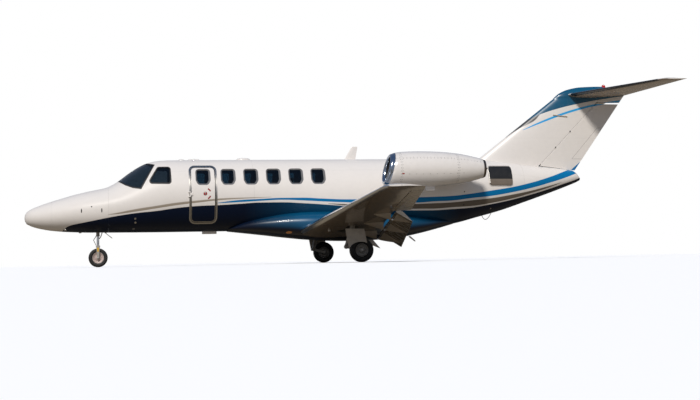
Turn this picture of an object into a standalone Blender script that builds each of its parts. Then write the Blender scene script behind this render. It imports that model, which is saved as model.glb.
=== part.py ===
"""Light business jet, about 15.6 m long and 16.3 m in span, on its gear with the flaps at landing setting.

Lengths are metres. Places are given as (station, side, waterline): station runs aft from the nose tip, side
is positive to starboard, and the waterline is measured from the cabin's axis. at() turns them into the world
frame, whose origin is on the ground under the middle of the overall length, with +X aft and +Z up.
"""

from math import atan2, cos, pi, radians, sin, sqrt

import bmesh
import bpy
from mathutils import Matrix, Vector

LENGTH = 15.59
SPAN = 16.26
AXIS_HEIGHT = 1.70
SEAT_GAP = 0.0003
RING_POINTS = 24

# The wall between the outer skin and the cabin's lining.
WALL = 0.07
LINING = 0.014
FORWARD_BULKHEAD = 1.98
AFT_BULKHEAD = 8.90
RADOME_END = 0.64
CABIN_FRONT = 2.02
CABIN_REAR = 8.55
FLOOR_TOP = -0.56
FLOOR_THICKNESS = 0.05
FLOOR_CLEARANCE = 0.007
TAIL_WALL = 0.045

# Columns: station, half width, top, bottom, widest waterline, upper power, lower power.
FUSELAGE = (
    (0.000, 0.020, -0.480, -0.520, -0.50, 2.0, 2.0),
    (0.012, 0.080, -0.415, -0.575, -0.50, 2.0, 2.0),
    (0.050, 0.150, -0.350, -0.640, -0.50, 2.0, 2.0),
    (0.150, 0.240, -0.285, -0.692, -0.49, 2.0, 2.0),
    (0.300, 0.325, -0.220, -0.742, -0.48, 2.0, 2.0),
    (0.600, 0.445, -0.115, -0.802, -0.455, 2.0, 2.0),
    (0.900, 0.535, -0.025, -0.834, -0.425, 2.0, 2.0),
    (1.200, 0.607, 0.060, -0.850, -0.39, 2.0, 2.05),
    (1.500, 0.662, 0.130, -0.862, -0.35, 2.0, 2.1),
    (1.950, 0.722, 0.225, -0.868, -0.29, 2.0, 2.15),
    (2.100, 0.738, 0.300, -0.870, -0.27, 1.92, 2.15),
    (2.250, 0.751, 0.395, -0.871, -0.24, 1.84, 2.15),
    (2.400, 0.763, 0.510, -0.872, -0.21, 1.80, 2.15),
    (2.550, 0.774, 0.615, -0.874, -0.18, 1.80, 2.15),
    (2.700, 0.784, 0.708, -0.875, -0.15, 1.84, 2.12),
    (2.850, 0.792, 0.782, -0.876, -0.12, 1.88, 2.10),
    (3.000, 0.799, 0.832, -0.877, -0.09, 1.93, 2.08),
    (3.200, 0.808, 0.865, -0.878, -0.05, 1.98, 2.05),
    (3.500, 0.815, 0.877, -0.878, -0.02, 2.0, 2.0),
    (4.000, 0.815, 0.878, -0.878, 0.0, 2.0, 2.0),
    (8.600, 0.815, 0.878, -0.878, 0.0, 2.0, 2.0),
    (9.300, 0.803, 0.878, -0.876, 0.0, 2.0, 2.0),
    (10.000, 0.768, 0.875, -0.855, 0.01, 2.0, 2.0),
    (10.600, 0.716, 0.868, -0.767, 0.04, 2.0, 2.0),
    (11.230, 0.645, 0.848, -0.612, 0.10, 2.0, 2.0),
    (11.850, 0.560, 0.800, -0.450, 0.17, 2.0, 2.0),
    (12.470, 0.465, 0.715, -0.250, 0.23, 2.0, 2.0),
    (13.100, 0.350, 0.640, -0.040, 0.30, 2.0, 2.0),
    (13.500, 0.272, 0.600, 0.100, 0.35, 2.0, 2.0),
    (13.810, 0.205, 0.560, 0.215, 0.39, 2.0, 2.0),
    (13.900, 0.165, 0.500, 0.250, 0.38, 2.0, 2.0),
    (13.990, 0.090, 0.390, 0.295, 0.34, 2.0, 2.0),
)

JOINTS = (RADOME_END, FORWARD_BULKHEAD, AFT_BULKHEAD)

# The fairing that carries the wing under the cabin. Columns as for FUSELAGE.
BELLY_FAIRING = (
    (4.850, 0.300, -0.780, -0.890, -0.83, 2.0, 2.0),
    (5.200, 0.560, -0.600, -0.930, -0.78, 2.1, 2.2),
    (5.700, 0.760, -0.480, -0.988, -0.76, 2.3, 2.4),
    (6.300, 0.900, -0.400, -1.062, -0.76, 2.5, 2.6),
    (6.900, 0.980, -0.380, -1.122, -0.77, 2.6, 2.8),
    (7.800, 1.000, -0.400, -1.165, -0.78, 2.6, 2.8),
    (8.600, 0.940, -0.440, -1.150, -0.79, 2.5, 2.6),
    (9.200, 0.830, -0.500, -1.095, -0.79, 2.3, 2.4),
    (9.700, 0.680, -0.560, -1.000, -0.78, 2.2, 2.2),
    (10.200, 0.460, -0.620, -0.880, -0.74, 2.0, 2.0),
    (10.550, 0.220, -0.680, -0.785, -0.735, 2.0, 2.0),
)

# Columns: side, leading edge station, trailing edge station, leading edge waterline, thickness share,
# nose-up degrees.
WING = (
    (0.700, 6.520, 8.998, -0.921, 0.138, 2.5),
    (1.380, 6.570, 8.894, -0.861, 0.135, 2.3),
    (4.600, 6.804, 8.401, -0.579, 0.125, 0.3),
    (7.700, 7.028, 7.927, -0.308, 0.115, 0.0),
    (8.000, 7.050, 7.880, -0.282, 0.105, 0.0),
    (8.130, 7.130, 7.790, -0.272, 0.050, 0.0),
)
WING_CAMBER = 0.018

FLAP_INBOARD = 1.17
FLAP_OUTBOARD = 4.57
FLAP_NOSE_SHARE = 0.735
FLAP_WALL_SHARE = 0.715
FLAP_LIP_SHARE = 0.80
FLAP_HINGE_SHARE = 0.755
FLAP_HINGE_DROP_SHARE = 0.085
FLAP_REST_DEG = 35.0
FLAP_FAIRING_SIDES = (1.60, 2.98, 4.36)
FLAP_CLEARANCE = 0.008
# The flap's cove and the aileron's slot meet at this side, with a little overlap.
COVE_END = 4.612

AILERON_INBOARD = 4.635
AILERON_OUTBOARD = 7.62
AILERON_HINGE_SHARE = 0.74
CONTROL_GAP = 0.009

# Columns: waterline, leading edge station, trailing edge station, thickness share.
FIN = (
    (0.40, 10.680, 13.765, 0.085),
    (0.93, 11.380, 14.150, 0.090),
    (2.56, 13.533, 15.329, 0.095),
)
RUDDER_LOW = 0.681
RUDDER_TOP = 2.290
FIN_TOP_GAP = 0.040
RUDDER_HINGE_FOOT = (12.895, 0.66)
RUDDER_HINGE_HEAD = (14.505, 2.29)

# Columns: side, leading edge station, trailing edge station, thickness share.
TAILPLANE = (
    (0.000, 13.700, 15.310, 0.090),
    (3.000, 14.930, 15.567, 0.090),
    (3.110, 14.980, 15.580, 0.080),
    (3.156, 15.060, 15.590, 0.040),
)
TAILPLANE_WATERLINE = 2.525
ELEVATOR_INBOARD = 0.170
ELEVATOR_OUTBOARD = 2.93
ELEVATOR_HINGE_SHARE = 0.66

# The fairing over the tailplane, with FUSELAGE's columns.
FIN_CAP = (
    (13.360, 0.020, 2.440, 2.400, 2.42, 2.0, 2.0),
    (13.500, 0.060, 2.560, 2.380, 2.45, 2.0, 2.0),
    (13.750, 0.088, 2.670, 2.380, 2.50, 2.0, 2.0),
    (14.100, 0.100, 2.735, 2.400, 2.52, 2.0, 2.0),
    (14.600, 0.096, 2.755, 2.420, 2.53, 2.0, 2.0),
    (15.000, 0.070, 2.690, 2.450, 2.53, 2.0, 2.0),
    (15.270, 0.020, 2.570, 2.490, 2.53, 2.0, 2.0),
)

DOOR_FRONT = 3.915
DOOR_REAR = 4.515
DOOR_FOOT = -0.670
DOOR_HEAD = 0.675
DOOR_CORNER = 0.11
DOOR_GAP = 0.012
DOOR_HINGE = (3.905, 0.835)

WINDOW_STATIONS = (4.82, 5.37, 5.92, 6.47, 7.02)
DOOR_WINDOW_STATION = 4.215
WINDOW_WATERLINE = 0.42
WINDOW_HALF_WIDTH = 0.145
WINDOW_HALF_HEIGHT = 0.168
WINDOW_POWER = 2.9
PANE_DEPTH = 0.020
PANE_THICKNESS = 0.012

# Columns: station, length, width, height over the roof.
ROOF_DOMES = ((3.545, 0.150, 0.110, 0.034), (3.875, 0.290, 0.120, 0.040), (5.255, 0.330, 0.170, 0.054))
# Opposite corners of the antenna box under the cabin.
BELLY_BOX = ((4.230, -0.070, -0.938), (4.580, 0.070, -0.850))
# The tall blade on the roof. Columns: waterline, front station, rear station, half thickness.
ANTENNA = ((0.80, 7.76, 8.09, 0.022), (1.17, 7.985, 8.150, 0.009), (1.20, 8.010, 8.150, 0.005))
# Columns as for ROOF_DOMES, with the waterline of its foot after the station.
BEACON = (14.745, 2.735, 0.110, 0.075, 0.070)

# Outlines of the cockpit glazing, as (station, waterline) seen from the side.
WINDSHIELD_OUTLINE = (
    (1.90, 0.300), (2.10, 0.245), (2.42, 0.215), (2.70, 0.150), (2.99, 0.700), (2.86, 0.900), (2.00, 0.900),
)
SIDE_WINDOW_OUTLINE = ((2.885, 0.240), (3.445, 0.250), (3.395, 0.655), (3.085, 0.655))
SIDE_WINDOW_CORNER = 0.05
CENTRE_POST_HALF = 0.028

NACELLE_SIDE = 1.40
NACELLE_WATERLINE = 0.525
# Columns: station, radius. The outer line runs aft from the lip, the duct line forward from the nozzle.
NACELLE_OUTER = (
    (8.570, 0.320), (8.585, 0.352), (8.660, 0.386), (8.880, 0.415), (9.380, 0.430), (9.900, 0.416),
    (10.400, 0.364), (10.850, 0.268), (11.030, 0.212),
)
NACELLE_DUCT = ((11.030, 0.200), (10.500, 0.230), (9.900, 0.290), (8.920, 0.286), (8.630, 0.294))
# The lip leans back at the top by this slope, which fades out at the station given.
LIP_SLOPE = 0.25
LIP_SLOPE_END = 9.05
NACELLE_SEGMENTS = 24
FAN_FRONT = 9.13
FAN_BLADES = 12
# Columns: radius, pitch in degrees, chord.
FAN_BLADE = ((0.085, 44, 0.090), (0.185, 53, 0.092), (0.278, 60, 0.085))
FAN_HUB_RADIUS = 0.095
CORE_FRONT = 9.300
# The engine as one plain block, ending in its exhaust cone.
CORE_PROFILE = ((9.300, 0.2871), (9.850, 0.2894), (9.950, 0.200), (10.900, 0.110), (11.110, 0.020))

PYLON_FRONT = 9.30
PYLON_REAR = 10.85
PYLON_WATERLINE = 0.47
PYLON_THICKNESS = 0.15

PADDLE_FRONT = 11.40
PADDLE_REAR = 12.02
PADDLE_FOOT = 0.17
PADDLE_HEAD = 0.655
PADDLE_THICKNESS = 0.030
PADDLE_CLEARANCE = 0.006

NOSE_GEAR_STATION = 1.72
NOSE_TYRE_RADIUS = 0.2285
NOSE_TYRE_WIDTH = 0.112
NOSE_RIM_RADIUS = 0.135
MAIN_GEAR_STATION = 7.68
MAIN_GEAR_SIDE = 2.637
MAIN_TYRE_RADIUS = 0.2795
MAIN_TYRE_WIDTH = 0.197
MAIN_RIM_RADIUS = 0.150
NOSE_JACK_PAD = (1.300, 0.0, -0.872)
WING_JACK_PAD = (7.050, 2.0, -0.966)
MAIN_PIVOT = (7.37, -1.335)
MAIN_LEG_TOP = (7.50, -0.850)
LEG_WELL_ROOF = -0.78
MAIN_DOOR_SIDE = 2.770
DOOR_LINK = (7.444, -1.02)


def at(station, side, waterline):
    """The world place of a point given by station, side and waterline."""
    return Vector((station - LENGTH / 2, side, waterline + AXIS_HEIGHT))


def shift_to_world():
    return Matrix.Translation(at(0, 0, 0))


# Materials

def paint(name, colour, roughness, metallic=0.0, alpha=1.0):
    """A Principled material with this colour, roughness and metallic value."""
    made = bpy.data.materials.new(name)
    made.use_nodes = True
    shader = made.node_tree.nodes["Principled BSDF"]
    shader.inputs["Base Color"].default_value = (*colour, 1.0)
    shader.inputs["Roughness"].default_value = roughness
    shader.inputs["Metallic"].default_value = metallic
    shader.inputs["Alpha"].default_value = alpha
    return made


def make_materials():
    return {
        "white_paint": paint("white_paint", (0.86, 0.84, 0.81), 0.25),
        "blue_paint": paint("blue_paint", (0.01, 0.07, 0.20), 0.25),
        "glass": paint("glass", (0.03, 0.05, 0.07), 0.05, 0.0, 0.45),
        "bare_metal": paint("bare_metal", (0.75, 0.76, 0.78), 0.2, 1.0),
        "gear_paint": paint("gear_paint", (0.62, 0.62, 0.60), 0.4, 0.2),
        "dark_metal": paint("dark_metal", (0.06, 0.06, 0.065), 0.5, 0.6),
        "rubber": paint("rubber", (0.02, 0.02, 0.02), 0.8),
        "trim": paint("trim", (0.55, 0.50, 0.43), 0.8),
        "leather": paint("leather", (0.62, 0.54, 0.43), 0.55),
        "panel_black": paint("panel_black", (0.03, 0.03, 0.03), 0.7),
    }


# Meshes and Booleans

def new_object(name, shape, material, smooth_deg=35.0):
    """Links a bmesh as an object, shades it smooth up to the given angle and frees the bmesh."""
    mesh = bpy.data.meshes.new(name)
    shape.to_mesh(mesh)
    shape.free()
    mesh.shade_smooth()
    mesh.set_sharp_from_angle(angle=radians(smooth_deg))
    made = bpy.data.objects.new(name, mesh)
    bpy.context.scene.collection.objects.link(made)
    if material is not None:
        mesh.materials.append(material)
    return made


def loft(rings, cap_ends=True):
    """A closed skin of triangles through rings of equal length, whose diagonals mirror from side to side."""
    shape = bmesh.new()
    rows = [[shape.verts.new(point) for point in ring] for ring in rings]
    count = len(rows[0])
    for front, back in zip(rows, rows[1:]):
        for k in range(count):
            after = (k + 1) % count
            if count // 4 <= k < 3 * count // 4:
                shape.faces.new((front[k], front[after], back[k]))
                shape.faces.new((front[after], back[after], back[k]))
            else:
                shape.faces.new((front[k], front[after], back[after]))
                shape.faces.new((front[k], back[after], back[k]))
    if cap_ends:
        shape.faces.new(rows[0][::-1])
        shape.faces.new(rows[-1])
    bmesh.ops.recalc_face_normals(shape, faces=shape.faces)
    return shape


def prism(outline, start, end):
    """A prism across the aircraft: outline holds (station, waterline) points, start and end are sides."""
    return loft([[at(s, side, w) for s, w in outline] for side in (start, end)])


def block(low, high):
    """A box between two (station, side, waterline) corners."""
    outline = ((low[0], low[2]), (high[0], low[2]), (high[0], high[2]), (low[0], high[2]))
    return prism(outline, low[1], high[1])


def revolve(profile, centre, axis, segments):
    """A closed solid of revolution. Its profile of (distance, radius) points closes on itself or the axis."""
    turn = Vector((0, 0, 1)).rotation_difference(Vector(axis).normalized()).to_matrix().to_4x4()
    place = Matrix.Translation(centre) @ turn
    shape = bmesh.new()
    rows = []
    for along, radius in profile:
        if radius < 1e-6:
            rows.append([shape.verts.new(place @ Vector((0, 0, along)))])
            continue
        angles = [2 * pi * k / segments for k in range(segments)]
        rows.append([shape.verts.new(place @ Vector((radius * cos(a), radius * sin(a), along)))
                     for a in angles])
    closes = len(rows[0]) > 1 and len(rows[-1]) > 1
    pairs = list(zip(rows, rows[1:])) + ([(rows[-1], rows[0])] if closes else [])
    for first, second in pairs:
        for k in range(segments):
            after = (k + 1) % segments
            corners = [first[k % len(first)], first[after % len(first)], second[after % len(second)],
                       second[k % len(second)]]
            shape.faces.new(list(dict.fromkeys(corners)))
    bmesh.ops.recalc_face_normals(shape, faces=shape.faces)
    return shape


def rod(start, end, radius, segments=12, end_radius=None):
    """A capped round bar between two world points."""
    run = end - start
    profile = ((0, 0), (0, radius), (run.length, radius if end_radius is None else end_radius),
               (run.length, 0))
    return revolve(profile, start, run, segments)


def combined(name, body, operation, tool, material=None):
    """Applies one EXACT Boolean and removes the tool. Both may be a bmesh or an object."""
    body = body if isinstance(body, bpy.types.Object) else new_object(name, body, material)
    tool = tool if isinstance(tool, bpy.types.Object) else new_object(name + "_tool", tool, None)
    step = body.modifiers.new("shape", "BOOLEAN")
    step.operation = operation
    step.object = tool
    step.solver = "EXACT"
    bpy.context.view_layer.update()
    graph = bpy.context.evaluated_depsgraph_get()
    made = bpy.data.meshes.new_from_object(body.evaluated_get(graph))
    body.modifiers.clear()
    body.data = made
    bpy.data.objects.remove(tool)
    body.name = name
    return body


def cut(name, body, *tools, material=None):
    for tool in tools:
        body = combined(name, body, "DIFFERENCE", tool, material)
    return body


def join(name, body, *tools, material=None):
    for tool in tools:
        body = combined(name, body, "UNION", tool, material)
    return body


def common(name, body, tool, material=None):
    return combined(name, body, "INTERSECT", tool, material)


def finish(made, material, smooth_deg=35.0):
    """Gives a Boolean's result one material and smooth shading."""
    made.data.materials.clear()
    made.data.materials.append(material)
    made.data.shade_smooth()
    made.data.set_sharp_from_angle(angle=radians(smooth_deg))
    return made


def mirror_to_port(names):
    """Makes the port twin of each starboard piece, whose name ends in _right."""
    for name in names:
        source = bpy.data.objects[name]
        twin = source.data.copy()
        twin.transform(Matrix.Scale(-1, 4, (0, 1, 0)))
        twin.flip_normals()
        made = bpy.data.objects.new(name.replace("_right", "_left"), twin)
        bpy.context.scene.collection.objects.link(made)


# Curves through tables

def section(row, grow, count):
    """The cross-section given by one row of a body's table, grown outwards by a distance."""
    station, half, top, bottom, middle, upper, lower = row
    ring = []
    for k in range(count):
        angle = 2 * pi * k / count
        c, s = cos(angle), sin(angle)
        power = 2 / (upper if s >= 0 else lower)
        reach = (top - middle if s >= 0 else middle - bottom) + grow
        side = (half + grow) * abs(c) ** power * (1 if c >= 0 else -1)
        rise = reach * abs(s) ** power * (1 if s >= 0 else -1)
        ring.append(at(station, side, middle + rise))
    return ring


def body_ring(table, station, grow=0.0, count=RING_POINTS):
    """The section at a station, on the straight skin lines between the table's neighbouring rows."""
    k = max(i for i in range(len(table) - 1) if table[i][0] <= station or i == 0)
    share = (station - table[k][0]) / (table[k + 1][0] - table[k][0])
    front, back = section(table[k], grow, count), section(table[k + 1], grow, count)
    return [a.lerp(b, share) for a, b in zip(front, back)]


def body_loft(table, start, end, grow=0.0, count=RING_POINTS):
    """A lofted body between two stations. A grown one, used to cut, runs on to the table's next stations."""
    rows = sorted({row[0] for row in table} | (set(JOINTS) if table is FUSELAGE else set()))
    if grow > 0:
        start = max([r for r in rows if r <= start], default=rows[0])
        end = min([r for r in rows if r >= end], default=rows[-1])
    stations = [start, *[r for r in rows if start + 1e-6 < r < end - 1e-6], end]
    return loft([body_ring(table, s, grow, count) for s in stations])


def superellipse(station, waterline, half_width, half_height, power, count=14):
    outline = []
    for k in range(count):
        angle = 2 * pi * k / count
        c, s = cos(angle), sin(angle)
        outline.append((
            station + half_width * abs(c) ** (2 / power) * (1 if c >= 0 else -1),
            waterline + half_height * abs(s) ** (2 / power) * (1 if s >= 0 else -1),
        ))
    return outline


def rounded(corners, radius, steps=4):
    """A closed outline whose corners are replaced by arcs of this radius."""
    outline = []
    for k, corner in enumerate(corners):
        here = Vector(corner)
        back = (Vector(corners[k - 1]) - here).normalized()
        forth = (Vector(corners[(k + 1) % len(corners)]) - here).normalized()
        half_angle = back.angle(forth) / 2
        reach = radius / max(0.2, sin(half_angle) / cos(half_angle))
        centre = here + (back + forth).normalized() * (radius / sin(half_angle))
        first, last = here + back * reach - centre, here + forth * reach - centre
        begin = atan2(first.y, first.x)
        turn = (atan2(last.y, last.x) - begin + pi) % (2 * pi) - pi
        for i in range(steps + 1):
            angle = begin + turn * i / steps
            outline.append((centre.x + radius * cos(angle), centre.y + radius * sin(angle)))
    return outline


def shrunk(outline, gap):
    """The same outline drawn in by a gap along its corners' bisectors."""
    points = [Vector(p) for p in outline]
    area = sum(a.x * b.y - b.x * a.y for a, b in zip(points, points[1:] + points[:1]))
    sense = 1 if area > 0 else -1
    made = []
    for k, here in enumerate(points):
        into = (here - points[k - 1]).normalized()
        out = (points[(k + 1) % len(points)] - here).normalized()
        normal_in = Vector((-into.y, into.x)) * sense
        normal_out = Vector((-out.y, out.x)) * sense
        bisector = (normal_in + normal_out).normalized()
        made.append(here + bisector * gap / max(0.3, bisector.dot(normal_in)))
    return [(p.x, p.y) for p in made]


# Lifting surfaces

def half_thickness(share, thickness):
    """The half thickness of a symmetric aerofoil at a share of its chord, for a chord of 1."""
    s = min(max(share, 0.0), 1.0)
    shape = 0.2969 * sqrt(s) - 0.1260 * s - 0.3516 * s**2 + 0.2843 * s**3 - 0.1036 * s**4
    return 5 * thickness * shape + 0.0012 * s


def aerofoil(thickness, camber, points=8):
    """(share of chord, height) round the aerofoil from the trailing edge over the top to the nose and back."""
    shares = [0.5 + 0.5 * cos(pi * k / points) for k in range(points + 1)]
    upper = [(s, 4 * camber * s * (1 - s) + half_thickness(s, thickness)) for s in shares]
    lower = [(s, 4 * camber * s * (1 - s) - half_thickness(s, thickness)) for s in reversed(shares[:-1])]
    return upper + lower


def wing_frame(side):
    """(leading edge station, waterline, chord, nose-up angle, thickness) of the wing at a side."""
    _, lead, trail, waterline, thickness, degrees = row_linear(WING, side)
    return lead, waterline, trail - lead, radians(degrees), thickness


def row_linear(table, value):
    keys = [row[0] for row in table]
    k = max(i for i in range(len(keys) - 1) if keys[i] <= value or i == 0)
    t = (value - keys[k]) / (keys[k + 1] - keys[k])
    return [a + (b - a) * t for a, b in zip(table[k], table[k + 1])]


def wing_point(side, share, height, sign):
    """A wing point by its share of the chord and its height over the chord line. sign is -1 for port."""
    lead, waterline, chord, angle, _ = wing_frame(side)
    along, up = share * chord, height * chord
    station = lead + along * cos(angle) + up * sin(angle)
    return at(station, sign * side, waterline - along * sin(angle) + up * cos(angle))


def wing_surface(side, share, upper):
    """Height of the wing's surface over the chord line, in chords."""
    thickness = wing_frame(side)[4]
    camber = 4 * WING_CAMBER * share * (1 - share)
    return camber + half_thickness(share, thickness) * (1 if upper else -1)


def mean_line(side, share):
    return (wing_surface(side, share, True) + wing_surface(side, share, False)) / 2


def aileron_hinge(side, sign):
    return wing_point(side, AILERON_HINGE_SHARE, mean_line(side, AILERON_HINGE_SHARE), sign)


def wing_ring(side, sign):
    thickness = wing_frame(side)[4]
    return [wing_point(side, s, h, sign) for s, h in aerofoil(thickness, WING_CAMBER)]


def flap_hinge(side, sign):
    """A point on the flap's straight hinge line, which runs below the wing."""
    ends = []
    for end in (FLAP_INBOARD, FLAP_OUTBOARD):
        height = wing_surface(end, FLAP_HINGE_SHARE, False) - FLAP_HINGE_DROP_SHARE
        ends.append(wing_point(end, FLAP_HINGE_SHARE, height, sign))
    return ends[0].lerp(ends[1], (side - FLAP_INBOARD) / (FLAP_OUTBOARD - FLAP_INBOARD))


def flap_arc(side, radius_less, steps=5):
    """(share, height) points on the arc about the flap's hinge, from the cove's wall back to the lip."""
    centre = Vector((FLAP_HINGE_SHARE, wing_surface(side, FLAP_HINGE_SHARE, False) - FLAP_HINGE_DROP_SHARE))
    lip = Vector((FLAP_LIP_SHARE, wing_surface(side, FLAP_LIP_SHARE, True) - 0.0035))
    radius = (lip - centre).length - radius_less
    last = atan2(lip.y - centre.y, lip.x - centre.x)
    first = atan2(sqrt(radius**2 - (FLAP_WALL_SHARE - centre.x) ** 2), FLAP_WALL_SHARE - centre.x)
    angles = [first + (last - first) * k / steps for k in range(steps + 1)]
    return [(centre.x + radius * cos(a), centre.y + radius * sin(a)) for a in angles]


def flap_cove_ring(side, sign):
    """Section of what is cut from the wing for the flap."""
    arc = flap_arc(side, 0.0)
    outline = [(FLAP_WALL_SHARE, -0.3), *arc, (FLAP_LIP_SHARE, 0.3), (1.2, 0.3), (1.2, -0.3)]
    return [wing_point(side, s, h, sign) for s, h in outline]


def flap_ring(side, sign):
    """Section of the flap itself, in its retracted place."""
    chord = wing_frame(side)[2]
    clear = FLAP_CLEARANCE / chord
    arc = flap_arc(side, clear)
    nose_low = wing_surface(side, FLAP_NOSE_SHARE + 0.02, False)
    nose_mid = wing_surface(side, FLAP_NOSE_SHARE, False) + 0.018
    tops = [p for p in arc if p[0] > FLAP_NOSE_SHARE + 0.012]
    lip_share = FLAP_LIP_SHARE + clear
    aft_shares = (lip_share, 0.87, 0.94, 1.0)
    upper = [(s, wing_surface(side, s, True)) for s in aft_shares]
    lower = [(s, wing_surface(side, s, False)) for s in (1.0, 0.92, 0.83)]
    outline = [*tops, *upper, *lower, (FLAP_NOSE_SHARE + 0.02, nose_low), (FLAP_NOSE_SHARE + 0.002,
                                                                           nose_mid - 0.008),
               (FLAP_NOSE_SHARE, nose_mid)]
    return [wing_point(side, s, h, sign) for s, h in outline]


def hinge_kite(side, sign, moving):
    """Half of a flap hinge's kite-shaped fairing: the fixed fore half under the wing or the moving aft half."""
    chord = wing_frame(side)[2]
    near = FLAP_HINGE_SHARE + (0.026 if moving else -0.034) / chord
    far = 0.985 if moving else 0.50
    under = min(near, FLAP_WALL_SHARE) if not moving else near
    deep = wing_surface(side, FLAP_HINGE_SHARE, False) - FLAP_HINGE_DROP_SHARE - 0.012 / chord
    rings = []
    near_roof = wing_surface(side, under, False) + (0.010 if moving else 0.001)
    far_skin = wing_surface(side, far, False)
    for share, keel, roof, half in ((near, deep, near_roof, 0.055), (far, far_skin + 0.002,
                                                                     far_skin + 0.014, 0.014)):
        section = [(-1.0, roof), (1.0, roof), (0.70, roof + (keel - roof) * 0.55), (0.14, keel), (-0.14,
                                                                                                  keel),
                   (-0.70, roof + (keel - roof) * 0.55)]
        rings.append([wing_point(side + half * across, share, height, sign) for across, height in section])
    return loft(rings)


def hinge_lug(side, sign, moving):
    """One of the two lugs that meet face to face on the flap's hinge line, with its neck into the fairing."""
    here = flap_hinge(side, sign)
    chord = wing_frame(side)[2]
    along = (flap_hinge(side + 0.1, sign) - here).normalized()
    start, end = (SEAT_GAP / 2, 0.026) if moving else (-0.026, -SEAT_GAP)
    boss = rod(here + along * start, here + along * end, 0.020, 12)
    root_share = FLAP_HINGE_SHARE + (0.085 if moving else -0.085) / chord
    height = wing_surface(side, FLAP_HINGE_SHARE, False) - FLAP_HINGE_DROP_SHARE * 0.62
    root = wing_point(side, root_share, height, sign)
    middle = along * (start + end) / 2
    return join("lug", boss, rod(here + middle, root + middle, 0.009, 9))


def span_prism(points, up, half_height):
    """A slab through a lifting surface: its planform corners pushed both ways along up."""
    rise = Vector(up) * half_height
    return loft([[p - rise for p in points], [p + rise for p in points]])


def hinge_cone(hinge, radii, before, after, grow, segments=16):
    """The cone along a hinge line, carried on past its ends by before and after, and grown."""
    first, last = hinge
    run = last - first
    along, taper = run.normalized(), (radii[1] - radii[0]) / run.length
    return rod(first - along * before, last + along * after, radii[0] - taper * before + grow, segments,
               radii[1] + taper * after + grow)


def control_surface(name, whole, hinge, half_thick, corners, up, material, pin_ends=(True, True)):
    """The moving part aft of a hinge line: what lies between the corners, with a round nose and end pins."""
    first, last = hinge
    along = (last - first).normalized()
    nudge = Vector((0.003, 0, 0))
    body = common(name, whole, span_prism([corners[0] + nudge, corners[1] + nudge, *corners[2:]], up, 0.4),
                  material)
    nose = hinge_cone(hinge, half_thick, 0, 0, -0.003, 14)
    body = join(name, body, nose, material=material)
    for wanted, start, end in ((pin_ends[0], first + along * 0.01,
                                first - along * (CONTROL_GAP - SEAT_GAP)),
                               (pin_ends[1], last - along * 0.01, last + along * (CONTROL_GAP - SEAT_GAP))):
        if wanted:
            body = join(name, body, rod(start, end, 0.012, 9), material=material)
    return finish(body, material)


def control_cut(hinge, half_thick, corners, up):
    """What the fixed surface loses for a moving one, as two cutters."""
    cone = hinge_cone(hinge, half_thick, CONTROL_GAP, CONTROL_GAP, CONTROL_GAP, 20)
    nudge = Vector((0.004, 0, 0))
    return cone, span_prism([corners[0] + nudge, corners[1] + nudge, *corners[2:]], up, 0.4)


# Fuselage

def jack_pad(face):
    """A round pad whose flat lower face is centred here."""
    return rod(face, face + Vector((0, 0, 0.05)), 0.032, 16)


def make_nose(mats):
    """Radome and nose, solid, with an open bay for the nose leg."""
    new_object("radome", body_loft(FUSELAGE, 0.0, RADOME_END - SEAT_GAP), mats["white_paint"])
    nose = body_loft(FUSELAGE, RADOME_END, FORWARD_BULKHEAD - SEAT_GAP)
    bay = block((NOSE_GEAR_STATION - 0.12, -0.085, -1.0), (NOSE_GEAR_STATION + 0.22, 0.085, -0.62))
    nose = cut("nose_section", nose, bay, material=mats["white_paint"])
    finish(join("nose_section", nose, jack_pad(at(*NOSE_JACK_PAD))), mats["white_paint"])


def window_prisms(stations, sign, gap=0.0, depth=(0.3, 1.2)):
    outlines = [
        superellipse(s, WINDOW_WATERLINE, WINDOW_HALF_WIDTH - gap, WINDOW_HALF_HEIGHT - gap, WINDOW_POWER)
        for s in stations
    ]
    return [prism(outline, sign * depth[0], sign * depth[1]) for outline in outlines]


def door_outline(gap=0.0):
    corners = ((DOOR_FRONT, DOOR_FOOT), (DOOR_REAR, DOOR_FOOT), (DOOR_REAR, DOOR_HEAD), (DOOR_FRONT,
                                                                                         DOOR_HEAD))
    outline = rounded(corners, DOOR_CORNER)
    return shrunk(outline, gap) if gap else outline


def dome(station, waterline, length, width, height):
    """A low oval dome, half sunk in the skin that carries it."""
    shape = bmesh.new()
    place = Matrix.Translation(at(station, 0, waterline)) @ Matrix.Diagonal((length / 2, width / 2, height,
                                                                             1))
    bmesh.ops.create_uvsphere(shape, u_segments=13, v_segments=6, radius=1, matrix=place)
    return shape


def make_cabin(mats):
    """The hollow pressure shell with every window and the doorway cut through its wall."""
    outer = body_loft(FUSELAGE, FORWARD_BULKHEAD, AFT_BULKHEAD)
    inner = body_loft(FUSELAGE, FORWARD_BULKHEAD + WALL, AFT_BULKHEAD - WALL * 2, -WALL)
    shell = cut("cabin_shell", outer, inner, material=mats["white_paint"])
    shell = cut("cabin_shell", shell, prism(door_outline(), -1.2, -0.2))
    for sign in (-1, 1):
        stations = WINDOW_STATIONS if sign < 0 else (DOOR_WINDOW_STATION, *WINDOW_STATIONS)
        shell = cut("cabin_shell", shell, *window_prisms(stations, sign))
        shell = cut("cabin_shell", shell, prism(WINDSHIELD_OUTLINE, sign * CENTRE_POST_HALF, sign * 1.2))
        shell = cut("cabin_shell", shell, prism(rounded(SIDE_WINDOW_OUTLINE, SIDE_WINDOW_CORNER),
                                                sign * 0.3, sign * 1.2))
    for station, length, width, height in ROOF_DOMES:
        shell = join("cabin_shell", shell, dome(station, FUSELAGE[19][2] - 0.006, length, width, height))
    shell = join("cabin_shell", shell, block(*BELLY_BOX))
    finish(shell, mats["white_paint"])


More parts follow.
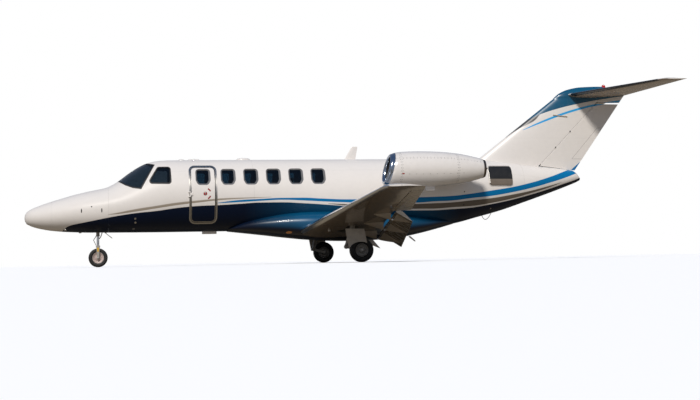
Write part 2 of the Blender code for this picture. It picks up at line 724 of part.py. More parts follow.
def glazing(name, outline, sign, start_side, mats):
    """A curved pane let into the wall, with a hairline of room round its edge."""
    depth = PANE_DEPTH / 2
    pane = cut(name, body_loft(FUSELAGE, CABIN_FRONT - 0.03, 3.6, -depth),
               body_loft(FUSELAGE, CABIN_FRONT - 0.035, 3.62, -depth - PANE_THICKNESS),
               material=mats["glass"])
    pane = common(name, pane, prism(shrunk(outline, SEAT_GAP), sign * start_side, sign * 1.2),
                  mats["glass"])
    return finish(pane, mats["glass"])


def make_cockpit_glass(mats):
    for sign, word in ((-1, "left"), (1, "right")):
        glazing(f"windshield_{word}", WINDSHIELD_OUTLINE, sign, CENTRE_POST_HALF + SEAT_GAP, mats)
        glazing(f"cockpit_window_{word}", rounded(SIDE_WINDOW_OUTLINE, SIDE_WINDOW_CORNER), sign, 0.3, mats)


def make_cabin_windows(mats):
    """Each side's panes, held by one clear strip along the inside of the wall."""
    for sign, word, front in ((-1, "left", 4.62), (1, "right", 4.02)):
        name = f"cabin_windows_{word}"
        stations = WINDOW_STATIONS if sign < 0 else (DOOR_WINDOW_STATION, *WINDOW_STATIONS)
        strip = cut(name, body_loft(FUSELAGE, 3.9, 7.4, -WALL - SEAT_GAP), body_loft(FUSELAGE, 3.8, 7.5,
                                                                                     -WALL - LINING))
        sides = sorted((sign * 0.3, sign * 1.2))
        strip = common(name, strip, block((front, sides[0], 0.20), (7.22, sides[1], 0.62)))
        for number, tool in enumerate(window_prisms(stations, sign, SEAT_GAP)):
            wall = cut(f"plug_{number}", body_loft(FUSELAGE, 3.9, 7.4, -PANE_DEPTH),
                       body_loft(FUSELAGE, 3.8, 7.5, -WALL - LINING / 2))
            strip = join(name, strip, common(f"plug_{number}", wall, tool))
        finish(strip, mats["glass"])


def door_bevel():
    """What the door's rear edge loses so that its inner corner swings out past the doorway."""
    hinge_s, hinge_side = DOOR_HINGE
    half, height = FUSELAGE[19][1], FUSELAGE[19][2]
    low, high, radius = DOOR_FOOT + DOOR_GAP, DOOR_HEAD - DOOR_GAP, DOOR_CORNER - DOOR_GAP
    rings = []
    for k in range(21):
        waterline = low - 0.004 + (high - low + 0.008) * (1 - cos(pi * k / 20)) / 2
        past = min(max(radius - min(waterline - low, high - waterline), 0.0), radius)
        edge = DOOR_REAR - DOOR_GAP - radius + sqrt(radius**2 - past**2) - hinge_s
        skin = hinge_side - half * sqrt(1 - (waterline / height) ** 2)
        reach = sqrt(edge**2 + skin**2)
        inner = skin + WALL * 2.2
        corners = ((edge, skin - 0.02), (sqrt(reach**2 - inner**2), inner), (edge + 0.1, inner),
                   (edge + 0.1, skin - 0.02))
        rings.append([at(hinge_s + along, deep - hinge_side, waterline) for along, deep in corners])
    return loft(rings)


def make_door(mats):
    """The passenger door: a piece of the whole wall, hinged at its front edge, with its own window."""
    slab = cut("cabin_door", body_loft(FUSELAGE, 3.7, 4.7), body_loft(FUSELAGE, 3.65, 4.75, -WALL))
    slab = common("cabin_door", slab, prism(door_outline(DOOR_GAP), -1.2, -0.2))
    slab = cut("cabin_door", slab, *window_prisms((DOOR_WINDOW_STATION,), -1), door_bevel())
    hinge_s, hinge_side = DOOR_HINGE
    foot, head = at(hinge_s, -hinge_side, -0.10), at(hinge_s, -hinge_side, 0.10)
    arm = block((hinge_s, -hinge_side - 0.006, -0.09), (DOOR_FRONT + 0.05, -hinge_side + 0.050, 0.09))
    slab = join("cabin_door", slab, arm, rod(foot, head, 0.010, 10))
    finish(slab, mats["white_paint"])
    shell = bpy.data.objects["cabin_shell"]
    lugs = []
    for low, high in ((-0.16, -0.10 - SEAT_GAP), (0.10 + SEAT_GAP, 0.16)):
        lug = join("lug", rod(at(hinge_s, -hinge_side, low), at(hinge_s, -hinge_side, high), 0.012, 10),
                   block((hinge_s - 0.05, -hinge_side - 0.004, low), (hinge_s - 0.002, -hinge_side + 0.062,
                                                                      high)))
        lugs.append(lug)
    notch = block((hinge_s - 0.012, -0.9, -0.098), (DOOR_FRONT + 0.01, -0.72, 0.098))
    finish(join("cabin_shell", cut("cabin_shell", shell, notch), *lugs), mats["white_paint"])
    pane = cut("door_window", body_loft(FUSELAGE, 3.7, 4.7, -PANE_DEPTH),
               body_loft(FUSELAGE, 3.65, 4.75, -PANE_DEPTH - PANE_THICKNESS))
    pane = common("door_window", pane, window_prisms((DOOR_WINDOW_STATION,), -1, SEAT_GAP)[0])
    finish(pane, mats["glass"])


def make_interior(mats):
    """Floor, instrument panel, and seats joined by their rails."""
    inside = body_loft(FUSELAGE, CABIN_FRONT + 0.06, CABIN_REAR, -WALL - SEAT_GAP)
    floor = common("cabin_floor", inside, block((2.3, -0.9, FLOOR_TOP - FLOOR_THICKNESS),
                                                (8.5, 0.9, FLOOR_TOP)))
    reach = block((DOOR_FRONT - 0.02, -0.9, -0.65), (DOOR_REAR + 0.02, -0.2, -0.5))
    relief = cut("door_relief", reach, body_loft(FUSELAGE, 3.7, 4.7, -WALL - FLOOR_CLEARANCE))
    finish(cut("cabin_floor", floor, relief), mats["trim"])
    inside = body_loft(FUSELAGE, CABIN_FRONT + 0.06, CABIN_REAR, -WALL - SEAT_GAP)
    outline = ((2.30, -0.30), (2.52, -0.30), (2.60, 0.10), (2.50, 0.17), (2.16, 0.17), (2.16, 0.05))
    finish(common("instrument_panel", inside, prism(outline, -0.9, 0.9)), mats["panel_black"])
    for name, sides, stations, facing in (
        ("cockpit_seats", (-0.33, 0.33), (3.10,), (1,)),
        ("cabin_seats_left", (-0.38,), (4.95, 6.05, 6.90), (-1, 1, 1)),
        ("cabin_seats_right", (0.38,), (4.95, 6.05, 6.90), (-1, 1, 1)),
    ):
        seats = None
        for side in sides:
            for station, face in zip(stations, facing):
                for part in seat_parts(station, side, face):
                    seats = part if seats is None else join(name, seats, part, material=mats["leather"])
        if len(stations) > 1:
            rail = block((stations[0] - 0.3, sides[0] - 0.06, FLOOR_TOP + SEAT_GAP),
                         (stations[-1] + 0.3, sides[0] + 0.06, FLOOR_TOP + 0.025))
        else:
            rail = block((stations[0] - 0.2, sides[0] - 0.05, FLOOR_TOP + SEAT_GAP),
                         (stations[0] + 0.2, sides[1] + 0.05, FLOOR_TOP + 0.025))
        finish(join(name, seats, rail, material=mats["leather"]), mats["leather"])


def seat_parts(station, side, face):
    """Base, cushion, back and headrest of one seat. face is 1 when its occupant looks forward."""
    half = 0.21
    def piece(front, rear, low, high, width):
        near, far = sorted((station + face * front, station + face * rear))
        return block((near, side - width, low), (far, side + width, high))
    back = prism([(station + face * s, w) for s, w in ((0.16, -0.25), (0.28, -0.25), (0.40, 0.28),
                                                       (0.30, 0.28))],
                 side - half, side + half)
    return [
        piece(-0.15, 0.18, FLOOR_TOP + 0.010, -0.27, 0.11),
        piece(-0.26, 0.24, -0.28, -0.15, half),
        back,
        piece(0.315, 0.405, 0.26, 0.42, 0.12),
    ]


def skin_side(station, waterline):
    """How far the starboard skin stands from the plane of symmetry."""
    k = max(i for i in range(len(FUSELAGE) - 1) if FUSELAGE[i][0] <= station)
    share = (station - FUSELAGE[k][0]) / (FUSELAGE[k + 1][0] - FUSELAGE[k][0])
    _, half, top, bottom, middle = [a + (b - a) * share for a, b in zip(FUSELAGE[k][:5],
                                                                        FUSELAGE[k + 1][:5])]
    reach = top - middle if waterline > middle else middle - bottom
    return half * sqrt(1 - ((waterline - middle) / reach) ** 2)


def paddle_hinge():
    """Ends of the hinge line along a paddle's front edge, as (side, waterline), and its outward normal."""
    foot, head = (Vector((skin_side(PADDLE_FRONT, w), w)) for w in (PADDLE_FOOT + 0.05, PADDLE_HEAD - 0.05))
    run = (head - foot).normalized()
    normal = Vector((run.y, -run.x))
    bulge = 0.0
    for k in range(9):
        waterline = foot.y + (head.y - foot.y) * k / 8
        bulge = max(bulge, (Vector((skin_side(PADDLE_FRONT, waterline), waterline)) - foot).dot(normal))
    shift = normal * (bulge + 0.016)
    return foot + shift, head + shift, normal


def paddle_lugs(sign, grow):
    """The tail cone's two lugs beside a paddle's hinge barrel, each with its neck into the skin."""
    foot, head, normal = paddle_hinge()
    run = (head - foot).normalized()
    lugs = []
    for start, end in ((foot - run * 0.022, foot), (head, head + run * 0.022)):
        middle = (start + end) / 2
        places = (start - run * grow, end + run * grow, middle, middle - normal * 0.075)
        here = [at(PADDLE_FRONT, sign * p.x, p.y) for p in places]
        lugs.append(join("lug", rod(here[0], here[1], 0.012 + grow, 12), rod(here[2], here[3],
                                                                             0.008 + grow, 9)))
    return lugs


def make_tail_cone(mats):
    """The tail cone, hollow behind the cabin, with the lugs that carry the paddles."""
    tail = body_loft(FUSELAGE, AFT_BULKHEAD + SEAT_GAP, 13.99)
    hollow = body_loft(FUSELAGE, AFT_BULKHEAD - 0.2, 13.0, -TAIL_WALL)
    tail = cut("tail_cone", tail, hollow, material=mats["white_paint"])
    for sign in (-1, 1):
        tail = join("tail_cone", tail, *paddle_lugs(sign, 0.0))
    finish(tail, mats["white_paint"])


def make_belly_fairing(mats):
    """The fairing under the cabin, cut by the fuselage that it wraps."""
    fairing = body_loft(BELLY_FAIRING, 4.85, 10.55)
    fairing = cut("belly_fairing", fairing, body_loft(FUSELAGE, 4.0, 11.5, SEAT_GAP),
                  material=mats["blue_paint"])
    finish(fairing, mats["blue_paint"])


# Wing

def make_wing(mats):
    """The starboard wing from the fairing to the tip, with its flap and aileron."""
    sign, word = 1, "right"
    white = mats["white_paint"]
    sides = [row[0] for row in WING]
    name = f"wing_{word}"
    wing = loft([wing_ring(s, sign) for s in sides])
    cove = loft([flap_cove_ring(s, sign) for s in (FLAP_INBOARD - 0.02, COVE_END)])
    wing = cut(name, wing, cove, material=white)

    inner, outer = AILERON_INBOARD, AILERON_OUTBOARD
    whole = loft([wing_ring(s, sign) for s in sides])
    mid = [mean_line(s, AILERON_HINGE_SHARE) for s in (inner, outer)]
    hinge = [aileron_hinge(s, sign) for s in (inner, outer)]
    thick = [half_thickness(AILERON_HINGE_SHARE, wing_frame(s)[4]) * wing_frame(s)[2] for s in (inner,
                                                                                                outer)]
    rear = [wing_point(s, 1.15, h, sign) for s, h in zip((inner, outer), mid)]
    corners = [hinge[0], hinge[1], rear[1], rear[0]]
    control_surface(f"aileron_{word}", whole, hinge, thick, corners, (0, 0, 1), white, (False, True))
    gap = CONTROL_GAP
    spread = [wing_point(inner - 0.03, AILERON_HINGE_SHARE, mid[0], sign),
              wing_point(outer + gap, AILERON_HINGE_SHARE, mid[1], sign),
              wing_point(outer + gap, 1.2, mid[1], sign), wing_point(inner - 0.03, 1.2, mid[0], sign)]
    wing = cut(name, wing, *control_cut(hinge, thick, spread, (0, 0, 1)))

    flap = new_object(f"flap_{word}", loft([flap_ring(s, sign) for s in (FLAP_INBOARD, FLAP_OUTBOARD)]),
                      white)
    for side in FLAP_FAIRING_SIDES:
        wing = join(name, wing, hinge_kite(side, sign, False), hinge_lug(side, sign, False))
        flap = join(f"flap_{word}", flap, hinge_kite(side, sign, True), hinge_lug(side, sign, True))
    hinge = [flap_hinge(s, sign) for s in (FLAP_INBOARD, FLAP_OUTBOARD)]
    direction = (hinge[1] - hinge[0]).normalized() * sign
    turn = Matrix.Translation(hinge[0]) @ Matrix.Rotation(radians(FLAP_REST_DEG), 4,
                                                          direction) @ Matrix.Translation(-hinge[0])
    flap.data.transform(turn)
    finish(flap, white)

    # The open well that takes the folded leg and wheel.
    wheel_well = rod(at(7.58, sign * 1.86, -1.5), at(7.58, sign * 1.86, -0.83), 0.31, 20)
    leg_well = block((7.36, min(sign * 1.9, sign * 2.72), -1.4), (7.66, max(sign * 1.9, sign * 2.72),
                                                                  LEG_WELL_ROOF))
    wing = join(name, cut(name, wing, join("well", wheel_well, leg_well)), jack_pad(at(*WING_JACK_PAD)))
    wing = cut(name, wing, body_loft(BELLY_FAIRING, 4.85, 10.55, SEAT_GAP), body_loft(FUSELAGE, 4.0, 11.5,
                                                                                      SEAT_GAP))
    finish(wing, white)


# Tail

def fin_ring(waterline):
    _, lead, trail, thickness = row_linear(FIN, waterline)
    chord = trail - lead
    return [at(lead + s * chord, h * chord, waterline) for s, h in aerofoil(thickness, 0.0)]


def rudder_hinge(waterline):
    foot, head = Vector(RUDDER_HINGE_FOOT), Vector(RUDDER_HINGE_HEAD)
    share = (waterline - foot.y) / (head.y - foot.y)
    return foot.x + (head.x - foot.x) * share


def fin_half_thickness(station, waterline):
    _, lead, trail, thickness = row_linear(FIN, waterline)
    return half_thickness((station - lead) / (trail - lead), thickness) * (trail - lead)


def make_fin(mats):
    """Fin and rudder. The rudder turns about the raked hinge line behind the fin's rear spar."""
    white = mats["white_paint"]
    top = TAILPLANE_WATERLINE + 0.03
    fin = loft([fin_ring(w) for w in (FIN[0][0], FIN[1][0], top)])
    whole = loft([fin_ring(w) for w in (FIN[0][0], FIN[1][0], top)])
    low, high = RUDDER_LOW, RUDDER_TOP
    hinge_stations = [rudder_hinge(w) for w in (low, high)]
    hinge = [at(s, 0, w) for s, w in zip(hinge_stations, (low, high))]
    along = (hinge[1] - hinge[0]).normalized()
    slope = abs(along.z)
    thick = [fin_half_thickness(s, w) * 0.96 for s, w in zip(hinge_stations, (low, high))]
    nudge = Vector((0.004, 0, 0))
    corners = [hinge[0] + nudge, hinge[1] + nudge, at(16.2, 0, high), at(16.2, 0, low)]
    slab = span_prism(corners, (0, 1, 0), 0.4)
    rudder = common("rudder", whole, slab, white)
    nose = hinge_cone(hinge, thick, -0.05, -0.05, -0.003, 14)
    rudder = join("rudder", rudder, nose)
    rudder = join("rudder", rudder, rod(hinge[1] - along * 0.06,
                                        hinge[1] + along * (FIN_TOP_GAP / slope - 0.003 - SEAT_GAP), 0.010,
                                        9))
    finish(rudder, white)

    gap_low, gap_high = low - 0.40, high + FIN_TOP_GAP
    spread = [at(rudder_hinge(w), 0, w) for w in (gap_low, gap_high)] + [at(16.4, 0, gap_high), at(16.4, 0,
                                                                                                   gap_low)]
    cone = hinge_cone(hinge, thick, 0.3, FIN_TOP_GAP / slope - 0.003, CONTROL_GAP, 20)
    fin = join("fin", fin, body_loft(FIN_CAP, 13.36, 15.27, count=16), material=white)
    fin = cut("fin", fin, cone, span_prism([spread[0] + nudge, spread[1] + nudge, *spread[2:]], (0, 1, 0),
                                           0.4))
    fin = cut("fin", fin, body_loft(FUSELAGE, 9.0, 13.99, SEAT_GAP))
    level = TAILPLANE_WATERLINE
    finish(cut("fin", fin, tailplane_loft(SEAT_GAP), block((13.0, -0.5, level), (15.9, 0.5, 3.0))), white)
    cap = common("fin_cap", body_loft(FIN_CAP, 13.36, 15.27, count=16),
                 block((13.0, -0.5, level + SEAT_GAP), (15.6, 0.5, 3.0)))
    cap = join("fin_cap", cap, dome(*BEACON))
    finish(cut("fin_cap", cap, tailplane_loft(SEAT_GAP)), mats["blue_paint"])


def tailplane_ring(side, grow=0.0):
    _, lead, trail, thickness = row_linear(TAILPLANE, abs(side))
    chord = trail - lead
    ring = []
    for share, height in aerofoil(thickness, 0.0):
        push = grow * (0 if abs(height) < 1e-9 else 1 if height > 0 else -1)
        ring.append(at(lead - grow + share * (chord + 2 * grow), side,
                       TAILPLANE_WATERLINE + height * chord + push))
    return ring


def tailplane_loft(grow=0.0):
    sides = [row[0] for row in TAILPLANE]
    both = [-s for s in reversed(sides)] + sides[1:]
    return loft([tailplane_ring(s, grow) for s in both])


def elevator_hinge(side, sign):
    _, lead, trail, _ = row_linear(TAILPLANE, side)
    return at(lead + ELEVATOR_HINGE_SHARE * (trail - lead), sign * side, TAILPLANE_WATERLINE)


def make_tailplane(mats):
    """The tailplane in one piece across the fin's top, with two elevators on swept hinge lines."""
    white = mats["white_paint"]
    plane = tailplane_loft()
    cutters = []
    for sign, word in ((-1, "left"), (1, "right")):
        hinge, rear, thick, wide, wide_rear = [], [], [], [], []
        for side, more in ((ELEVATOR_INBOARD, -CONTROL_GAP), (ELEVATOR_OUTBOARD, CONTROL_GAP)):
            for target, aft, s in ((hinge, rear, side), (wide, wide_rear, side + more)):
                _, lead, trail, share = row_linear(TAILPLANE, s)
                target.append(elevator_hinge(s, sign))
                aft.append(at(16.2, sign * s, TAILPLANE_WATERLINE))
                if target is hinge:
                    thick.append(half_thickness(ELEVATOR_HINGE_SHARE, share) * (trail - lead))
        corners = [hinge[0], hinge[1], rear[1], rear[0]]
        control_surface(f"elevator_{word}", tailplane_loft(), hinge, thick, corners, (0, 0, 1), white)
        spread = [wide[0], wide[1], wide_rear[1], wide_rear[0]]
        cutters.extend(control_cut(hinge, thick, spread, (0, 0, 1)))
    finish(cut("tailplane", plane, *cutters, material=white), white)


# Engines

def nacelle_centre(sign):
    return at(0, sign * NACELLE_SIDE, NACELLE_WATERLINE)


def nacelle_outer(sign, grow=0.0):
    profile = [(NACELLE_OUTER[0][0], 0.0)] + [(s, r + grow) for s,
                                              r in NACELLE_OUTER] + [(NACELLE_OUTER[-1][0], 0.0)]
    return revolve(profile, nacelle_centre(sign), (1, 0, 0), NACELLE_SEGMENTS)


def lean_lip(shape, sign):
    """Leans the inlet's rings back at the top, which leaves their radii as they are."""
    centre, first = nacelle_centre(sign), at(NACELLE_OUTER[0][0], 0, 0).x
    last = at(LIP_SLOPE_END, 0, 0).x
    for vert in shape.verts:
        fade = min(1.0, max(0.0, (last - vert.co.x) / (last - first)))
        vert.co.x += (vert.co.z - centre.z) * LIP_SLOPE * fade


def make_engine(mats):
    """Nacelle, fan, engine block and the pylon that carries them, on the starboard side."""
    sign, word = 1, "right"
    centre = nacelle_centre(sign)
    shell = revolve(NACELLE_OUTER + NACELLE_DUCT, centre, (1, 0, 0), NACELLE_SEGMENTS)
    lean_lip(shell, sign)
    new_object(f"nacelle_{word}", shell, mats["white_paint"])
    core = revolve(((CORE_FRONT, 0.0), *CORE_PROFILE, (11.112, 0.0)), centre, (1, 0, 0), NACELLE_SEGMENTS)
    new_object(f"engine_{word}", core, mats["dark_metal"])

    hub = revolve(((8.985, 0.0), (9.02, 0.045), (9.07, 0.075), (FAN_FRONT, FAN_HUB_RADIUS),
                   (CORE_FRONT - SEAT_GAP, FAN_HUB_RADIUS), (CORE_FRONT - SEAT_GAP, 0.0)), centre, (1, 0,
                                                                                                    0), 18)
    blades = []
    for k in range(FAN_BLADES):
        angle = 2 * pi * k / FAN_BLADES
        outward = Vector((0, cos(angle), sin(angle)))
        around = Vector((0, -sin(angle), cos(angle)))
        rings = []
        for radius, pitch, chord in FAN_BLADE:
            lean = Vector((cos(radians(pitch)), 0, 0)) + around * sin(radians(pitch))
            normal = lean.cross(outward).normalized()
            middle = centre + Vector((FAN_FRONT + 0.06, 0, 0)) + outward * radius
            rings.append([middle + lean * chord / 2 * a + normal * 0.006 * b
                          for a, b in ((-1, 0), (0, 1), (1, 0), (0, -1))])
        blades.append(loft(rings))
    finish(join(f"fan_{word}", hub, *blades, material=mats["bare_metal"]), mats["bare_metal"])

    half = PYLON_THICKNESS / 2
    outline = ((PYLON_FRONT, 0.0), (PYLON_FRONT + 0.10, half * 0.7), (PYLON_FRONT + 0.35, half),
               (PYLON_REAR - 0.5, half * 0.9), (PYLON_REAR, 0.006), (PYLON_REAR, -0.006),
               (PYLON_REAR - 0.5, -half * 0.9), (PYLON_FRONT + 0.35, -half), (PYLON_FRONT + 0.10,
                                                                              -half * 0.7))
    sides = sorted((sign * 0.55, sign * NACELLE_SIDE))
    pylon = prism([(s, w + PYLON_WATERLINE) for s, w in outline], *sides)
    pylon = cut(f"pylon_{word}", pylon, nacelle_outer(sign, SEAT_GAP), body_loft(FUSELAGE, 8.0, 12.5,
                                                                                 SEAT_GAP),
                material=mats["white_paint"])
    finish(pylon, mats["white_paint"])


def make_paddle(mats):
    """The starboard thrust attenuating paddle, hinged at its front edge on the tail cone behind the nozzle."""
    name = "paddle_right"
    plate = cut(name, body_loft(FUSELAGE, 11.2, 12.3, PADDLE_CLEARANCE + PADDLE_THICKNESS),
                body_loft(FUSELAGE, 11.1, 12.4, PADDLE_CLEARANCE))
    corners = ((PADDLE_FRONT, PADDLE_FOOT), (PADDLE_REAR, PADDLE_FOOT), (PADDLE_REAR, PADDLE_HEAD),
               (PADDLE_FRONT, PADDLE_HEAD))
    plate = common(name, plate, prism(rounded(corners, 0.06), 0.1, 1.2))
    plate = cut(name, plate, *paddle_lugs(1, 0.006))
    foot, head, _ = paddle_hinge()
    run = (head - foot).normalized() * SEAT_GAP
    barrel = rod(at(PADDLE_FRONT, *(foot + run)), at(PADDLE_FRONT, *(head - run)), 0.010, 12)
    finish(join(name, plate, barrel), mats["panel_black"])


# Landing gear

def tyre(name, centre, radius, rim, width, mats):
    half, depth = width / 2, radius - rim
    profile = (
        (-half * 0.76, rim), (-half, rim + depth * 0.48), (-half * 0.78, radius - depth * 0.10), (0,
                                                                                                  radius),
        (half * 0.78, radius - depth * 0.10), (half, rim + depth * 0.48), (half * 0.76, rim),
    )
    return new_object(name, revolve(profile, centre, (0, 1, 0), 24), mats["rubber"])


def hub(name, centre, rim, width, bore, dish, mats):
    """A wheel that fills its tyre's bore and turns on an axle through its own bore."""
    half = width / 2 * 0.74
    rim -= SEAT_GAP * 2
    profile = (
        (-half, bore), (-half + dish, rim - 0.024), (-half, rim - 0.008), (-half, rim),
        (half, rim), (half, rim - 0.008), (half - dish, rim - 0.024), (half, bore),
    )
    return new_object(name, revolve(profile, centre, (0, 1, 0), 24), mats["bare_metal"])


def make_nose_gear(mats):
    """Leg with its drag brace fixed, and a steered fork that carries the wheel."""
    station = NOSE_GEAR_STATION
    axle_w = NOSE_TYRE_RADIUS - AXIS_HEIGHT
    axle = at(station, 0, axle_w)
    gear = mats["gear_paint"]
    collar = axle_w + NOSE_TYRE_RADIUS + 0.065
    top = -0.62 - SEAT_GAP
    leg = new_object("nose_leg", rod(at(station, 0, collar + 0.002), at(station, 0, top), 0.042, 16), gear)
    brace = at(station + 0.011, 0, -1.02), at(station + 0.185, 0, -0.74)
    leg = join("nose_leg", leg, rod(*brace, 0.018, 9),
               block((station + 0.165, -0.0847, -0.765), (station + 0.205, 0.0847, -0.725)))
    finish(leg, gear)

    fork_half = NOSE_TYRE_WIDTH / 2 + 0.022
    crown = new_object("nose_fork",
                       rod(at(station, 0, collar + 0.0017), at(station, 0, collar - 0.045), 0.050, 16), gear)
    parts = [block((station - 0.045, -fork_half - 0.014, collar - 0.040),
                   (station + 0.045, fork_half + 0.014, collar - 0.012))]
    for sign in (-1, 1):
        sides = sorted((sign * (fork_half - 0.008), sign * (fork_half + 0.014)))
        arm = ((station - 0.040, collar - 0.03), (station + 0.040, collar - 0.03), (station + 0.026,
                                                                                    axle_w - 0.030),
               (station - 0.026, axle_w - 0.030))
        parts.append(prism(arm, *sides))
    parts.append(rod(at(station, -fork_half - 0.022, axle_w), at(station, fork_half + 0.022, axle_w),
                     0.0177, 14))
    finish(join("nose_fork", crown, *parts), gear)
    tyre("nose_tyre", axle, NOSE_TYRE_RADIUS, NOSE_RIM_RADIUS, NOSE_TYRE_WIDTH, mats)
    hub("nose_hub", axle, NOSE_RIM_RADIUS, NOSE_TYRE_WIDTH, 0.018, 0.008, mats)

    door = loft([[at(s, y, w) for s, w in ((station + 0.135, -0.850), (station + 0.150, -0.843),
                                           (station + 0.345, -1.000),
                                           (station + 0.330, -1.008))] for y in (-0.075, 0.075)])
    link = rod(at(station + 0.205, 0, -0.875), at(station + 0.117, 0, -0.850), 0.008, 8)
    door = cut("nose_gear_door", join("nose_gear_door", door, link, material=mats["white_paint"]),
               rod(*brace, 0.018 + SEAT_GAP, 9))
    finish(door, mats["white_paint"])


def make_main_gear(mats):
    """Starboard trailing-link gear: fixed leg, link at its loaded angle, wheel on its axle and door."""
    sign, word = 1, "right"
    gear = mats["gear_paint"]
    axle_w = MAIN_TYRE_RADIUS - AXIS_HEIGHT
    axle = at(MAIN_GEAR_STATION, sign * MAIN_GEAR_SIDE, axle_w)
    link_outer = MAIN_GEAR_SIDE - MAIN_TYRE_WIDTH / 2 - 0.018
    link_inner = link_outer - 0.040
    foot_side = link_inner - 0.075
    top_side = MAIN_GEAR_SIDE - 0.05
    pivot_s, pivot_w = MAIN_PIVOT
    top_s, top_w = MAIN_LEG_TOP
    roof = LEG_WELL_ROOF - SEAT_GAP
    name = f"main_leg_{word}"
    leg = join(name, rod(at(top_s, sign * top_side, top_w), at(pivot_s, sign * foot_side, pivot_w), 0.055,
                         16, 0.045),
               rod(at(top_s, sign * top_side, roof), at(top_s, sign * top_side, top_w - 0.03), 0.048, 15),
               rod(at(pivot_s, sign * (foot_side - 0.04), pivot_w), at(pivot_s,
                                                                       sign * (link_inner - SEAT_GAP),
                                                                       pivot_w), 0.050, 18),
               rod(at(DOOR_LINK[0], sign * (top_side - 0.06), DOOR_LINK[1]),
                   at(DOOR_LINK[0], sign * (MAIN_DOOR_SIDE - SEAT_GAP), DOOR_LINK[1]), 0.014, 9),
               rod(at(top_s - 0.03, sign * (top_side - 0.03), -0.99), at(top_s - 0.05, sign * 2.0, -0.88),
                   0.028, 11),
               material=gear)
    finish(leg, gear)

    pivot, end = Vector((pivot_s, pivot_w)), Vector((MAIN_GEAR_STATION, axle_w))
    flat = (end - pivot).normalized()
    across = Vector((-flat.y, flat.x))
    outline = [pivot - flat * 0.05 + across * 0.035, pivot - flat * 0.05 - across * 0.035,
               end + flat * 0.03 - across * 0.032, end + flat * 0.03 + across * 0.032]
    link = new_object(f"trailing_link_{word}", prism([(p.x, p.y) for p in outline], sign * link_inner,
                                                     sign * link_outer), gear)
    outer = MAIN_GEAR_SIDE + MAIN_TYRE_WIDTH / 2 * 0.74 + 0.015
    link = join(f"trailing_link_{word}", link,
                rod(at(MAIN_GEAR_STATION, sign * (link_inner + 0.01), axle_w), at(MAIN_GEAR_STATION,
                                                                                  sign * outer, axle_w),
                                                                                  0.0247, 16))
    finish(link, gear)
    tyre(f"main_tyre_{word}", axle, MAIN_TYRE_RADIUS, MAIN_RIM_RADIUS, MAIN_TYRE_WIDTH, mats)
    hub(f"main_hub_{word}", axle, MAIN_RIM_RADIUS, MAIN_TYRE_WIDTH, 0.025, 0.022, mats)

    corners = [(7.285, -0.925), (7.725, -0.935), (7.790, -1.265)]
    centre, radius = Vector((7.64, -1.575)), 0.345
    for degrees in (66, 82, 98, 114, 130):
        corners.append((centre.x + radius * cos(radians(degrees)),
                        centre.y + radius * sin(radians(degrees))))
    corners.append((7.365, -1.385))
    sides = sorted((sign * MAIN_DOOR_SIDE, sign * (MAIN_DOOR_SIDE + 0.016)))
    new_object(f"gear_door_{word}", prism(corners, *sides), mats["white_paint"])


def make_antenna(mats):
    """The tall communication blade on the cabin roof."""
    rings = []
    for waterline, front, rear, half in ANTENNA:
        outline = ((front, 0.0), (front + (rear - front) * 0.3, half), (rear, 0.002), (rear, -0.002),
                   (front + (rear - front) * 0.3, -half))
        rings.append([at(s, y, waterline) for s, y in outline])
    blade = cut("roof_antenna", loft(rings), body_loft(FUSELAGE, 7.0, 9.3, SEAT_GAP),
                material=mats["white_paint"])
    finish(blade, mats["white_paint"])


PAIRED = (
    "wing_right", "flap_right", "aileron_right", "nacelle_right", "engine_right", "fan_right", "pylon_right",
    "paddle_right", "main_leg_right", "trailing_link_right", "main_tyre_right", "main_hub_right", "gear_door_right",
)


def joint_points():
    """A point of each moving piece's joint axis."""
    points = {
        "cabin_door": at(DOOR_HINGE[0], -DOOR_HINGE[1], 0),
        "nose_fork": at(NOSE_GEAR_STATION, 0, NOSE_TYRE_RADIUS * 2 + 0.065 - AXIS_HEIGHT),
        "nose_tyre": at(NOSE_GEAR_STATION, 0, NOSE_TYRE_RADIUS - AXIS_HEIGHT),
        "rudder": at(rudder_hinge(RUDDER_LOW), 0, RUDDER_LOW),
    }
    points["door_window"] = points["cabin_door"]
    points["nose_hub"] = points["nose_tyre"]
    for sign, word in ((-1, "left"), (1, "right")):
        hinge_foot = paddle_hinge()[0]
        points[f"flap_{word}"] = flap_hinge(FLAP_INBOARD, sign)
        points[f"aileron_{word}"] = aileron_hinge(AILERON_INBOARD, sign)
        points[f"elevator_{word}"] = elevator_hinge(ELEVATOR_INBOARD, sign)
        points[f"fan_{word}"] = nacelle_centre(sign) + Vector((FAN_FRONT, 0, 0))
        points[f"paddle_{word}"] = at(PADDLE_FRONT, sign * hinge_foot.x, hinge_foot.y)
        for piece in ("tyre", "hub"):
            points[f"main_{piece}_{word}"] = at(MAIN_GEAR_STATION, sign * MAIN_GEAR_SIDE,
                                                MAIN_TYRE_RADIUS - AXIS_HEIGHT)
    return points


def set_origins():
    """Puts each moving piece's origin on its joint's axis, with the piece where it was."""
    for name, point in joint_points().items():
        piece = bpy.data.objects[name]
        piece.data.transform(Matrix.Translation(-point))
        piece.location = point


def main():
    for old in list(bpy.data.objects):
        bpy.data.objects.remove(old)
    mats = make_materials()
    make_nose(mats)
    make_cabin(mats)
    make_cockpit_glass(mats)
    make_cabin_windows(mats)
    make_door(mats)
    make_interior(mats)
    make_tail_cone(mats)
    make_belly_fairing(mats)
    make_wing(mats)
    make_engine(mats)
    make_paddle(mats)
    make_main_gear(mats)
    mirror_to_port(PAIRED)
    make_tailplane(mats)
    make_fin(mats)
    make_nose_gear(mats)
    make_antenna(mats)
    set_origins()


main()
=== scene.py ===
from math import atan2, cos, exp, pi, radians, sin, sqrt, tan

import bmesh
import bpy
from mathutils import Matrix, Vector


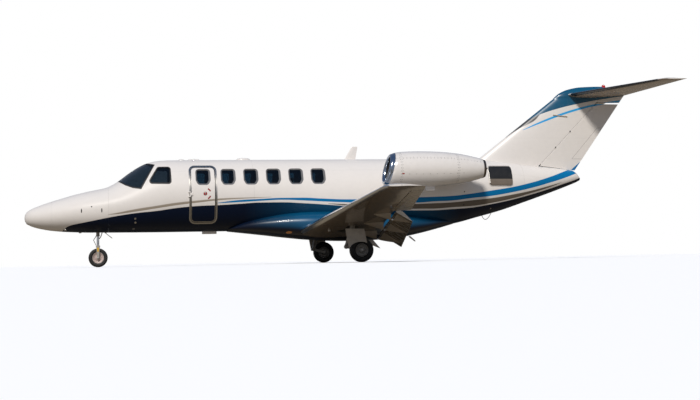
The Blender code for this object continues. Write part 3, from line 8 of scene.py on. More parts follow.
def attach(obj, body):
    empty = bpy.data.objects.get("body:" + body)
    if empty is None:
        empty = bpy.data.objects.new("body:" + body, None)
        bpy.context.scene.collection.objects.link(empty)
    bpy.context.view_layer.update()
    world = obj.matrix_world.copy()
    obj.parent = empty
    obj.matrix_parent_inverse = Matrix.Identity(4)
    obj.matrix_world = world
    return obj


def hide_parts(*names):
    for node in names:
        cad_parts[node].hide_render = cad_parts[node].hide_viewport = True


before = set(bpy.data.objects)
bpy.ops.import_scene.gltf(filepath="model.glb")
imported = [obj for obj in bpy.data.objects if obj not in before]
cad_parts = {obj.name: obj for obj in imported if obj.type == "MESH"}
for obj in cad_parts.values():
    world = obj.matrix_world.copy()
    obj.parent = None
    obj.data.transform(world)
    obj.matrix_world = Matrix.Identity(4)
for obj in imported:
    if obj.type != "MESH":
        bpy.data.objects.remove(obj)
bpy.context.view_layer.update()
print("frame loaded")

# places are (station aft of the nose tip, side to starboard, waterline above the cabin axis), in metres
airframe = {"length": 15.59, "axisHeight": 1.7, "seam": 0.0006, "engineSide": 1.4, "engineHeight": 2.225,
    "inletSlope": 0.24}
madePieces = []


def at(station, side, waterline):
    return Vector((station - airframe["length"] / 2, side, waterline + airframe["axisHeight"]))


def smoothRow(rows, key):
    # one row of a table at any key, on a smooth curve that never overshoots its rows
    count = len(rows)
    k = max([i for i in range(count - 1) if rows[i][0] <= key], default=0)
    before, after = rows[k], rows[k + 1]
    gap = after[0] - before[0]
    t = min(max((key - before[0]) / gap, 0.0), 1.0)

    def slope(i, column):
        if i == 0 or i == count - 1:
            j = min(i, count - 2)
            return (rows[j + 1][column] - rows[j][column]) / (rows[j + 1][0] - rows[j][0])
        low = (rows[i][column] - rows[i - 1][column]) / (rows[i][0] - rows[i - 1][0])
        high = (rows[i + 1][column] - rows[i][column]) / (rows[i + 1][0] - rows[i][0])
        return 0.0 if low * high <= 0 else 2 * low * high / (low + high)

    row = [key]
    for c in range(1, len(before)):
        m0, m1 = slope(k, c) * gap, slope(k + 1, c) * gap
        t2, t3 = t * t, t * t * t
        row.append((2 * t3 - 3 * t2 + 1) * before[c] + (t3 - 2 * t2 + t) * m0 + (3 * t2 - 2 * t3) * after[c]
            + (t3 - t2) * m1)
    return row


def spread(start, end, step):
    count = max(1, round((end - start) / step))
    return [start + (end - start) * k / count for k in range(count + 1)]


# mesh helpers

def cleaned(bm):
    bmesh.ops.remove_doubles(bm, verts=bm.verts, dist=1e-6)
    bmesh.ops.recalc_face_normals(bm, faces=bm.faces)
    return bm


def readMesh(mesh):
    bm = bmesh.new()
    bm.from_mesh(mesh)
    return bm


def loftRings(rings, capEnds=True):
    # a circle is extruded ring by ring, and each ring's points are set to their section
    bm = bmesh.new()
    order = bm.verts.layers.int.new("order")
    made = bmesh.ops.create_circle(bm, cap_ends=False, radius=1, segments=len(rings[0]))
    for k, vert in enumerate(made["verts"]):
        vert[order] = k
        vert.co = rings[0][k]
    edges = list(bm.edges)
    for n, ring in enumerate(rings):
        if n:
            grown = bmesh.ops.extrude_edge_only(bm, edges=edges)["geom"]
            for vert in (g for g in grown if isinstance(g, bmesh.types.BMVert)):
                vert.co = ring[vert[order]]
            edges = [g for g in grown if isinstance(g, bmesh.types.BMEdge)
                and all(v in grown for v in g.verts)]
            edges = [e for e in edges if e.is_boundary]
    if capEnds:
        bmesh.ops.holes_fill(bm, edges=[e for e in bm.edges if e.is_boundary], sides=0)
    return cleaned(bm)


def turned(profile, centre, axis, segments=64, closed=False):
    # a profile of (distance along the axis, radius) points spun round the axis through centre
    bm = bmesh.new()
    axis = Vector(axis).normalized()
    outward = axis.orthogonal().normalized()
    verts = [bm.verts.new(Vector(centre) + axis * d + outward * r) for d, r in profile]
    for a, b in zip(verts, verts[1:]):
        bm.edges.new((a, b))
    if closed:
        bm.edges.new((verts[-1], verts[0]))
    bmesh.ops.spin(bm, geom=list(bm.verts) + list(bm.edges), cent=centre, axis=axis, angle=2 * pi,
        steps=segments, use_merge=True, use_normal_flip=False)
    return cleaned(bm)


def rodShape(start, end, radius, segments=24, endRadius=None, bevel=0.0):
    bm = bmesh.new()
    run = Vector(end) - Vector(start)
    turn = run.to_track_quat("Z", "Y").to_matrix().to_4x4()
    place = Matrix.Translation((Vector(start) + Vector(end)) / 2) @ turn
    bmesh.ops.create_cone(bm, cap_ends=True, segments=segments, radius1=radius, radius2=radius
        if endRadius is None else endRadius, depth=run.length, matrix=place)
    if bevel:
        rims = [e for e in bm.edges if e.calc_face_angle(0) > 0.9]
        bmesh.ops.bevel(bm, geom=rims, offset=bevel, segments=2, profile=0.5, affect="EDGES", material=-1)
    return bm


def blockShape(low, high, bevel=0.0, segments=2):
    bm = bmesh.new()
    low, high = Vector(low), Vector(high)
    place = Matrix.Translation((low + high) / 2) @ Matrix.Diagonal((*(high - low), 1))
    bmesh.ops.create_cube(bm, size=1, matrix=place)
    if bevel:
        bmesh.ops.bevel(bm, geom=list(bm.edges), offset=bevel, segments=segments, profile=0.5, affect="EDGES",
            material=-1)
    return bm


def plateShape(outline, start, end, toPoint=None):
    # an outline of (station, waterline) points made a plate between two sides
    toPoint = toPoint or (lambda s, w, side: at(s, side, w))
    return loftRings([[toPoint(s, w, side) for s, w in outline] for side in (start, end)])


def tubeShape(points, radius, segments=12):
    # a round tube along a line of points, its rings square to the line
    points = [Vector(p) for p in points]
    rings = []
    side = None
    for k, p in enumerate(points):
        run = (points[min(k + 1, len(points) - 1)] - points[max(k - 1, 0)]).normalized()
        side = (side - run * side.dot(run)).normalized() if side else run.orthogonal().normalized()
        up = run.cross(side)
        size = radius[k] if isinstance(radius, (list, tuple)) else radius
        rings.append([p + (side * cos(2 * pi * i / segments) + up * sin(2 * pi * i / segments)) * size for i
            in range(segments)])
    return loftRings(rings)


def addShape(target, extra):
    # puts one closed shape's mesh into another bmesh, as loose parts of one piece
    mesh = bpy.data.meshes.new("joining")
    extra.to_mesh(mesh)
    extra.free()
    target.from_mesh(mesh)
    bpy.data.meshes.remove(mesh)
    return target


def flatten(shapes):
    first = shapes[0]
    for extra in shapes[1:]:
        addShape(first, extra)
    return first


def sharpen(bm, degrees):
    for face in bm.faces:
        face.smooth = True
    for edge in bm.edges:
        edge.smooth = edge.calc_face_angle(0) < radians(degrees)


def newObject(name, bm, materials=()):
    mesh = bpy.data.meshes.new(name)
    bm.to_mesh(mesh)
    bm.free()
    made = bpy.data.objects.new(name, mesh)
    for material in materials:
        mesh.materials.append(material)
    bpy.context.scene.collection.objects.link(made)
    return made


def applyModifiers(piece):
    bpy.context.view_layer.update()
    graph = bpy.context.evaluated_depsgraph_get()
    mesh = bpy.data.meshes.new_from_object(piece.evaluated_get(graph), depsgraph=graph)
    piece.modifiers.clear()
    old = piece.data
    piece.data = mesh
    bpy.data.meshes.remove(old)


def carve(piece, shapes, operation="DIFFERENCE", material=None):
    # one exact Boolean for each shape; cut faces take the material given
    for n, shape in enumerate(shapes):
        tool = newObject(f"tool{n}", shape, [material] if material else [])
        boolean = piece.modifiers.new("boolean", "BOOLEAN")
        boolean.operation, boolean.solver, boolean.object = operation, "EXACT", tool
        boolean.material_mode = "TRANSFER" if material else "INDEX"
        applyModifiers(piece)
        bpy.data.objects.remove(tool)
    return piece


def readPiece(piece, bm):
    bm.to_mesh(piece.data)
    bm.free()
    piece.data.update()


def settle(piece, body, slot, *nodes, degrees=32.0):
    # the last steps of every piece: clean mesh, outward faces, smooth shading, and its place in the frame
    bm = readMesh(piece.data)
    bmesh.ops.remove_doubles(bm, verts=bm.verts, dist=2e-6)
    bmesh.ops.dissolve_degenerate(bm, edges=bm.edges, dist=1e-7)
    bmesh.ops.recalc_face_normals(bm, faces=bm.faces)
    sharpen(bm, degrees)
    readPiece(piece, bm)
    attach(piece, body)
    if nodes:
        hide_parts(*nodes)
    madePieces.append(piece.name)
    return piece


def makePiece(name, bm, materials, body, slot, *nodes, degrees=32.0):
    materials = materials if isinstance(materials, (list, tuple)) else [materials]
    return settle(newObject(name, bm, materials), body, slot, *nodes, degrees=degrees)


def dressNode(node, body, slot, material, bevel=0.0025, degrees=30.0, name=None):
    # a merged copy of a CAD node with softened edges
    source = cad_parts[node]
    bm = readMesh(source.data)
    bmesh.ops.remove_doubles(bm, verts=bm.verts, dist=1e-5)
    bmesh.ops.dissolve_limit(bm, angle_limit=radians(0.5), verts=bm.verts, edges=bm.edges)
    bmesh.ops.recalc_face_normals(bm, faces=bm.faces)
    if bevel:
        rims = [e for e in bm.edges if e.calc_face_angle(0) > radians(45)]
        bmesh.ops.bevel(bm, geom=rims, offset=bevel, segments=2, profile=0.5, affect="EDGES",
            clamp_overlap=True, material=-1)
    piece = newObject(name or node + "Skin", bm, [material])
    return settle(piece, body, slot, node, degrees=degrees)


# material helpers

def newMaterial(name):
    material = bpy.data.materials.new(name)
    material.use_nodes = True
    return material


def link(tree, a, b):
    tree.links.new(a, b)


def feed(tree, socket, value):
    # a number, a colour or vector, or another node's output
    if isinstance(value, (int, float)):
        socket.default_value = value
    elif isinstance(value, (tuple, list)):
        socket.default_value = (*value[:3], 1) if len(socket.default_value) == 4 else value
    else:
        link(tree, value, socket)


def mathNode(tree, operation, a, b=None, c=None, clamp=False):
    node = tree.nodes.new("ShaderNodeMath")
    node.operation, node.use_clamp = operation, clamp
    for socket, value in zip(node.inputs, (a, b, c)):
        if value is not None:
            feed(tree, socket, value)
    return node.outputs[0]


def times(tree, a, b):
    return mathNode(tree, "MULTIPLY", a, b)


def ramp(tree, value, slope, start):
    return mathNode(tree, "MULTIPLY_ADD", value, slope, start, clamp=True)


def minus(tree, a, b, clamp=False):
    return mathNode(tree, "SUBTRACT", a, b, clamp=clamp)


def mixColour(tree, factor, a, b):
    node = tree.nodes.new("ShaderNodeMix")
    node.data_type = "RGBA"
    for socket, value in ((node.inputs["Factor"], factor), (node.inputs[6], a), (node.inputs[7], b)):
        feed(tree, socket, value)
    return node.outputs[2]


def groupTree(name, inputs, outputs):
    tree = bpy.data.node_groups.new(name, "ShaderNodeTree")
    for label, kind, value in inputs:
        socket = tree.interface.new_socket(name=label, in_out="INPUT", socket_type=kind)
        socket.default_value = value
    for label, kind in outputs:
        tree.interface.new_socket(name=label, in_out="OUTPUT", socket_type=kind)
    return tree, tree.nodes.new("NodeGroupInput"), tree.nodes.new("NodeGroupOutput")


def useGroup(tree, group, **values):
    node = tree.nodes.new("ShaderNodeGroup")
    node.node_tree = group
    for label, value in values.items():
        feed(tree, node.inputs[label], value)
    return node.outputs


def objectCoords(tree):
    coords = tree.nodes.new("ShaderNodeTexCoord").outputs["Object"]
    split = tree.nodes.new("ShaderNodeSeparateXYZ")
    link(tree, coords, split.inputs[0])
    return coords, split.outputs


def faceNormal(tree, kind="True Normal"):
    geometry, normal = tree.nodes.new("ShaderNodeNewGeometry"), tree.nodes.new("ShaderNodeSeparateXYZ")
    link(tree, geometry.outputs[kind], normal.inputs[0])
    return normal.outputs


def stationOf(tree, xyz):
    return mathNode(tree, "ADD", xyz["X"], airframe["length"] / 2)


def heightOf(tree, xyz):
    return minus(tree, xyz["Z"], airframe["axisHeight"])


def bumpNormal(tree, height, distance):
    bump = tree.nodes.new("ShaderNodeBump")
    bump.inputs["Strength"].default_value = 1.0
    bump.inputs["Distance"].default_value = distance
    link(tree, height, bump.inputs["Height"])
    return bump.outputs[0]


def surfaceGroup():
    # uneven tone, fine grain and settled dirt, from noise at three sizes
    tree, start, end = groupTree("surfaceWear", (("Coords", "NodeSocketVector", (0, 0, 0)),
        ("Grain", "NodeSocketFloat", 300.0), ("Dirt", "NodeSocketFloat", 0.3),
        ("Stretch", "NodeSocketVector", (1, 1, 1))), (("Tone", "NodeSocketFloat"),
        ("Grime", "NodeSocketFloat"), ("Height", "NodeSocketFloat")))
    stretched = tree.nodes.new("ShaderNodeVectorMath")
    stretched.operation = "MULTIPLY"
    link(tree, start.outputs["Coords"], stretched.inputs[0])
    link(tree, start.outputs["Stretch"], stretched.inputs[1])
    results = []
    for scale, detail in ((1.7, 3), (9.0, 5), (1.0, 2)):
        noise = tree.nodes.new("ShaderNodeTexNoise")
        noise.inputs["Scale"].default_value = scale
        noise.inputs["Detail"].default_value = detail
        link(tree, stretched.outputs[0] if scale > 1 else start.outputs["Coords"], noise.inputs["Vector"])
        if scale == 1.0:
            link(tree, start.outputs["Grain"], noise.inputs["Scale"])
        results.append(noise.outputs["Fac"])
    link(tree, results[0], end.inputs["Tone"])
    grime = ramp(tree, results[1], 2.6, -1.15)
    grime = times(tree, grime, start.outputs["Dirt"])
    link(tree, grime, end.inputs["Grime"])
    link(tree, results[2], end.inputs["Height"])
    return tree


def seamGroup():
    # a line wherever one coordinate meets an even spacing, and rivet dots along both of its sides
    tree, start, end = groupTree("seamAndRivets", (("Across", "NodeSocketFloat", 0.0),
        ("Along", "NodeSocketFloat", 0.0), ("Offset", "NodeSocketFloat", 0.0),
        ("Spacing", "NodeSocketFloat", 0.6), ("Width", "NodeSocketFloat", 0.002),
        ("Pitch", "NodeSocketFloat", 0.03), ("Dot", "NodeSocketFloat", 0.0035),
        ("Inset", "NodeSocketFloat", 0.014)), (("Line", "NodeSocketFloat"), ("Dots", "NodeSocketFloat")))
    g = start.outputs
    moved = minus(tree, g["Across"], g["Offset"])
    turns = mathNode(tree, "DIVIDE", moved, g["Spacing"])
    nearest = mathNode(tree, "ROUND", turns)
    apart = times(tree, minus(tree, turns, nearest), g["Spacing"])
    apart = mathNode(tree, "ABSOLUTE", apart)
    link(tree, mathNode(tree, "LESS_THAN", apart, g["Width"]), end.inputs["Line"])
    row = minus(tree, apart, g["Inset"])
    steps = mathNode(tree, "DIVIDE", g["Along"], g["Pitch"])
    step = minus(tree, steps, mathNode(tree, "ROUND", steps))
    step = times(tree, step, g["Pitch"])
    far = mathNode(tree, "ADD", times(tree, row, row), times(tree, step, step))
    size = times(tree, g["Dot"], g["Dot"])
    link(tree, mathNode(tree, "LESS_THAN", far, size), end.inputs["Dots"])
    return tree


wearGroup, rivetGroup = surfaceGroup(), seamGroup()
door = {"handle": (4.262, 0.01), "arcRadius": 0.134, "cupRadius": 0.046, "frameWidth": 0.036,
    "sillWidth": 0.012}


def finishMaterial(name, base, roughness, metallic=0.0, coat=0.0, grain=250.0, dirt=0.25, dirtColour=None,
        bump=0.0003, stretch=(1, 1, 1), toneSpread=0.06, specular=0.5, paint=None,
        metalColour=(0.74, 0.76, 0.8), metalRough=0.12):
    # the common surface: a base colour, uneven tone, grime, fine bump; paint(tree, xyz) may draw on it
    material = newMaterial(name)
    tree = material.node_tree
    shader = tree.nodes["Principled BSDF"]
    shader.inputs["Metallic"].default_value = metallic
    shader.inputs["Coat Weight"].default_value = coat
    shader.inputs["Coat Roughness"].default_value = 0.04
    shader.inputs["Specular IOR Level"].default_value = specular
    vector, xyz = objectCoords(tree)
    wear = useGroup(tree, wearGroup, Coords=vector, Grain=grain, Dirt=dirt, Stretch=stretch)
    colour, lines, metal = base, None, None
    if paint:
        colour, lines, metal = paint(tree, xyz)
    tone = mathNode(tree, "MULTIPLY_ADD", wear["Tone"], toneSpread * 2, 1 - toneSpread)
    shade = tree.nodes.new("ShaderNodeVectorMath")
    shade.operation = "SCALE"
    feed(tree, shade.inputs[0], colour)
    link(tree, tone, shade.inputs["Scale"])
    darker = dirtColour
    if darker is None:
        stain = tree.nodes.new("ShaderNodeVectorMath")
        stain.operation = "SCALE"
        link(tree, shade.outputs[0], stain.inputs[0])
        stain.inputs["Scale"].default_value = 0.45
        darker = stain.outputs[0]
    mixed = mixColour(tree, wear["Grime"], shade.outputs[0], darker)
    if lines is not None:
        mixed = mixColour(tree, lines, mixed, (0.03, 0.028, 0.025))
    rough = ramp(tree, wear["Grime"], 0.35, roughness)
    if metal is not None:
        mixed = mixColour(tree, metal, mixed, metalColour)
        rough = ramp(tree, metal, metalRough - roughness, rough)
        link(tree, metal, shader.inputs["Metallic"])
    link(tree, mixed, shader.inputs["Base Color"])
    link(tree, rough, shader.inputs["Roughness"])
    height = wear["Height"]
    if lines is not None:
        height = minus(tree, times(tree, height, 0.25), lines)
    link(tree, bumpNormal(tree, height, bump), shader.inputs["Normal"])
    return material


def anyOf(tree, masks):
    joined = masks[0]
    for mask in masks[1:]:
        joined = mathNode(tree, "MAXIMUM", joined, mask)
    return joined


# the stripes on the fuselage: each line is the height of a colour's edge, as (station, waterline)
stripeLines = {
    "navyTop": ((0.8, -0.9), (0.89, -0.82), (1.07, -0.7), (1.42, -0.63), (1.77, -0.565), (2.13, -0.5),
        (2.63, -0.43), (3.11, -0.385), (3.6, -0.32), (4.1, -0.28), (4.6, -0.265), (5.09, -0.24),
        (5.59, -0.215), (6.09, -0.215), (6.59, -0.24), (7.09, -0.275), (8.5, -0.39), (9.5, -0.45),
        (9.89, -0.45), (10.4, -0.425), (10.94, -0.39), (11.45, -0.31), (11.98, -0.21), (12.53, -0.08),
        (13.07, 0.07), (13.48, 0.2), (13.8, 0.3), (13.99, 0.375)),
    "blueTop": ((4.5, -0.215), (5.09, -0.15), (5.59, -0.13), (6.09, -0.11), (6.59, -0.11), (7.09, -0.135),
        (7.6, -0.16), (8.6, -0.165), (9.5, -0.13), (9.88, -0.12), (10.39, -0.1), (10.91, -0.045),
        (11.44, 0.03), (11.98, 0.11), (12.51, 0.22), (13.06, 0.37), (13.48, 0.51), (13.99, 0.68)),
    "blueFoot": ((4.5, -0.225), (5.09, -0.2), (5.59, -0.175), (6.09, -0.155), (6.59, -0.175), (7.09, -0.205),
        (7.6, -0.23), (8.6, -0.262), (9.5, -0.26), (9.88, -0.235), (10.39, -0.215), (10.91, -0.155),
        (11.44, -0.105), (11.98, -0.02), (12.51, 0.085), (13.06, 0.225), (13.48, 0.345), (13.99, 0.52)),
    "pewterTop": ((7.2, -0.255), (8.3, -0.29), (9.49, -0.29), (9.88, -0.28), (10.4, -0.26), (10.93, -0.21),
        (11.45, -0.16), (11.98, -0.08), (12.52, 0.02), (13.07, 0.15), (13.45, 0.25)),
    "pewterFoot": ((7.2, -0.26), (8.3, -0.37), (9.49, -0.41), (9.88, -0.41), (10.4, -0.38), (10.93, -0.35),
        (11.45, -0.28), (11.98, -0.18), (12.52, -0.045), (13.07, 0.11), (13.45, 0.245)),
    "tanTop": ((1.95, -0.46), (2.12, -0.43), (2.63, -0.335), (3.11, -0.265), (3.6, -0.195), (4.1, -0.15),
        (4.6, -0.11), (5.1, -0.095), (5.9, -0.085)),
    "tanFoot": ((1.95, -0.462), (2.12, -0.455), (2.63, -0.395), (3.11, -0.325), (3.6, -0.255), (4.1, -0.2),
        (4.6, -0.15), (5.1, -0.122), (5.9, -0.09)),
}
# the lighter blue used over the wing and on the belly is painted light on navy paint; the three under-side
# browns, the duct's near black and the paddles' lower brown are painted shade
paintColours = {"white": (0.8, 0.765, 0.735), "navy": (0.0015, 0.006, 0.022),
    "sunlitNavy": (0.0006, 0.074, 0.168), "stripeBlue": (0.001, 0.17, 0.42), "pewter": (0.15, 0.125, 0.098),
    "tan": (0.34, 0.29, 0.235), "finBlue": (0.001, 0.085, 0.175), "lightBlue": (0.022, 0.38, 0.8),
    "markRed": (0.26, 0.008, 0.01), "cowlRed": (0.33, 0.012, 0.012), "wingUnderShade": (0.2, 0.15, 0.098),
    "flapUnderShade": (0.265, 0.215, 0.155), "planeUnderShade": (0.42, 0.33, 0.25), "boot": (0.01, 0.01, 0.011),
    "finEdge": (0.045, 0.048, 0.055), "duct": (0.02, 0.02, 0.022), "soot": (0.009, 0.009, 0.01),
    "heatedEdgeAndPaddleShade": (0.17, 0.14, 0.11)}


def lineHeight(tree, position, points, span, base, rise):
    # a curve node that turns a position along the body into the height of a painted line
    moved = mathNode(tree, "MULTIPLY_ADD", position, 1 / (span[1] - span[0]), -span[0] / (span[1] - span[0]))
    node = tree.nodes.new("ShaderNodeFloatCurve")
    link(tree, moved, node.inputs["Value"])
    curve = node.mapping.curves[0]
    spots = [((s - span[0]) / (span[1] - span[0]), (w - base) / rise) for s, w in points]
    curve.points[0].location, curve.points[1].location = spots[0], spots[-1]
    for spot in spots[1:-1]:
        curve.points.new(*spot)
    for point in curve.points:
        point.handle_type = "AUTO_CLAMPED"
    node.mapping.extend = "HORIZONTAL"
    node.mapping.update()
    return mathNode(tree, "MULTIPLY_ADD", node.outputs[0], rise, base)


def under(tree, height, line, soft=0.004):
    # 1 where the surface is lower than the line
    return ramp(tree, minus(tree, line, height), 1 / soft, 0.5)


def within(tree, value, low, high, soft=0.004):
    above = ramp(tree, minus(tree, value, low), 1 / soft, 0.5)
    below = ramp(tree, minus(tree, high, value), 1 / soft, 0.5)
    return times(tree, above, below)


def fuselageStripes():
    # the whole colour scheme of the body, worked out from station and waterline
    tree, start, end = groupTree("fuselageStripes", (("Coords", "NodeSocketVector", (0, 0, 0)),),
        (("Color", "NodeSocketColor"), ("Dark", "NodeSocketFloat")))
    split = tree.nodes.new("ShaderNodeSeparateXYZ")
    link(tree, start.outputs[0], split.inputs[0])
    station = mathNode(tree, "ADD", split.outputs["X"], airframe["length"] / 2)
    height = minus(tree, split.outputs["Z"], airframe["axisHeight"])
    span, base, rise = (0.0, 16.0), -1.2, 2.4
    line = {name: lineHeight(tree, station, points, span, base, rise) for name, points in stripeLines.items()}
    colour = paintColours["white"]

    def band(top, foot, first, last, tint, soft=0.004):
        nonlocal colour
        inside = minus(tree, under(tree, height, line[top], soft), under(tree, height, line[foot]),
            clamp=True)
        inside = times(tree, inside, within(tree, station, first, last, 0.02))
        colour = mixColour(tree, inside, colour, tint)

    band("tanTop", "tanFoot", 1.96, 5.85, paintColours["tan"], 0.02)
    band("blueTop", "blueFoot", 4.55, 14.2, paintColours["stripeBlue"])
    band("pewterTop", "pewterFoot", 7.25, 13.42, paintColours["pewter"])
    low = times(tree, under(tree, height, line["navyTop"]), mathNode(tree, "GREATER_THAN", station, 0.8))
    # painted light: over the wing the navy flank is painted a lighter blue, as it looks where it catches the
    # light
    lit = times(tree, ramp(tree, station, 0.5, -2.6), ramp(tree, station, -0.9, 9.6))
    dark = mixColour(tree, times(tree, lit, 0.7), paintColours["navy"], paintColours["sunlitNavy"])
    colour = mixColour(tree, low, colour, dark)
    link(tree, colour, end.inputs["Color"])
    link(tree, low, end.inputs["Dark"])
    return tree


stripeGroup = fuselageStripes()


# of each set of seams: the first one's place, their spacing, half width, the rivets' pitch, size and distance
# from the seam, and how dark the lines and the rivets are
seamSets = {"frames": (-5.815, 3.46, 0.0016, 0.034, 0.003, 0.012, 0.3, 0.22),
    "belt": (0.34, 1.7, 0.001, 0.034, 0.0026, 0.012, 0.3, 0.22),
    "wingRibs": (0.35, 0.62, 0.0012, 0.03, 0.003, 0.011, 0.35, 0.3),
    "wingSpars": (-0.62, 0.58, 0.0015, 0.03, 0.003, 0.011, 0.5, 0.3),
    "flapRibs": (0.2, 0.46, 0.001, 0.026, 0.0026, 0.01, 0.25, 0.25),
    "planeRibs": (0.3, 0.52, 0.001, 0.028, 0.0026, 0.01, 0.3, 0.25),
    "finRibs": (0.28, 0.94, 0.0012, 0.03, 0.003, 0.011, 0.12, 0.12),
    "bellyPanels": (-0.88, 1.15, 0.0014, 0.05, 0.003, 0.012, 0.4, 0.4),
    "cowlRings": (8.877, 1.413, 0.0018, 0.075, 0.008, 0.022, 0.45, 0.85),
    "cowlSplit": (0.26, 1.319, 0.0016, 0.085, 0.007, 0.016, 0.35, 0.75)}
paintShapes = {"girthRadius": 0.85, "cowlRadius": 0.42, "arcHalf": 0.016, "arcAngles": (24, 62),
    "heatedWidth": 0.085, "wingLead": (0.0727, 6.469), "planeLead": (0.41, 13.7), "bootWidth": 0.105,
    "bootSpan": (0.17, 2.96), "edgeSpan": (12.04, 12.95), "stripeSpan": (12.49, 15.6),
    "cornerSlant": (1.26, 13.05), "cornerTop": 0.83, "tabSlant": (0.896, 13.034), "tabSpan": (0.862, 1.67),
    "lipEnd": 8.685, "ductStart": 8.64, "redMark": (8.875, 8.935, 0.375, 0.405), "sootFoot": 0.325}


def seamMarks(tree, name, across, along):
    offset, spacing, width, pitch, dot, inset, lineShare, dotShare = seamSets[name]
    seams = useGroup(tree, rivetGroup, Across=across, Along=along, Offset=offset, Spacing=spacing,
        Width=width, Pitch=pitch, Dot=dot, Inset=inset)
    return [times(tree, seams["Line"], lineShare), times(tree, seams["Dots"], dotShare)]


def whiteWithShadedUnderside(tree, undersideShade):
    # white paint, with a painted shade in another colour on the faces that look down
    down = ramp(tree, faceNormal(tree)["Z"], -12.0, -0.4)
    return mixColour(tree, down, paintColours["white"], undersideShade)


def fuselagePaint(tree, xyz):
    # stripes, lap seams at the frames with their rivets, and the two long seams of the barrel
    stripes = useGroup(tree, stripeGroup, Coords=objectCoords(tree)[0])
    girth = times(tree, mathNode(tree, "ARCTAN2", heightOf(tree, xyz), xyz["Y"]), paintShapes["girthRadius"])
    marks = seamMarks(tree, "frames", xyz["X"], girth) + seamMarks(tree, "belt", girth, xyz["X"])
    return stripes["Color"], anyOf(tree, marks), None


def doorPaint(tree, xyz):
    # the stripes run on over the door, and two red arcs show which way its handle turns
    stripes = useGroup(tree, stripeGroup, Coords=objectCoords(tree)[0])
    along = minus(tree, stationOf(tree, xyz), door["handle"][0])
    up = minus(tree, heightOf(tree, xyz), door["handle"][1])
    reach = mathNode(tree, "SQRT", mathNode(tree, "ADD", times(tree, along, along), times(tree, up, up)))
    angle = mathNode(tree, "ABSOLUTE", mathNode(tree, "ARCTAN2", up, along))
    radius, half = door["arcRadius"], paintShapes["arcHalf"]
    low, high = (radians(degrees) for degrees in paintShapes["arcAngles"])
    arc = times(tree, within(tree, reach, radius - half, radius + half, 0.003),
        within(tree, angle, low, high, 0.02))
    arc = times(tree, arc, mathNode(tree, "LESS_THAN", xyz["Y"], -0.6))
    return mixColour(tree, arc, stripes["Color"], paintColours["markRed"]), None, None


def wingPaint(tree, xyz):
    # upper side white, under side a grey-brown painted shade, with ribs, spars and a bright leading edge
    out = mathNode(tree, "ABSOLUTE", xyz["Y"])
    swept = mathNode(tree, "MULTIPLY_ADD", out, 0.045, xyz["X"])
    marks = seamMarks(tree, "wingRibs", xyz["Y"], xyz["X"]) + seamMarks(tree, "wingSpars", swept, xyz["Y"])
    lead = mathNode(tree, "MULTIPLY_ADD", out, *paintShapes["wingLead"])
    back = minus(tree, stationOf(tree, xyz), lead)
    heatedEdgeAndPaddleShade = mathNode(tree, "LESS_THAN", back, paintShapes["heatedWidth"])
    return whiteWithShadedUnderside(tree, paintColours["wingUnderShade"]), anyOf(tree, marks), heatedEdgeAndPaddleShade


def flapPaint(tree, xyz):
    # white above, with a painted shade on the faces that look down
    marks = seamMarks(tree, "flapRibs", xyz["Y"], xyz["X"])
    return whiteWithShadedUnderside(tree, paintColours["flapUnderShade"]), anyOf(tree, marks), None


def tailplanePaint(tree, xyz):
    # black rubber boots along the leading edge, white tips, and a painted shade on the under side
    colour = whiteWithShadedUnderside(tree, paintColours["planeUnderShade"])
    out = mathNode(tree, "ABSOLUTE", xyz["Y"])
    lead = mathNode(tree, "MULTIPLY_ADD", out, *paintShapes["planeLead"])
    back = minus(tree, stationOf(tree, xyz), lead)
    width = paintShapes["bootWidth"]
    boot = times(tree, mathNode(tree, "LESS_THAN", back, width), within(tree, out, *paintShapes["bootSpan"]))
    colour = mixColour(tree, boot, colour, paintColours["boot"])
    rim = within(tree, back, width - 0.002, width + 0.002, 0.001)
    marks = seamMarks(tree, "planeRibs", out, xyz["X"]) + [times(tree, rim, 0.6)]
    return colour, anyOf(tree, marks), None


finLines = {
    "blueFoot": ((12.3, 1.715), (12.616, 1.865), (12.927, 2.001), (13.358, 2.141), (13.962, 2.285),
        (14.91, 2.454), (15.4, 2.52)),
    "lineTop": ((12.48, 1.612), (12.921, 1.811), (13.5, 2.03), (14.088, 2.205), (14.475, 2.29), (15.4, 2.43)),
    "lineFoot": ((12.48, 1.6), (12.921, 1.766), (13.5, 1.973), (14.088, 2.148), (14.475, 2.238),
        (15.4, 2.38)),
    "edgeFoot": ((11.95, 1.36), (12.05, 1.43), (12.36, 1.625), (12.6, 1.745), (12.8, 1.85), (12.95, 2.0)),
}


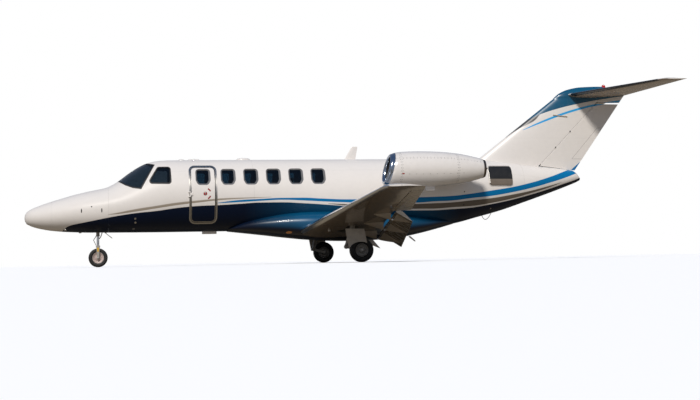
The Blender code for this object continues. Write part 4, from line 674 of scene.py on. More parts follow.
def finPaint(tree, xyz):
    # grey leading edge, blue top, light blue stripe, the body's stripe on the rudder's foot, and the tab
    p, station, height = paintShapes, stationOf(tree, xyz), heightOf(tree, xyz)
    line = {n: lineHeight(tree, station, points, (11.5, 15.6), 0.9, 1.8) for n, points in finLines.items()}
    edge = times(tree, minus(tree, 1.0, under(tree, height, line["edgeFoot"], 0.03)),
        within(tree, station, *p["edgeSpan"], 0.02))
    colour = mixColour(tree, edge, paintColours["white"], paintColours["finEdge"])
    top = minus(tree, 1.0, under(tree, height, line["blueFoot"]))
    colour = mixColour(tree, top, colour, paintColours["finBlue"])
    inside = minus(tree, under(tree, height, line["lineTop"]), under(tree, height, line["lineFoot"]),
        clamp=True)
    inside = times(tree, inside, within(tree, station, *p["stripeSpan"], 0.02))
    colour = mixColour(tree, inside, colour, paintColours["lightBlue"])
    slant = mathNode(tree, "MULTIPLY_ADD", height, *p["cornerSlant"])
    corner = times(tree, mathNode(tree, "GREATER_THAN", station, slant),
        mathNode(tree, "LESS_THAN", height, p["cornerTop"]))
    colour = mixColour(tree, corner, colour, paintColours["stripeBlue"])
    back = minus(tree, station, mathNode(tree, "MULTIPLY_ADD", height, *p["tabSlant"]))
    first, last = p["tabSpan"]
    inner = times(tree, within(tree, back, -0.004, 0.004, 0.002), within(tree, height, first, last, 0.002))
    ends = anyOf(tree, [within(tree, height, w - 0.003, w + 0.003, 0.002) for w in (first, last)])
    ends = times(tree, ends, mathNode(tree, "GREATER_THAN", back, 0.0))
    marks = seamMarks(tree, "finRibs", xyz["Z"], xyz["X"]) + [times(tree, m, 0.75) for m in (inner, ends)]
    return colour, anyOf(tree, marks), None


def bellyPaint(tree, xyz):
    # navy paint with painted light and shade: faces that look up over the wing are painted the sunlit blue,
    # which fades to a shaded navy towards the front, the rear and on the faces that look down
    station = stationOf(tree, xyz)
    up = ramp(tree, faceNormal(tree, "Normal")["Z"], 1.3, 0.75)
    back = ramp(tree, station, 0.85, -4.55)
    fore = ramp(tree, station, -0.55, 5.9)
    share = times(tree, up, times(tree, back, fore))
    marks = seamMarks(tree, "bellyPanels", xyz["X"], xyz["Y"])
    return mixColour(tree, share, paintColours["navy"], paintColours["sunlitNavy"]), anyOf(tree, marks), None


def nacellePaint(tree, xyz):
    # rows of quarter-turn fasteners round the cowl and along its split line
    p, station = paintShapes, stationOf(tree, xyz)
    rise = minus(tree, xyz["Z"], airframe["engineHeight"])
    outboard = minus(tree, mathNode(tree, "ABSOLUTE", xyz["Y"]), airframe["engineSide"])
    girth = times(tree, mathNode(tree, "ARCTAN2", rise, outboard), p["cowlRadius"])
    marks = seamMarks(tree, "cowlRings", station, girth) + seamMarks(tree, "cowlSplit", girth, station)
    # the inlet lip is bare metal as far as a ring that leans with it
    leaning = minus(tree, station, times(tree, rise, airframe["inletSlope"]))
    lip = mathNode(tree, "LESS_THAN", leaning, p["lipEnd"])
    # faces that look at the engine's axis are painted near black, a painted shade for the inside of the duct
    normal = faceNormal(tree)
    facing = times(tree, times(tree, normal["Y"], mathNode(tree, "SIGN", xyz["Y"])), outboard)
    facing = mathNode(tree, "ADD", facing, times(tree, normal["Z"], rise))
    inside = mathNode(tree, "LESS_THAN", facing, -0.1)
    colour = mixColour(tree, inside, paintColours["white"], paintColours["duct"])
    lip = times(tree, lip, minus(tree, 1.0, times(tree, inside,
        mathNode(tree, "GREATER_THAN", leaning, p["ductStart"]))))
    marks.append(times(tree, within(tree, leaning, p["lipEnd"], p["lipEnd"] + 0.004, 0.001), 0.7))
    # a small red mark near the front of each cowl
    front, rear, foot, head = p["redMark"]
    mark = times(tree, within(tree, station, front, rear, 0.006),
        within(tree, heightOf(tree, xyz), foot, head, 0.006))
    mark = times(tree, mark, mathNode(tree, "GREATER_THAN", outboard, 0.0))
    return mixColour(tree, mark, colour, paintColours["cowlRed"]), anyOf(tree, marks), lip


def paddlePaint(tree, xyz):
    # soot black above, and a brown painted shade below
    height, foot = heightOf(tree, xyz), paintShapes["sootFoot"]
    low = within(tree, height, -1.0, foot, 0.006)
    return mixColour(tree, low, paintColours["soot"], paintColours["heatedEdgeAndPaddleShade"]), times(tree,
        within(tree, height, foot - 0.003, foot + 0.003, 0.002), 0.7), None


whitePaint = finishMaterial("whitePaint", paintColours["white"], 0.22, coat=0.35, dirt=0.1,
    dirtColour=(0.4, 0.36, 0.31), toneSpread=0.02, bump=0.00015)
fuselageSkin = finishMaterial("fuselageSkin", paintColours["white"], 0.36, coat=0.0, dirt=0.05,
    toneSpread=0.02, bump=0.0002, specular=0.16, paint=fuselagePaint)
doorSkin = finishMaterial("doorSkin", paintColours["white"], 0.36, coat=0.0, dirt=0.05, toneSpread=0.02,
    bump=0.0002, specular=0.16, paint=doorPaint)
fairingPaint = finishMaterial("fairingPaint", paintColours["sunlitNavy"], 0.32, coat=0.12, dirt=0.1,
    toneSpread=0.05, bump=0.0002, grain=900.0, specular=0.35, paint=bellyPaint)
wingSkin = finishMaterial("wingSkin", paintColours["white"], 0.2, coat=0.35, dirt=0.3,
    dirtColour=(0.1, 0.08, 0.06), toneSpread=0.05, bump=0.0003, stretch=(0.3, 1.6, 1.0), paint=wingPaint)
flapSkin = finishMaterial("flapSkin", paintColours["white"], 0.26, coat=0.2, dirt=0.14,
    dirtColour=(0.14, 0.115, 0.085), toneSpread=0.04, bump=0.0003, stretch=(0.3, 1.6, 1.0), paint=flapPaint)
tailplaneSkin = finishMaterial("tailplaneSkin", paintColours["white"], 0.26, coat=0.2, dirt=0.15,
    dirtColour=(0.14, 0.12, 0.1), toneSpread=0.04, bump=0.0003, paint=tailplanePaint)
finSkin = finishMaterial("finSkin", paintColours["white"], 0.3, coat=0.08, dirt=0.06,
    dirtColour=(0.38, 0.34, 0.3), toneSpread=0.02, bump=0.0002, paint=finPaint)
finBlueSkin = finishMaterial("finBlueSkin", paintColours["finBlue"], 0.18, coat=0.5, dirt=0.05,
    toneSpread=0.04, bump=0.0002)
nacelleSkin = finishMaterial("nacelleSkin", paintColours["white"], 0.2, coat=0.4, dirt=0.1,
    dirtColour=(0.33, 0.28, 0.22), toneSpread=0.025, bump=0.0003, paint=nacellePaint,
    metalColour=(0.34, 0.39, 0.47), metalRough=0.18)
polished = finishMaterial("polishedMetal", (0.72, 0.74, 0.78), 0.1, metallic=1.0, dirt=0.1, toneSpread=0.05,
    bump=0.0001, stretch=(0.4, 3, 3))
brushed = finishMaterial("brushedMetal", (0.5, 0.48, 0.45), 0.3, metallic=1.0, dirt=0.25, toneSpread=0.1,
    grain=500.0, bump=0.0002)
chrome = finishMaterial("chromeOleo", (0.8, 0.81, 0.83), 0.07, metallic=1.0, dirt=0.12, toneSpread=0.03)
gearPaint = finishMaterial("gearPaint", (0.36, 0.34, 0.31), 0.35, coat=0.2, dirt=0.45,
    dirtColour=(0.06, 0.05, 0.04), toneSpread=0.1)
darkMetal = finishMaterial("darkMetal", (0.045, 0.042, 0.04), 0.38, metallic=0.6, dirt=0.4,
    dirtColour=(0.02, 0.017, 0.014), toneSpread=0.2)
heatMetal = finishMaterial("heatMetal", (0.16, 0.13, 0.11), 0.33, metallic=1.0, dirt=0.5,
    dirtColour=(0.05, 0.035, 0.025), toneSpread=0.2)
rubberBlack = finishMaterial("rubberBlack", (0.007, 0.007, 0.0075), 0.6, dirt=0.18,
    dirtColour=(0.022, 0.02, 0.018), toneSpread=0.18, grain=600.0, bump=0.0006)
matBlack = finishMaterial("matBlack", (0.014, 0.014, 0.015), 0.55, dirt=0.2, dirtColour=(0.04, 0.035, 0.03),
    toneSpread=0.15, grain=420.0, bump=0.0004)
liningTrim = finishMaterial("liningTrim", (0.3, 0.26, 0.21), 0.65, dirt=0.1, toneSpread=0.06, grain=300.0,
    bump=0.0006)
carpet = finishMaterial("carpet", (0.055, 0.05, 0.048), 0.95, dirt=0.2, toneSpread=0.2, grain=900.0,
    bump=0.003)
leatherTan = finishMaterial("leatherTan", (0.34, 0.25, 0.17), 0.42, dirt=0.15, toneSpread=0.08, grain=260.0,
    bump=0.0012)
sootPlate = finishMaterial("sootPlate", (0.012, 0.012, 0.013), 0.42, dirt=0.25,
    dirtColour=(0.035, 0.032, 0.03), toneSpread=0.12, grain=300.0, bump=0.0004, paint=paddlePaint)
wellPaint = finishMaterial("wellPaint", (0.1, 0.095, 0.08), 0.55, dirt=0.5, dirtColour=(0.03, 0.027, 0.022),
    toneSpread=0.12, grain=300.0, bump=0.0005)
bezelGrey = finishMaterial("bezelGrey", (0.17, 0.17, 0.175), 0.32, coat=0.2, dirt=0.1, toneSpread=0.04)
yellowMark = finishMaterial("yellowMark", (0.72, 0.42, 0.02), 0.4, dirt=0.15, toneSpread=0.05)
markRed = finishMaterial("markRed", (0.4, 0.015, 0.015), 0.35, dirt=0.1, toneSpread=0.05)
hubPaint = finishMaterial("hubPaint", (0.56, 0.46, 0.43), 0.34, metallic=0.1, dirt=0.25,
    dirtColour=(0.07, 0.055, 0.045), toneSpread=0.1)
print("materials made")


def glassMaterial(name, tint, roughness=0.02):
    material = newMaterial(name)
    tree = material.node_tree
    shader = tree.nodes["Principled BSDF"]
    shader.inputs["Transmission Weight"].default_value = 1.0
    shader.inputs["Metallic"].default_value = 0.0
    shader.inputs["IOR"].default_value = 1.45
    wear = useGroup(tree, wearGroup, Coords=objectCoords(tree)[0], Grain=120.0, Dirt=0.12, Stretch=(1, 1, 1))
    link(tree, mixColour(tree, wear["Grime"], tint, tuple(c * 0.75 for c in tint)),
        shader.inputs["Base Color"])
    link(tree, mathNode(tree, "MULTIPLY_ADD", wear["Grime"], 0.1, roughness), shader.inputs["Roughness"])
    return material


darkGlass = glassMaterial("darkGlass", (0.1, 0.21, 0.27))
cockpitGlass = glassMaterial("cockpitGlass", (0.2, 0.25, 0.28))
lampGlass = finishMaterial("lampGlass", (0.75, 0.28, 0.05), 0.12, coat=0.8, dirt=0.05)
redLamp = finishMaterial("redLamp", (0.45, 0.008, 0.006), 0.12, coat=0.8, dirt=0.05)

# fuselage

fuselage = {
    "points": 96, "step": 0.09,
    # station, half width, top, bottom, widest waterline, upper power, lower power
    "rows": (
        (0.0, 0.02, -0.48, -0.52, -0.5, 2.0, 2.0), (0.012, 0.08, -0.415, -0.575, -0.5, 2.0, 2.0),
        (0.05, 0.15, -0.35, -0.64, -0.5, 2.0, 2.0), (0.15, 0.24, -0.285, -0.692, -0.49, 2.0, 2.0),
        (0.3, 0.325, -0.22, -0.742, -0.48, 2.0, 2.0), (0.6, 0.445, -0.115, -0.802, -0.455, 2.0, 2.0),
        (0.9, 0.535, -0.025, -0.834, -0.425, 2.0, 2.0), (1.2, 0.607, 0.06, -0.85, -0.39, 2.0, 2.05),
        (1.5, 0.662, 0.13, -0.862, -0.35, 2.0, 2.1), (1.95, 0.722, 0.225, -0.868, -0.29, 2.0, 2.15),
        (2.1, 0.738, 0.3, -0.87, -0.27, 1.92, 2.15), (2.25, 0.751, 0.395, -0.871, -0.24, 1.84, 2.15),
        (2.4, 0.763, 0.51, -0.872, -0.21, 1.8, 2.15), (2.55, 0.774, 0.615, -0.874, -0.18, 1.8, 2.15),
        (2.7, 0.784, 0.708, -0.875, -0.15, 1.84, 2.12), (2.85, 0.792, 0.782, -0.876, -0.12, 1.88, 2.1),
        (3.0, 0.799, 0.832, -0.877, -0.09, 1.93, 2.08), (3.2, 0.808, 0.865, -0.878, -0.05, 1.98, 2.05),
        (3.5, 0.815, 0.877, -0.878, -0.02, 2.0, 2.0), (4.0, 0.815, 0.878, -0.878, 0.0, 2.0, 2.0),
        (8.6, 0.815, 0.878, -0.878, 0.0, 2.0, 2.0), (9.3, 0.803, 0.878, -0.876, 0.0, 2.0, 2.0),
        (10.0, 0.768, 0.875, -0.855, 0.01, 2.0, 2.0), (10.6, 0.716, 0.868, -0.767, 0.04, 2.0, 2.0),
        (11.23, 0.645, 0.848, -0.612, 0.1, 2.0, 2.0), (11.85, 0.56, 0.8, -0.45, 0.17, 2.0, 2.0),
        (12.47, 0.465, 0.715, -0.25, 0.23, 2.0, 2.0), (13.1, 0.35, 0.64, -0.04, 0.3, 2.0, 2.0),
        (13.5, 0.272, 0.6, 0.1, 0.35, 2.0, 2.0), (13.81, 0.205, 0.56, 0.215, 0.39, 2.0, 2.0),
        (13.9, 0.165, 0.5, 0.25, 0.38, 2.0, 2.0), (13.99, 0.09, 0.39, 0.295, 0.34, 2.0, 2.0),
    ),
    "radomeEnd": 0.64, "frontBulkhead": 1.98, "rearBulkhead": 8.9, "tailWall": 0.045,
}


def signed(value, power):
    # a power of a value's size that keeps its sign
    return abs(value) ** power * (1 if value >= 0 else -1)


def sectionRing(row, grow, count):
    station, half, top, bottom, middle, upper, lower = row
    ring = []
    for k in range(count):
        c, s = cos(2 * pi * k / count), sin(2 * pi * k / count)
        power = 2 / (upper if s >= 0 else lower)
        reach = (top - middle if s >= 0 else middle - bottom) + grow
        ring.append(at(station, (half + grow) * signed(c, power), middle + reach * signed(s, power)))
    return ring


def bodyShape(table, start, end, grow=0.0, count=None, step=None):
    rows = table["rows"]
    stations = {start, end} | {r[0] for r in rows if start < r[0] < end}
    for a, b in zip(sorted(stations), sorted(stations)[1:]):
        stations |= set(spread(a, b, step or table["step"]))
    count = count or table["points"]
    return loftRings([sectionRing(smoothRow(rows, s), grow, count) for s in sorted(stations)])


def roundedOutline(corners, radius, steps=8):
    outline = []
    for k, corner in enumerate(corners):
        here = Vector(corner)
        back = (Vector(corners[k - 1]) - here).normalized()
        forth = (Vector(corners[(k + 1) % len(corners)]) - here).normalized()
        half = back.angle(forth) / 2
        reach = radius / tan(half)
        centre = here + (back + forth).normalized() * (radius / sin(half))
        first, last = here + back * reach - centre, here + forth * reach - centre
        begin = atan2(first.y, first.x)
        turn = (atan2(last.y, last.x) - begin + pi) % (2 * pi) - pi
        outline.extend((centre.x + radius * cos(begin + turn * i / steps), centre.y
            + radius * sin(begin + turn * i / steps)) for i in range(steps + 1))
    return outline


def grownOutline(outline, grow):
    # an outline moved outwards, or inwards when grow is negative, square to its sides
    points = [Vector(p) for p in outline]
    area = sum(a.x * b.y - b.x * a.y for a, b in zip(points, points[1:] + points[:1]))
    facing = 1 if area > 0 else -1
    grown = []
    for k, here in enumerate(points):
        before = (here - points[k - 1]).normalized()
        after = (points[(k + 1) % len(points)] - here).normalized()
        normals = [Vector((d.y, -d.x)) * facing for d in (before, after)]
        middle = (normals[0] + normals[1]).normalized()
        grown.append(tuple(here + middle * grow / max(0.35, middle.dot(normals[0]))))
    return grown


def ovalOutline(station, waterline, halfWidth, halfHeight, power, count=48):
    turns = [2 * pi * k / count for k in range(count)]
    return [(station + halfWidth * signed(cos(a), 2 / power), waterline
        + halfHeight * signed(sin(a), 2 / power)) for a in turns]


openings = {"windows": (4.82, 5.37, 5.92, 6.47, 7.02), "doorWindow": 4.215, "waterline": 0.42,
    "halfWidth": 0.145, "halfHeight": 0.168, "doorFront": 3.915, "doorRear": 4.515, "doorFoot": -0.67,
    "doorHead": 0.675, "doorCorner": 0.11, "doorGap": 0.012, "postHalf": 0.028, "sideCorner": 0.075,
    "windshield": ((2.13, 0.42), (2.22, 0.345), (2.376, 0.241), (2.546, 0.17), (2.75, 0.135), (3.088, 0.75),
    (2.52, 0.9), (2.05, 0.9)), "sideWindow": ((2.885, 0.262), (3.47, 0.25), (3.455, 0.688), (3.145, 0.69))}


def doorOutline(grow=0.0):
    o = openings
    corners = ((o["doorFront"], o["doorFoot"]), (o["doorRear"], o["doorFoot"]),
        (o["doorRear"], o["doorHead"]), (o["doorFront"], o["doorHead"]))
    return grownOutline(roundedOutline(corners, o["doorCorner"]), grow)


def sideStations(sign):
    return openings["windows"] if sign < 0 else (openings["doorWindow"], *openings["windows"])


def through(outline, sign, near=0.25, far=1.2):
    return plateShape(outline, sign * near, sign * far)


def withMaterials(piece, *materials):
    piece.data.materials.clear()
    for material in materials:
        piece.data.materials.append(material)
    return piece

def skinSide(station, waterline, grow=0.0, table=None):
    # how far the skin stands from the plane of symmetry
    row = smoothRow((table or fuselage)["rows"], station)
    half, top, bottom, middle, upper, lower = row[1:]
    power = upper if waterline >= middle else lower
    reach = (top - middle if waterline >= middle else middle - bottom) + grow
    share = min(1.0, abs(waterline - middle) / reach)
    return (half + grow) * (1 - share ** power) ** (1 / power)


def skinRing(outline, sign, depth, table=None):
    return [at(s, sign * (skinSide(s, w, 0.0, table) - depth), w) for s, w in outline]


def frameShape(rings):
    # a ring-shaped solid whose section runs through the rings and back to the first
    return cleaned(loftRings([*rings, rings[0]], capEnds=False))


def denser(outline, step=0.03):
    # long straight runs of an outline get points between, so that they can follow a curved skin
    points = []
    for (s0, w0), (s1, w1) in zip(outline, outline[1:] + outline[:1]):
        count = max(1, round(sqrt((s1 - s0) ** 2 + (w1 - w0) ** 2) / step))
        points.extend((s0 + (s1 - s0) * k / count, w0 + (w1 - w0) * k / count) for k in range(count))
    return points


def scaled(outline, share):
    middle = (sum(s for s, w in outline) / len(outline), sum(w for s, w in outline) / len(outline))
    return [(middle[0] + (s - middle[0]) * share, middle[1] + (w - middle[1]) * share) for s, w in outline]


def skinPlate(outline, sign, outside, inside, steps=5, table=None):
    # a plate that follows the skin, from one depth to another
    front = [skinRing(scaled(outline, k / steps), sign, outside, table) for k in range(1, steps + 1)]
    back = [skinRing(scaled(outline, k / steps), sign, inside, table) for k in range(steps, 0, -1)]
    return loftRings(front + back)


# nose

seam = airframe["seam"]
makePiece("radomeShell", bodyShape(fuselage, 0.0, fuselage["radomeEnd"] - seam), fuselageSkin, "body",
    "white_paint", "radome")
nose = newObject("noseSkin", bodyShape(fuselage, fuselage["radomeEnd"] + seam, fuselage["frontBulkhead"]
    - seam), [fuselageSkin, wellPaint])
noseBay = {"station": 1.72, "front": 0.12, "rear": 0.22, "half": 0.085, "roof": -0.62,
    "jackPad": (1.3, -0.872)}
carve(nose, [blockShape(at(noseBay["station"] - noseBay["front"], -noseBay["half"], -1.0),
    at(noseBay["station"] + noseBay["rear"], noseBay["half"], noseBay["roof"]))], material=wellPaint)
settle(nose, "body", "white_paint", "nose_section")
pad = at(noseBay["jackPad"][0], 0, noseBay["jackPad"][1])
makePiece("noseJackPad", rodShape(pad, pad + Vector((0, 0, 0.04)), 0.032, 32, bevel=0.002), brushed, "body",
    "bare_metal", "nose_section")
print("nose made")

# cabin

bezel = {"halfWidth": 0.18, "halfHeight": 0.2, "depth": 0.03, "back": 0.083, "round": 0.004, "shift": 0.008}


def sixSided(station, half, tall, chamfer, corner, grow):
    # a window: square above, with its lower corners cut off, and all corners rounded
    narrow, low = chamfer
    w = openings["waterline"]
    corners = ((station - half, w + tall), (station - half, w - low), (station - narrow, w - tall),
        (station + narrow, w - tall), (station + half, w - low), (station + half, w + tall))
    return grownOutline(roundedOutline(corners, corner), grow)


def bezelOutline(station, grow=0.0):
    b = bezel
    return sixSided(station + b["shift"] / 2, b["halfWidth"], b["halfHeight"], (0.12, 0.09), 0.085, grow)


def paneOutline(station, grow=0.0):
    o = openings
    return sixSided(station, o["halfWidth"] - 0.006, o["halfHeight"] - 0.003, (0.092, 0.08), 0.036, grow)


def bezelShape(station, sign):
    b = bezel
    outer, inner = bezelOutline(station, -0.0008), paneOutline(station)
    lip = bezelOutline(station, -b["round"])
    return frameShape([skinRing(outer, sign, 0.0015), skinRing(lip, sign, -0.0006),
        skinRing(grownOutline(inner, 0.004), sign, b["depth"] - 0.003),
        skinRing(inner, sign, b["depth"] + 0.002), skinRing(inner, sign, b["back"]),
        skinRing(outer, sign, b["back"])])


def paneShape(station, sign):
    return skinPlate(paneOutline(station, -0.0006), sign, bezel["depth"] + 0.004, bezel["depth"] + 0.014)


cabin = newObject("cabinSkin", bodyShape(fuselage, fuselage["frontBulkhead"], fuselage["rearBulkhead"]),
    [fuselageSkin, liningTrim])
carve(cabin, [bodyShape(fuselage, fuselage["frontBulkhead"] + 0.07, fuselage["rearBulkhead"] - 0.14, -0.07)],
    material=liningTrim)
carve(cabin, [plateShape(doorOutline(), -1.2, -0.2)], material=bezelGrey)
for sign in (-1, 1):
    stations = [s for s in sideStations(sign) if sign > 0 or s > 4.6]
    carve(cabin, [through(bezelOutline(s), sign, 0.3) for s in stations], material=whitePaint)
    carve(cabin, [plateShape(openings["windshield"], sign * openings["postHalf"], sign * 1.2)],
        material=matBlack)
    carve(cabin, [through(roundedOutline(openings["sideWindow"], openings["sideCorner"]), sign, 0.3)],
        material=matBlack)
doorHinge = {"station": 3.905, "side": 0.835, "half": 0.04, "lug": 0.066, "radius": 0.01}
h = doorHinge
carve(cabin, [blockShape(at(h["station"] - 0.012, -0.9, -h["half"]),
    at(openings["doorFront"] + 0.01, -0.72, h["half"]))], material=matBlack)
settle(cabin, "body", "white_paint", "cabin_shell")
print("cabin made")

for sign, word in ((-1, "Left"), (1, "Right")):
    stations = [s for s in sideStations(sign) if sign > 0 or s > 4.6]
    makePiece("windowBezels" + word, flatten([bezelShape(s, sign) for s in stations]), bezelGrey, "body",
        "trim", "cabin_shell", degrees=50)
    makePiece("windowPanes" + word, flatten([paneShape(s, sign) for s in stations]), darkGlass, "body",
        "glass", "cabin_windows_" + word.lower())
    first, last = (4.62, 7.22) if sign < 0 else (4.02, 7.22)
    corners = ((first, 0.2), (last, 0.2), (last, 0.62), (first, 0.62))
    strip = newObject("strip", bodyShape(fuselage, 3.95, 7.35, -0.0708))
    carve(strip, [bodyShape(fuselage, 3.9, 7.4, -0.083)])
    carve(strip, [through(roundedOutline(corners, 0.04), sign, 0.3)], "INTERSECT")
    carve(strip, [through(paneOutline(s, -0.001), sign, 0.3) for s in stations])
    strip.name = "windowPanel" + word
    settle(withMaterials(strip, liningTrim), "body", "trim", "cabin_windows_" + word.lower())

# the cockpit glazing: a rubber gasket on the edge of each opening, and a curved pane inside it
glazing = {"gasket": 0.032, "proud": 0.0012, "deep": 0.026, "paneOut": 0.007, "paneIn": 0.017}


def glazingParts(outline, sign, start):
    g = glazing
    width = g["gasket"]
    inner = grownOutline(outline, -width)
    shell = [s for s, w in outline]
    first, last = min(shell) - 0.03, max(shell) + 0.03
    rubber = newObject("rubber", bodyShape(fuselage, first, last, g["proud"], 128, 0.05))
    carve(rubber, [bodyShape(fuselage, first - 0.02, last + 0.02, -g["deep"], 128, 0.05)])
    carve(rubber, [plateShape(grownOutline(outline, -0.0004), sign * start, sign * 1.2)], "INTERSECT")
    carve(rubber, [plateShape(inner, sign * (start + width), sign * 1.3)])
    pane = newObject("pane", bodyShape(fuselage, first, last, -g["paneOut"], 128, 0.05))
    carve(pane, [bodyShape(fuselage, first - 0.02, last + 0.02, -g["paneIn"], 128, 0.05)])
    carve(pane, [plateShape(grownOutline(inner, -0.0004), sign * (start + width + 0.0004), sign * 1.2)],
        "INTERSECT")
    return rubber, pane


for sign, word in ((-1, "Left"), (1, "Right")):
    for part, outline, start, node in (("windshield", openings["windshield"], openings["postHalf"] + 0.0004,
            "windshield_"), ("sideWindow", roundedOutline(openings["sideWindow"], openings["sideCorner"]),
            0.3, "cockpit_window_")):
        rubber, pane = glazingParts(outline, sign, start)
        rubber.name, pane.name = part + "Gasket" + word, part + "Pane" + word
        settle(withMaterials(rubber, rubberBlack), "body", "rubber", node + word.lower())
        settle(withMaterials(pane, cockpitGlass), "body", "glass", node + word.lower())
print("glazing made")

tail = newObject("tailSkin", bodyShape(fuselage, fuselage["rearBulkhead"] + seam, 13.99), [fuselageSkin])
carve(tail, [bodyShape(fuselage, fuselage["rearBulkhead"] - 0.1, 13.0, -fuselage["tailWall"])],
    material=matBlack)
settle(tail, "body", "white_paint", "tail_cone")
print("tail made")

# passenger door

door.update({"thick": 0.07, "bladeLength": 0.074, "dialRadius": 0.04, "barrelRadius": 0.009})


def doorBevelShape():
    # what the rear edge loses so that its inner corner swings out past the doorway
    o = openings
    low, high = o["doorFoot"] + o["doorGap"], o["doorHead"] - o["doorGap"]
    radius = o["doorCorner"] - o["doorGap"]
    rings = []
    for k in range(33):
        w = low - 0.004 + (high - low + 0.008) * (1 - cos(pi * k / 32)) / 2
        past = min(max(radius - min(w - low, high - w), 0.0), radius)
        edge = o["doorRear"] - o["doorGap"] - radius + sqrt(radius ** 2 - past ** 2) - doorHinge["station"]
        skin = doorHinge["side"] - skinSide(4.3, w)
        inner = skin + door["thick"] * 2.2
        corners = ((edge, skin - 0.02), (sqrt(edge ** 2 + skin ** 2 - inner ** 2), inner),
            (edge + 0.1, inner), (edge + 0.1, skin - 0.02))
        rings.append([at(doorHinge["station"] + along, deep - doorHinge["side"], w) for along, deep
            in corners])
    return loftRings(rings)


slab = newObject("cabinDoor", bodyShape(fuselage, 3.7, 4.7, step=0.045), [doorSkin, liningTrim])
carve(slab, [bodyShape(fuselage, 3.65, 4.75, -door["thick"])], material=liningTrim)
carve(slab, [plateShape(doorOutline(-openings["doorGap"]), -1.2, -0.2)], "INTERSECT", material=bezelGrey)
carve(slab, [through(bezelOutline(openings["doorWindow"]), -1, 0.3), doorBevelShape()], material=bezelGrey)
cup = ovalOutline(door["handle"][0], door["handle"][1], door["cupRadius"], door["cupRadius"], 2.0, 40)
carve(slab, [plateShape(cup, -skinSide(4.26, 0.0) + 0.012, -1.0)], material=brushed)
settle(slab, "door", "white_paint", "cabin_door")
makePiece("doorBezel", bezelShape(openings["doorWindow"], -1), bezelGrey, "door", "trim", "cabin_door",
    degrees=50)
makePiece("doorPane", paneShape(openings["doorWindow"], -1), darkGlass, "door", "glass", "door_window")
arm = blockShape(at(h["station"], -h["side"] - 0.002, 0.008 - h["half"]),
    at(openings["doorFront"] + 0.05, -h["side"] + 0.05, h["half"] - 0.008), 0.002)
barrel = rodShape(at(h["station"], -h["side"], -h["half"]), at(h["station"], -h["side"], h["half"]),
    door["barrelRadius"], 24)
makePiece("doorHingeArm", flatten([arm, barrel]), doorSkin, "door", "white_paint", "cabin_door")
lugs = []
for low, high in ((-h["lug"], -h["half"] - seam), (h["half"] + seam, h["lug"])):
    lugs.append(rodShape(at(h["station"], -h["side"], low), at(h["station"], -h["side"], high), h["radius"],
        24, bevel=0.0015))
    lugs.append(blockShape(at(h["station"] - 0.05, -h["side"] - 0.004, low),
        at(h["station"] - 0.002, -h["side"] + 0.062, high), 0.002))
makePiece("doorHingeLugs", flatten(lugs), fuselageSkin, "body", "white_paint", "cabin_shell")


def doorway(grow):
    return grownOutline(denser(doorOutline()), grow)


def raisedBand(outer, inner, proud, deep, name, material, body, slot, *nodes):
    rings = [skinRing(outer, -1, deep), skinRing(outer, -1, -proud), skinRing(inner, -1, -proud),
        skinRing(inner, -1, deep)]
    return makePiece(name, frameShape(rings), material, body, slot, *nodes, degrees=50)


raisedBand(doorway(door["frameWidth"]), doorway(0.0005), 0.002, 0.012, "doorwayFrame", brushed, "body",
    "bare_metal", "cabin_shell")
raisedBand(doorway(-0.0135), doorway(-0.0135 - door["sillWidth"]), 0.0012, 0.01, "doorEdgeBand", brushed,
    "door", "bare_metal", "cabin_door")
spot = at(door["handle"][0], -skinSide(4.26, door["handle"][1]), door["handle"][1])
dial = rodShape(spot + Vector((0, 0.009, 0)), spot + Vector((0, -0.001, 0)), door["dialRadius"], 40,
    bevel=0.0015)
grip = blockShape(spot + Vector((-0.012, -0.004, -door["bladeLength"] / 2)), spot
    + Vector((0.012, 0.004, door["bladeLength"] / 2)), 0.003)
makePiece("doorDial", dial, markRed, "door", "trim", "cabin_door")
makePiece("doorGrip", grip, brushed, "door", "bare_metal", "cabin_door")
print("door made")

# roof and belly items

roofItems = {
    "crown": 0.872,
    # station, length, width, height, how square the sides are
    "domes": ((3.745, 0.165, 0.11, 0.034, 2.0), (3.96, 0.12, 0.1, 0.036, 2.0),
              (4.05, 0.12, 0.118, 0.04, 2.0), (4.135, 0.11, 0.1, 0.036, 2.0),
              (5.265, 0.33, 0.17, 0.054, 3.2)),
    # waterline, front station, rear station, half thickness
    "antenna": ((0.855, 7.8, 8.09, 0.02), (0.95, 7.855, 8.105, 0.016), (1.17, 7.985, 8.15, 0.009),
                (1.2, 8.01, 8.15, 0.004)),
    "foot": (7.92, 8.2, 0.055),
}


def domeShape(station, waterline, length, width, height, power):
    bm = bmesh.new()
    bmesh.ops.create_uvsphere(bm, u_segments=40, v_segments=24, radius=1)
    for vert in bm.verts:
        x, y, z = vert.co
        flat = sqrt(x * x + y * y)
        lift = (1 - min(1.0, flat) ** power) ** (1 / power) if abs(z) > 1e-6 else 0.0
        vert.co = at(station + x * length / 2, y * width / 2, waterline + (height if z > 0 else -0.05) * lift)
    return bm


makePiece("roofDomes", flatten([domeShape(s, roofItems["crown"], length, width, height, power) for s, length,
    width, height, power in roofItems["domes"]]), whitePaint, "body", "white_paint", "cabin_shell")


def bladeRing(waterline, front, rear, half, count=24):
    chord = rear - front
    ring = []
    for k in range(count):
        share = 0.5 + 0.5 * cos(2 * pi * k / count)
        side = half * 2.6 * (sqrt(share) - share) * 1.55
        ring.append(at(front + chord * share, side * (1 if sin(2 * pi * k / count) >= 0 else -1), waterline))
    return ring


blade = loftRings([bladeRing(*row) for row in roofItems["antenna"]])
makePiece("roofAntenna", blade, whitePaint, "body", "white_paint", "roof_antenna")
box = ((4.23, 4.58), (-0.938, -0.85))
belly = blockShape(at(box[0][0], -0.07, box[1][0]), at(box[0][1], 0.07, box[1][1]), 0.012, 3)
makePiece("bellyBox", belly, whitePaint, "body", "white_paint", "cabin_shell")

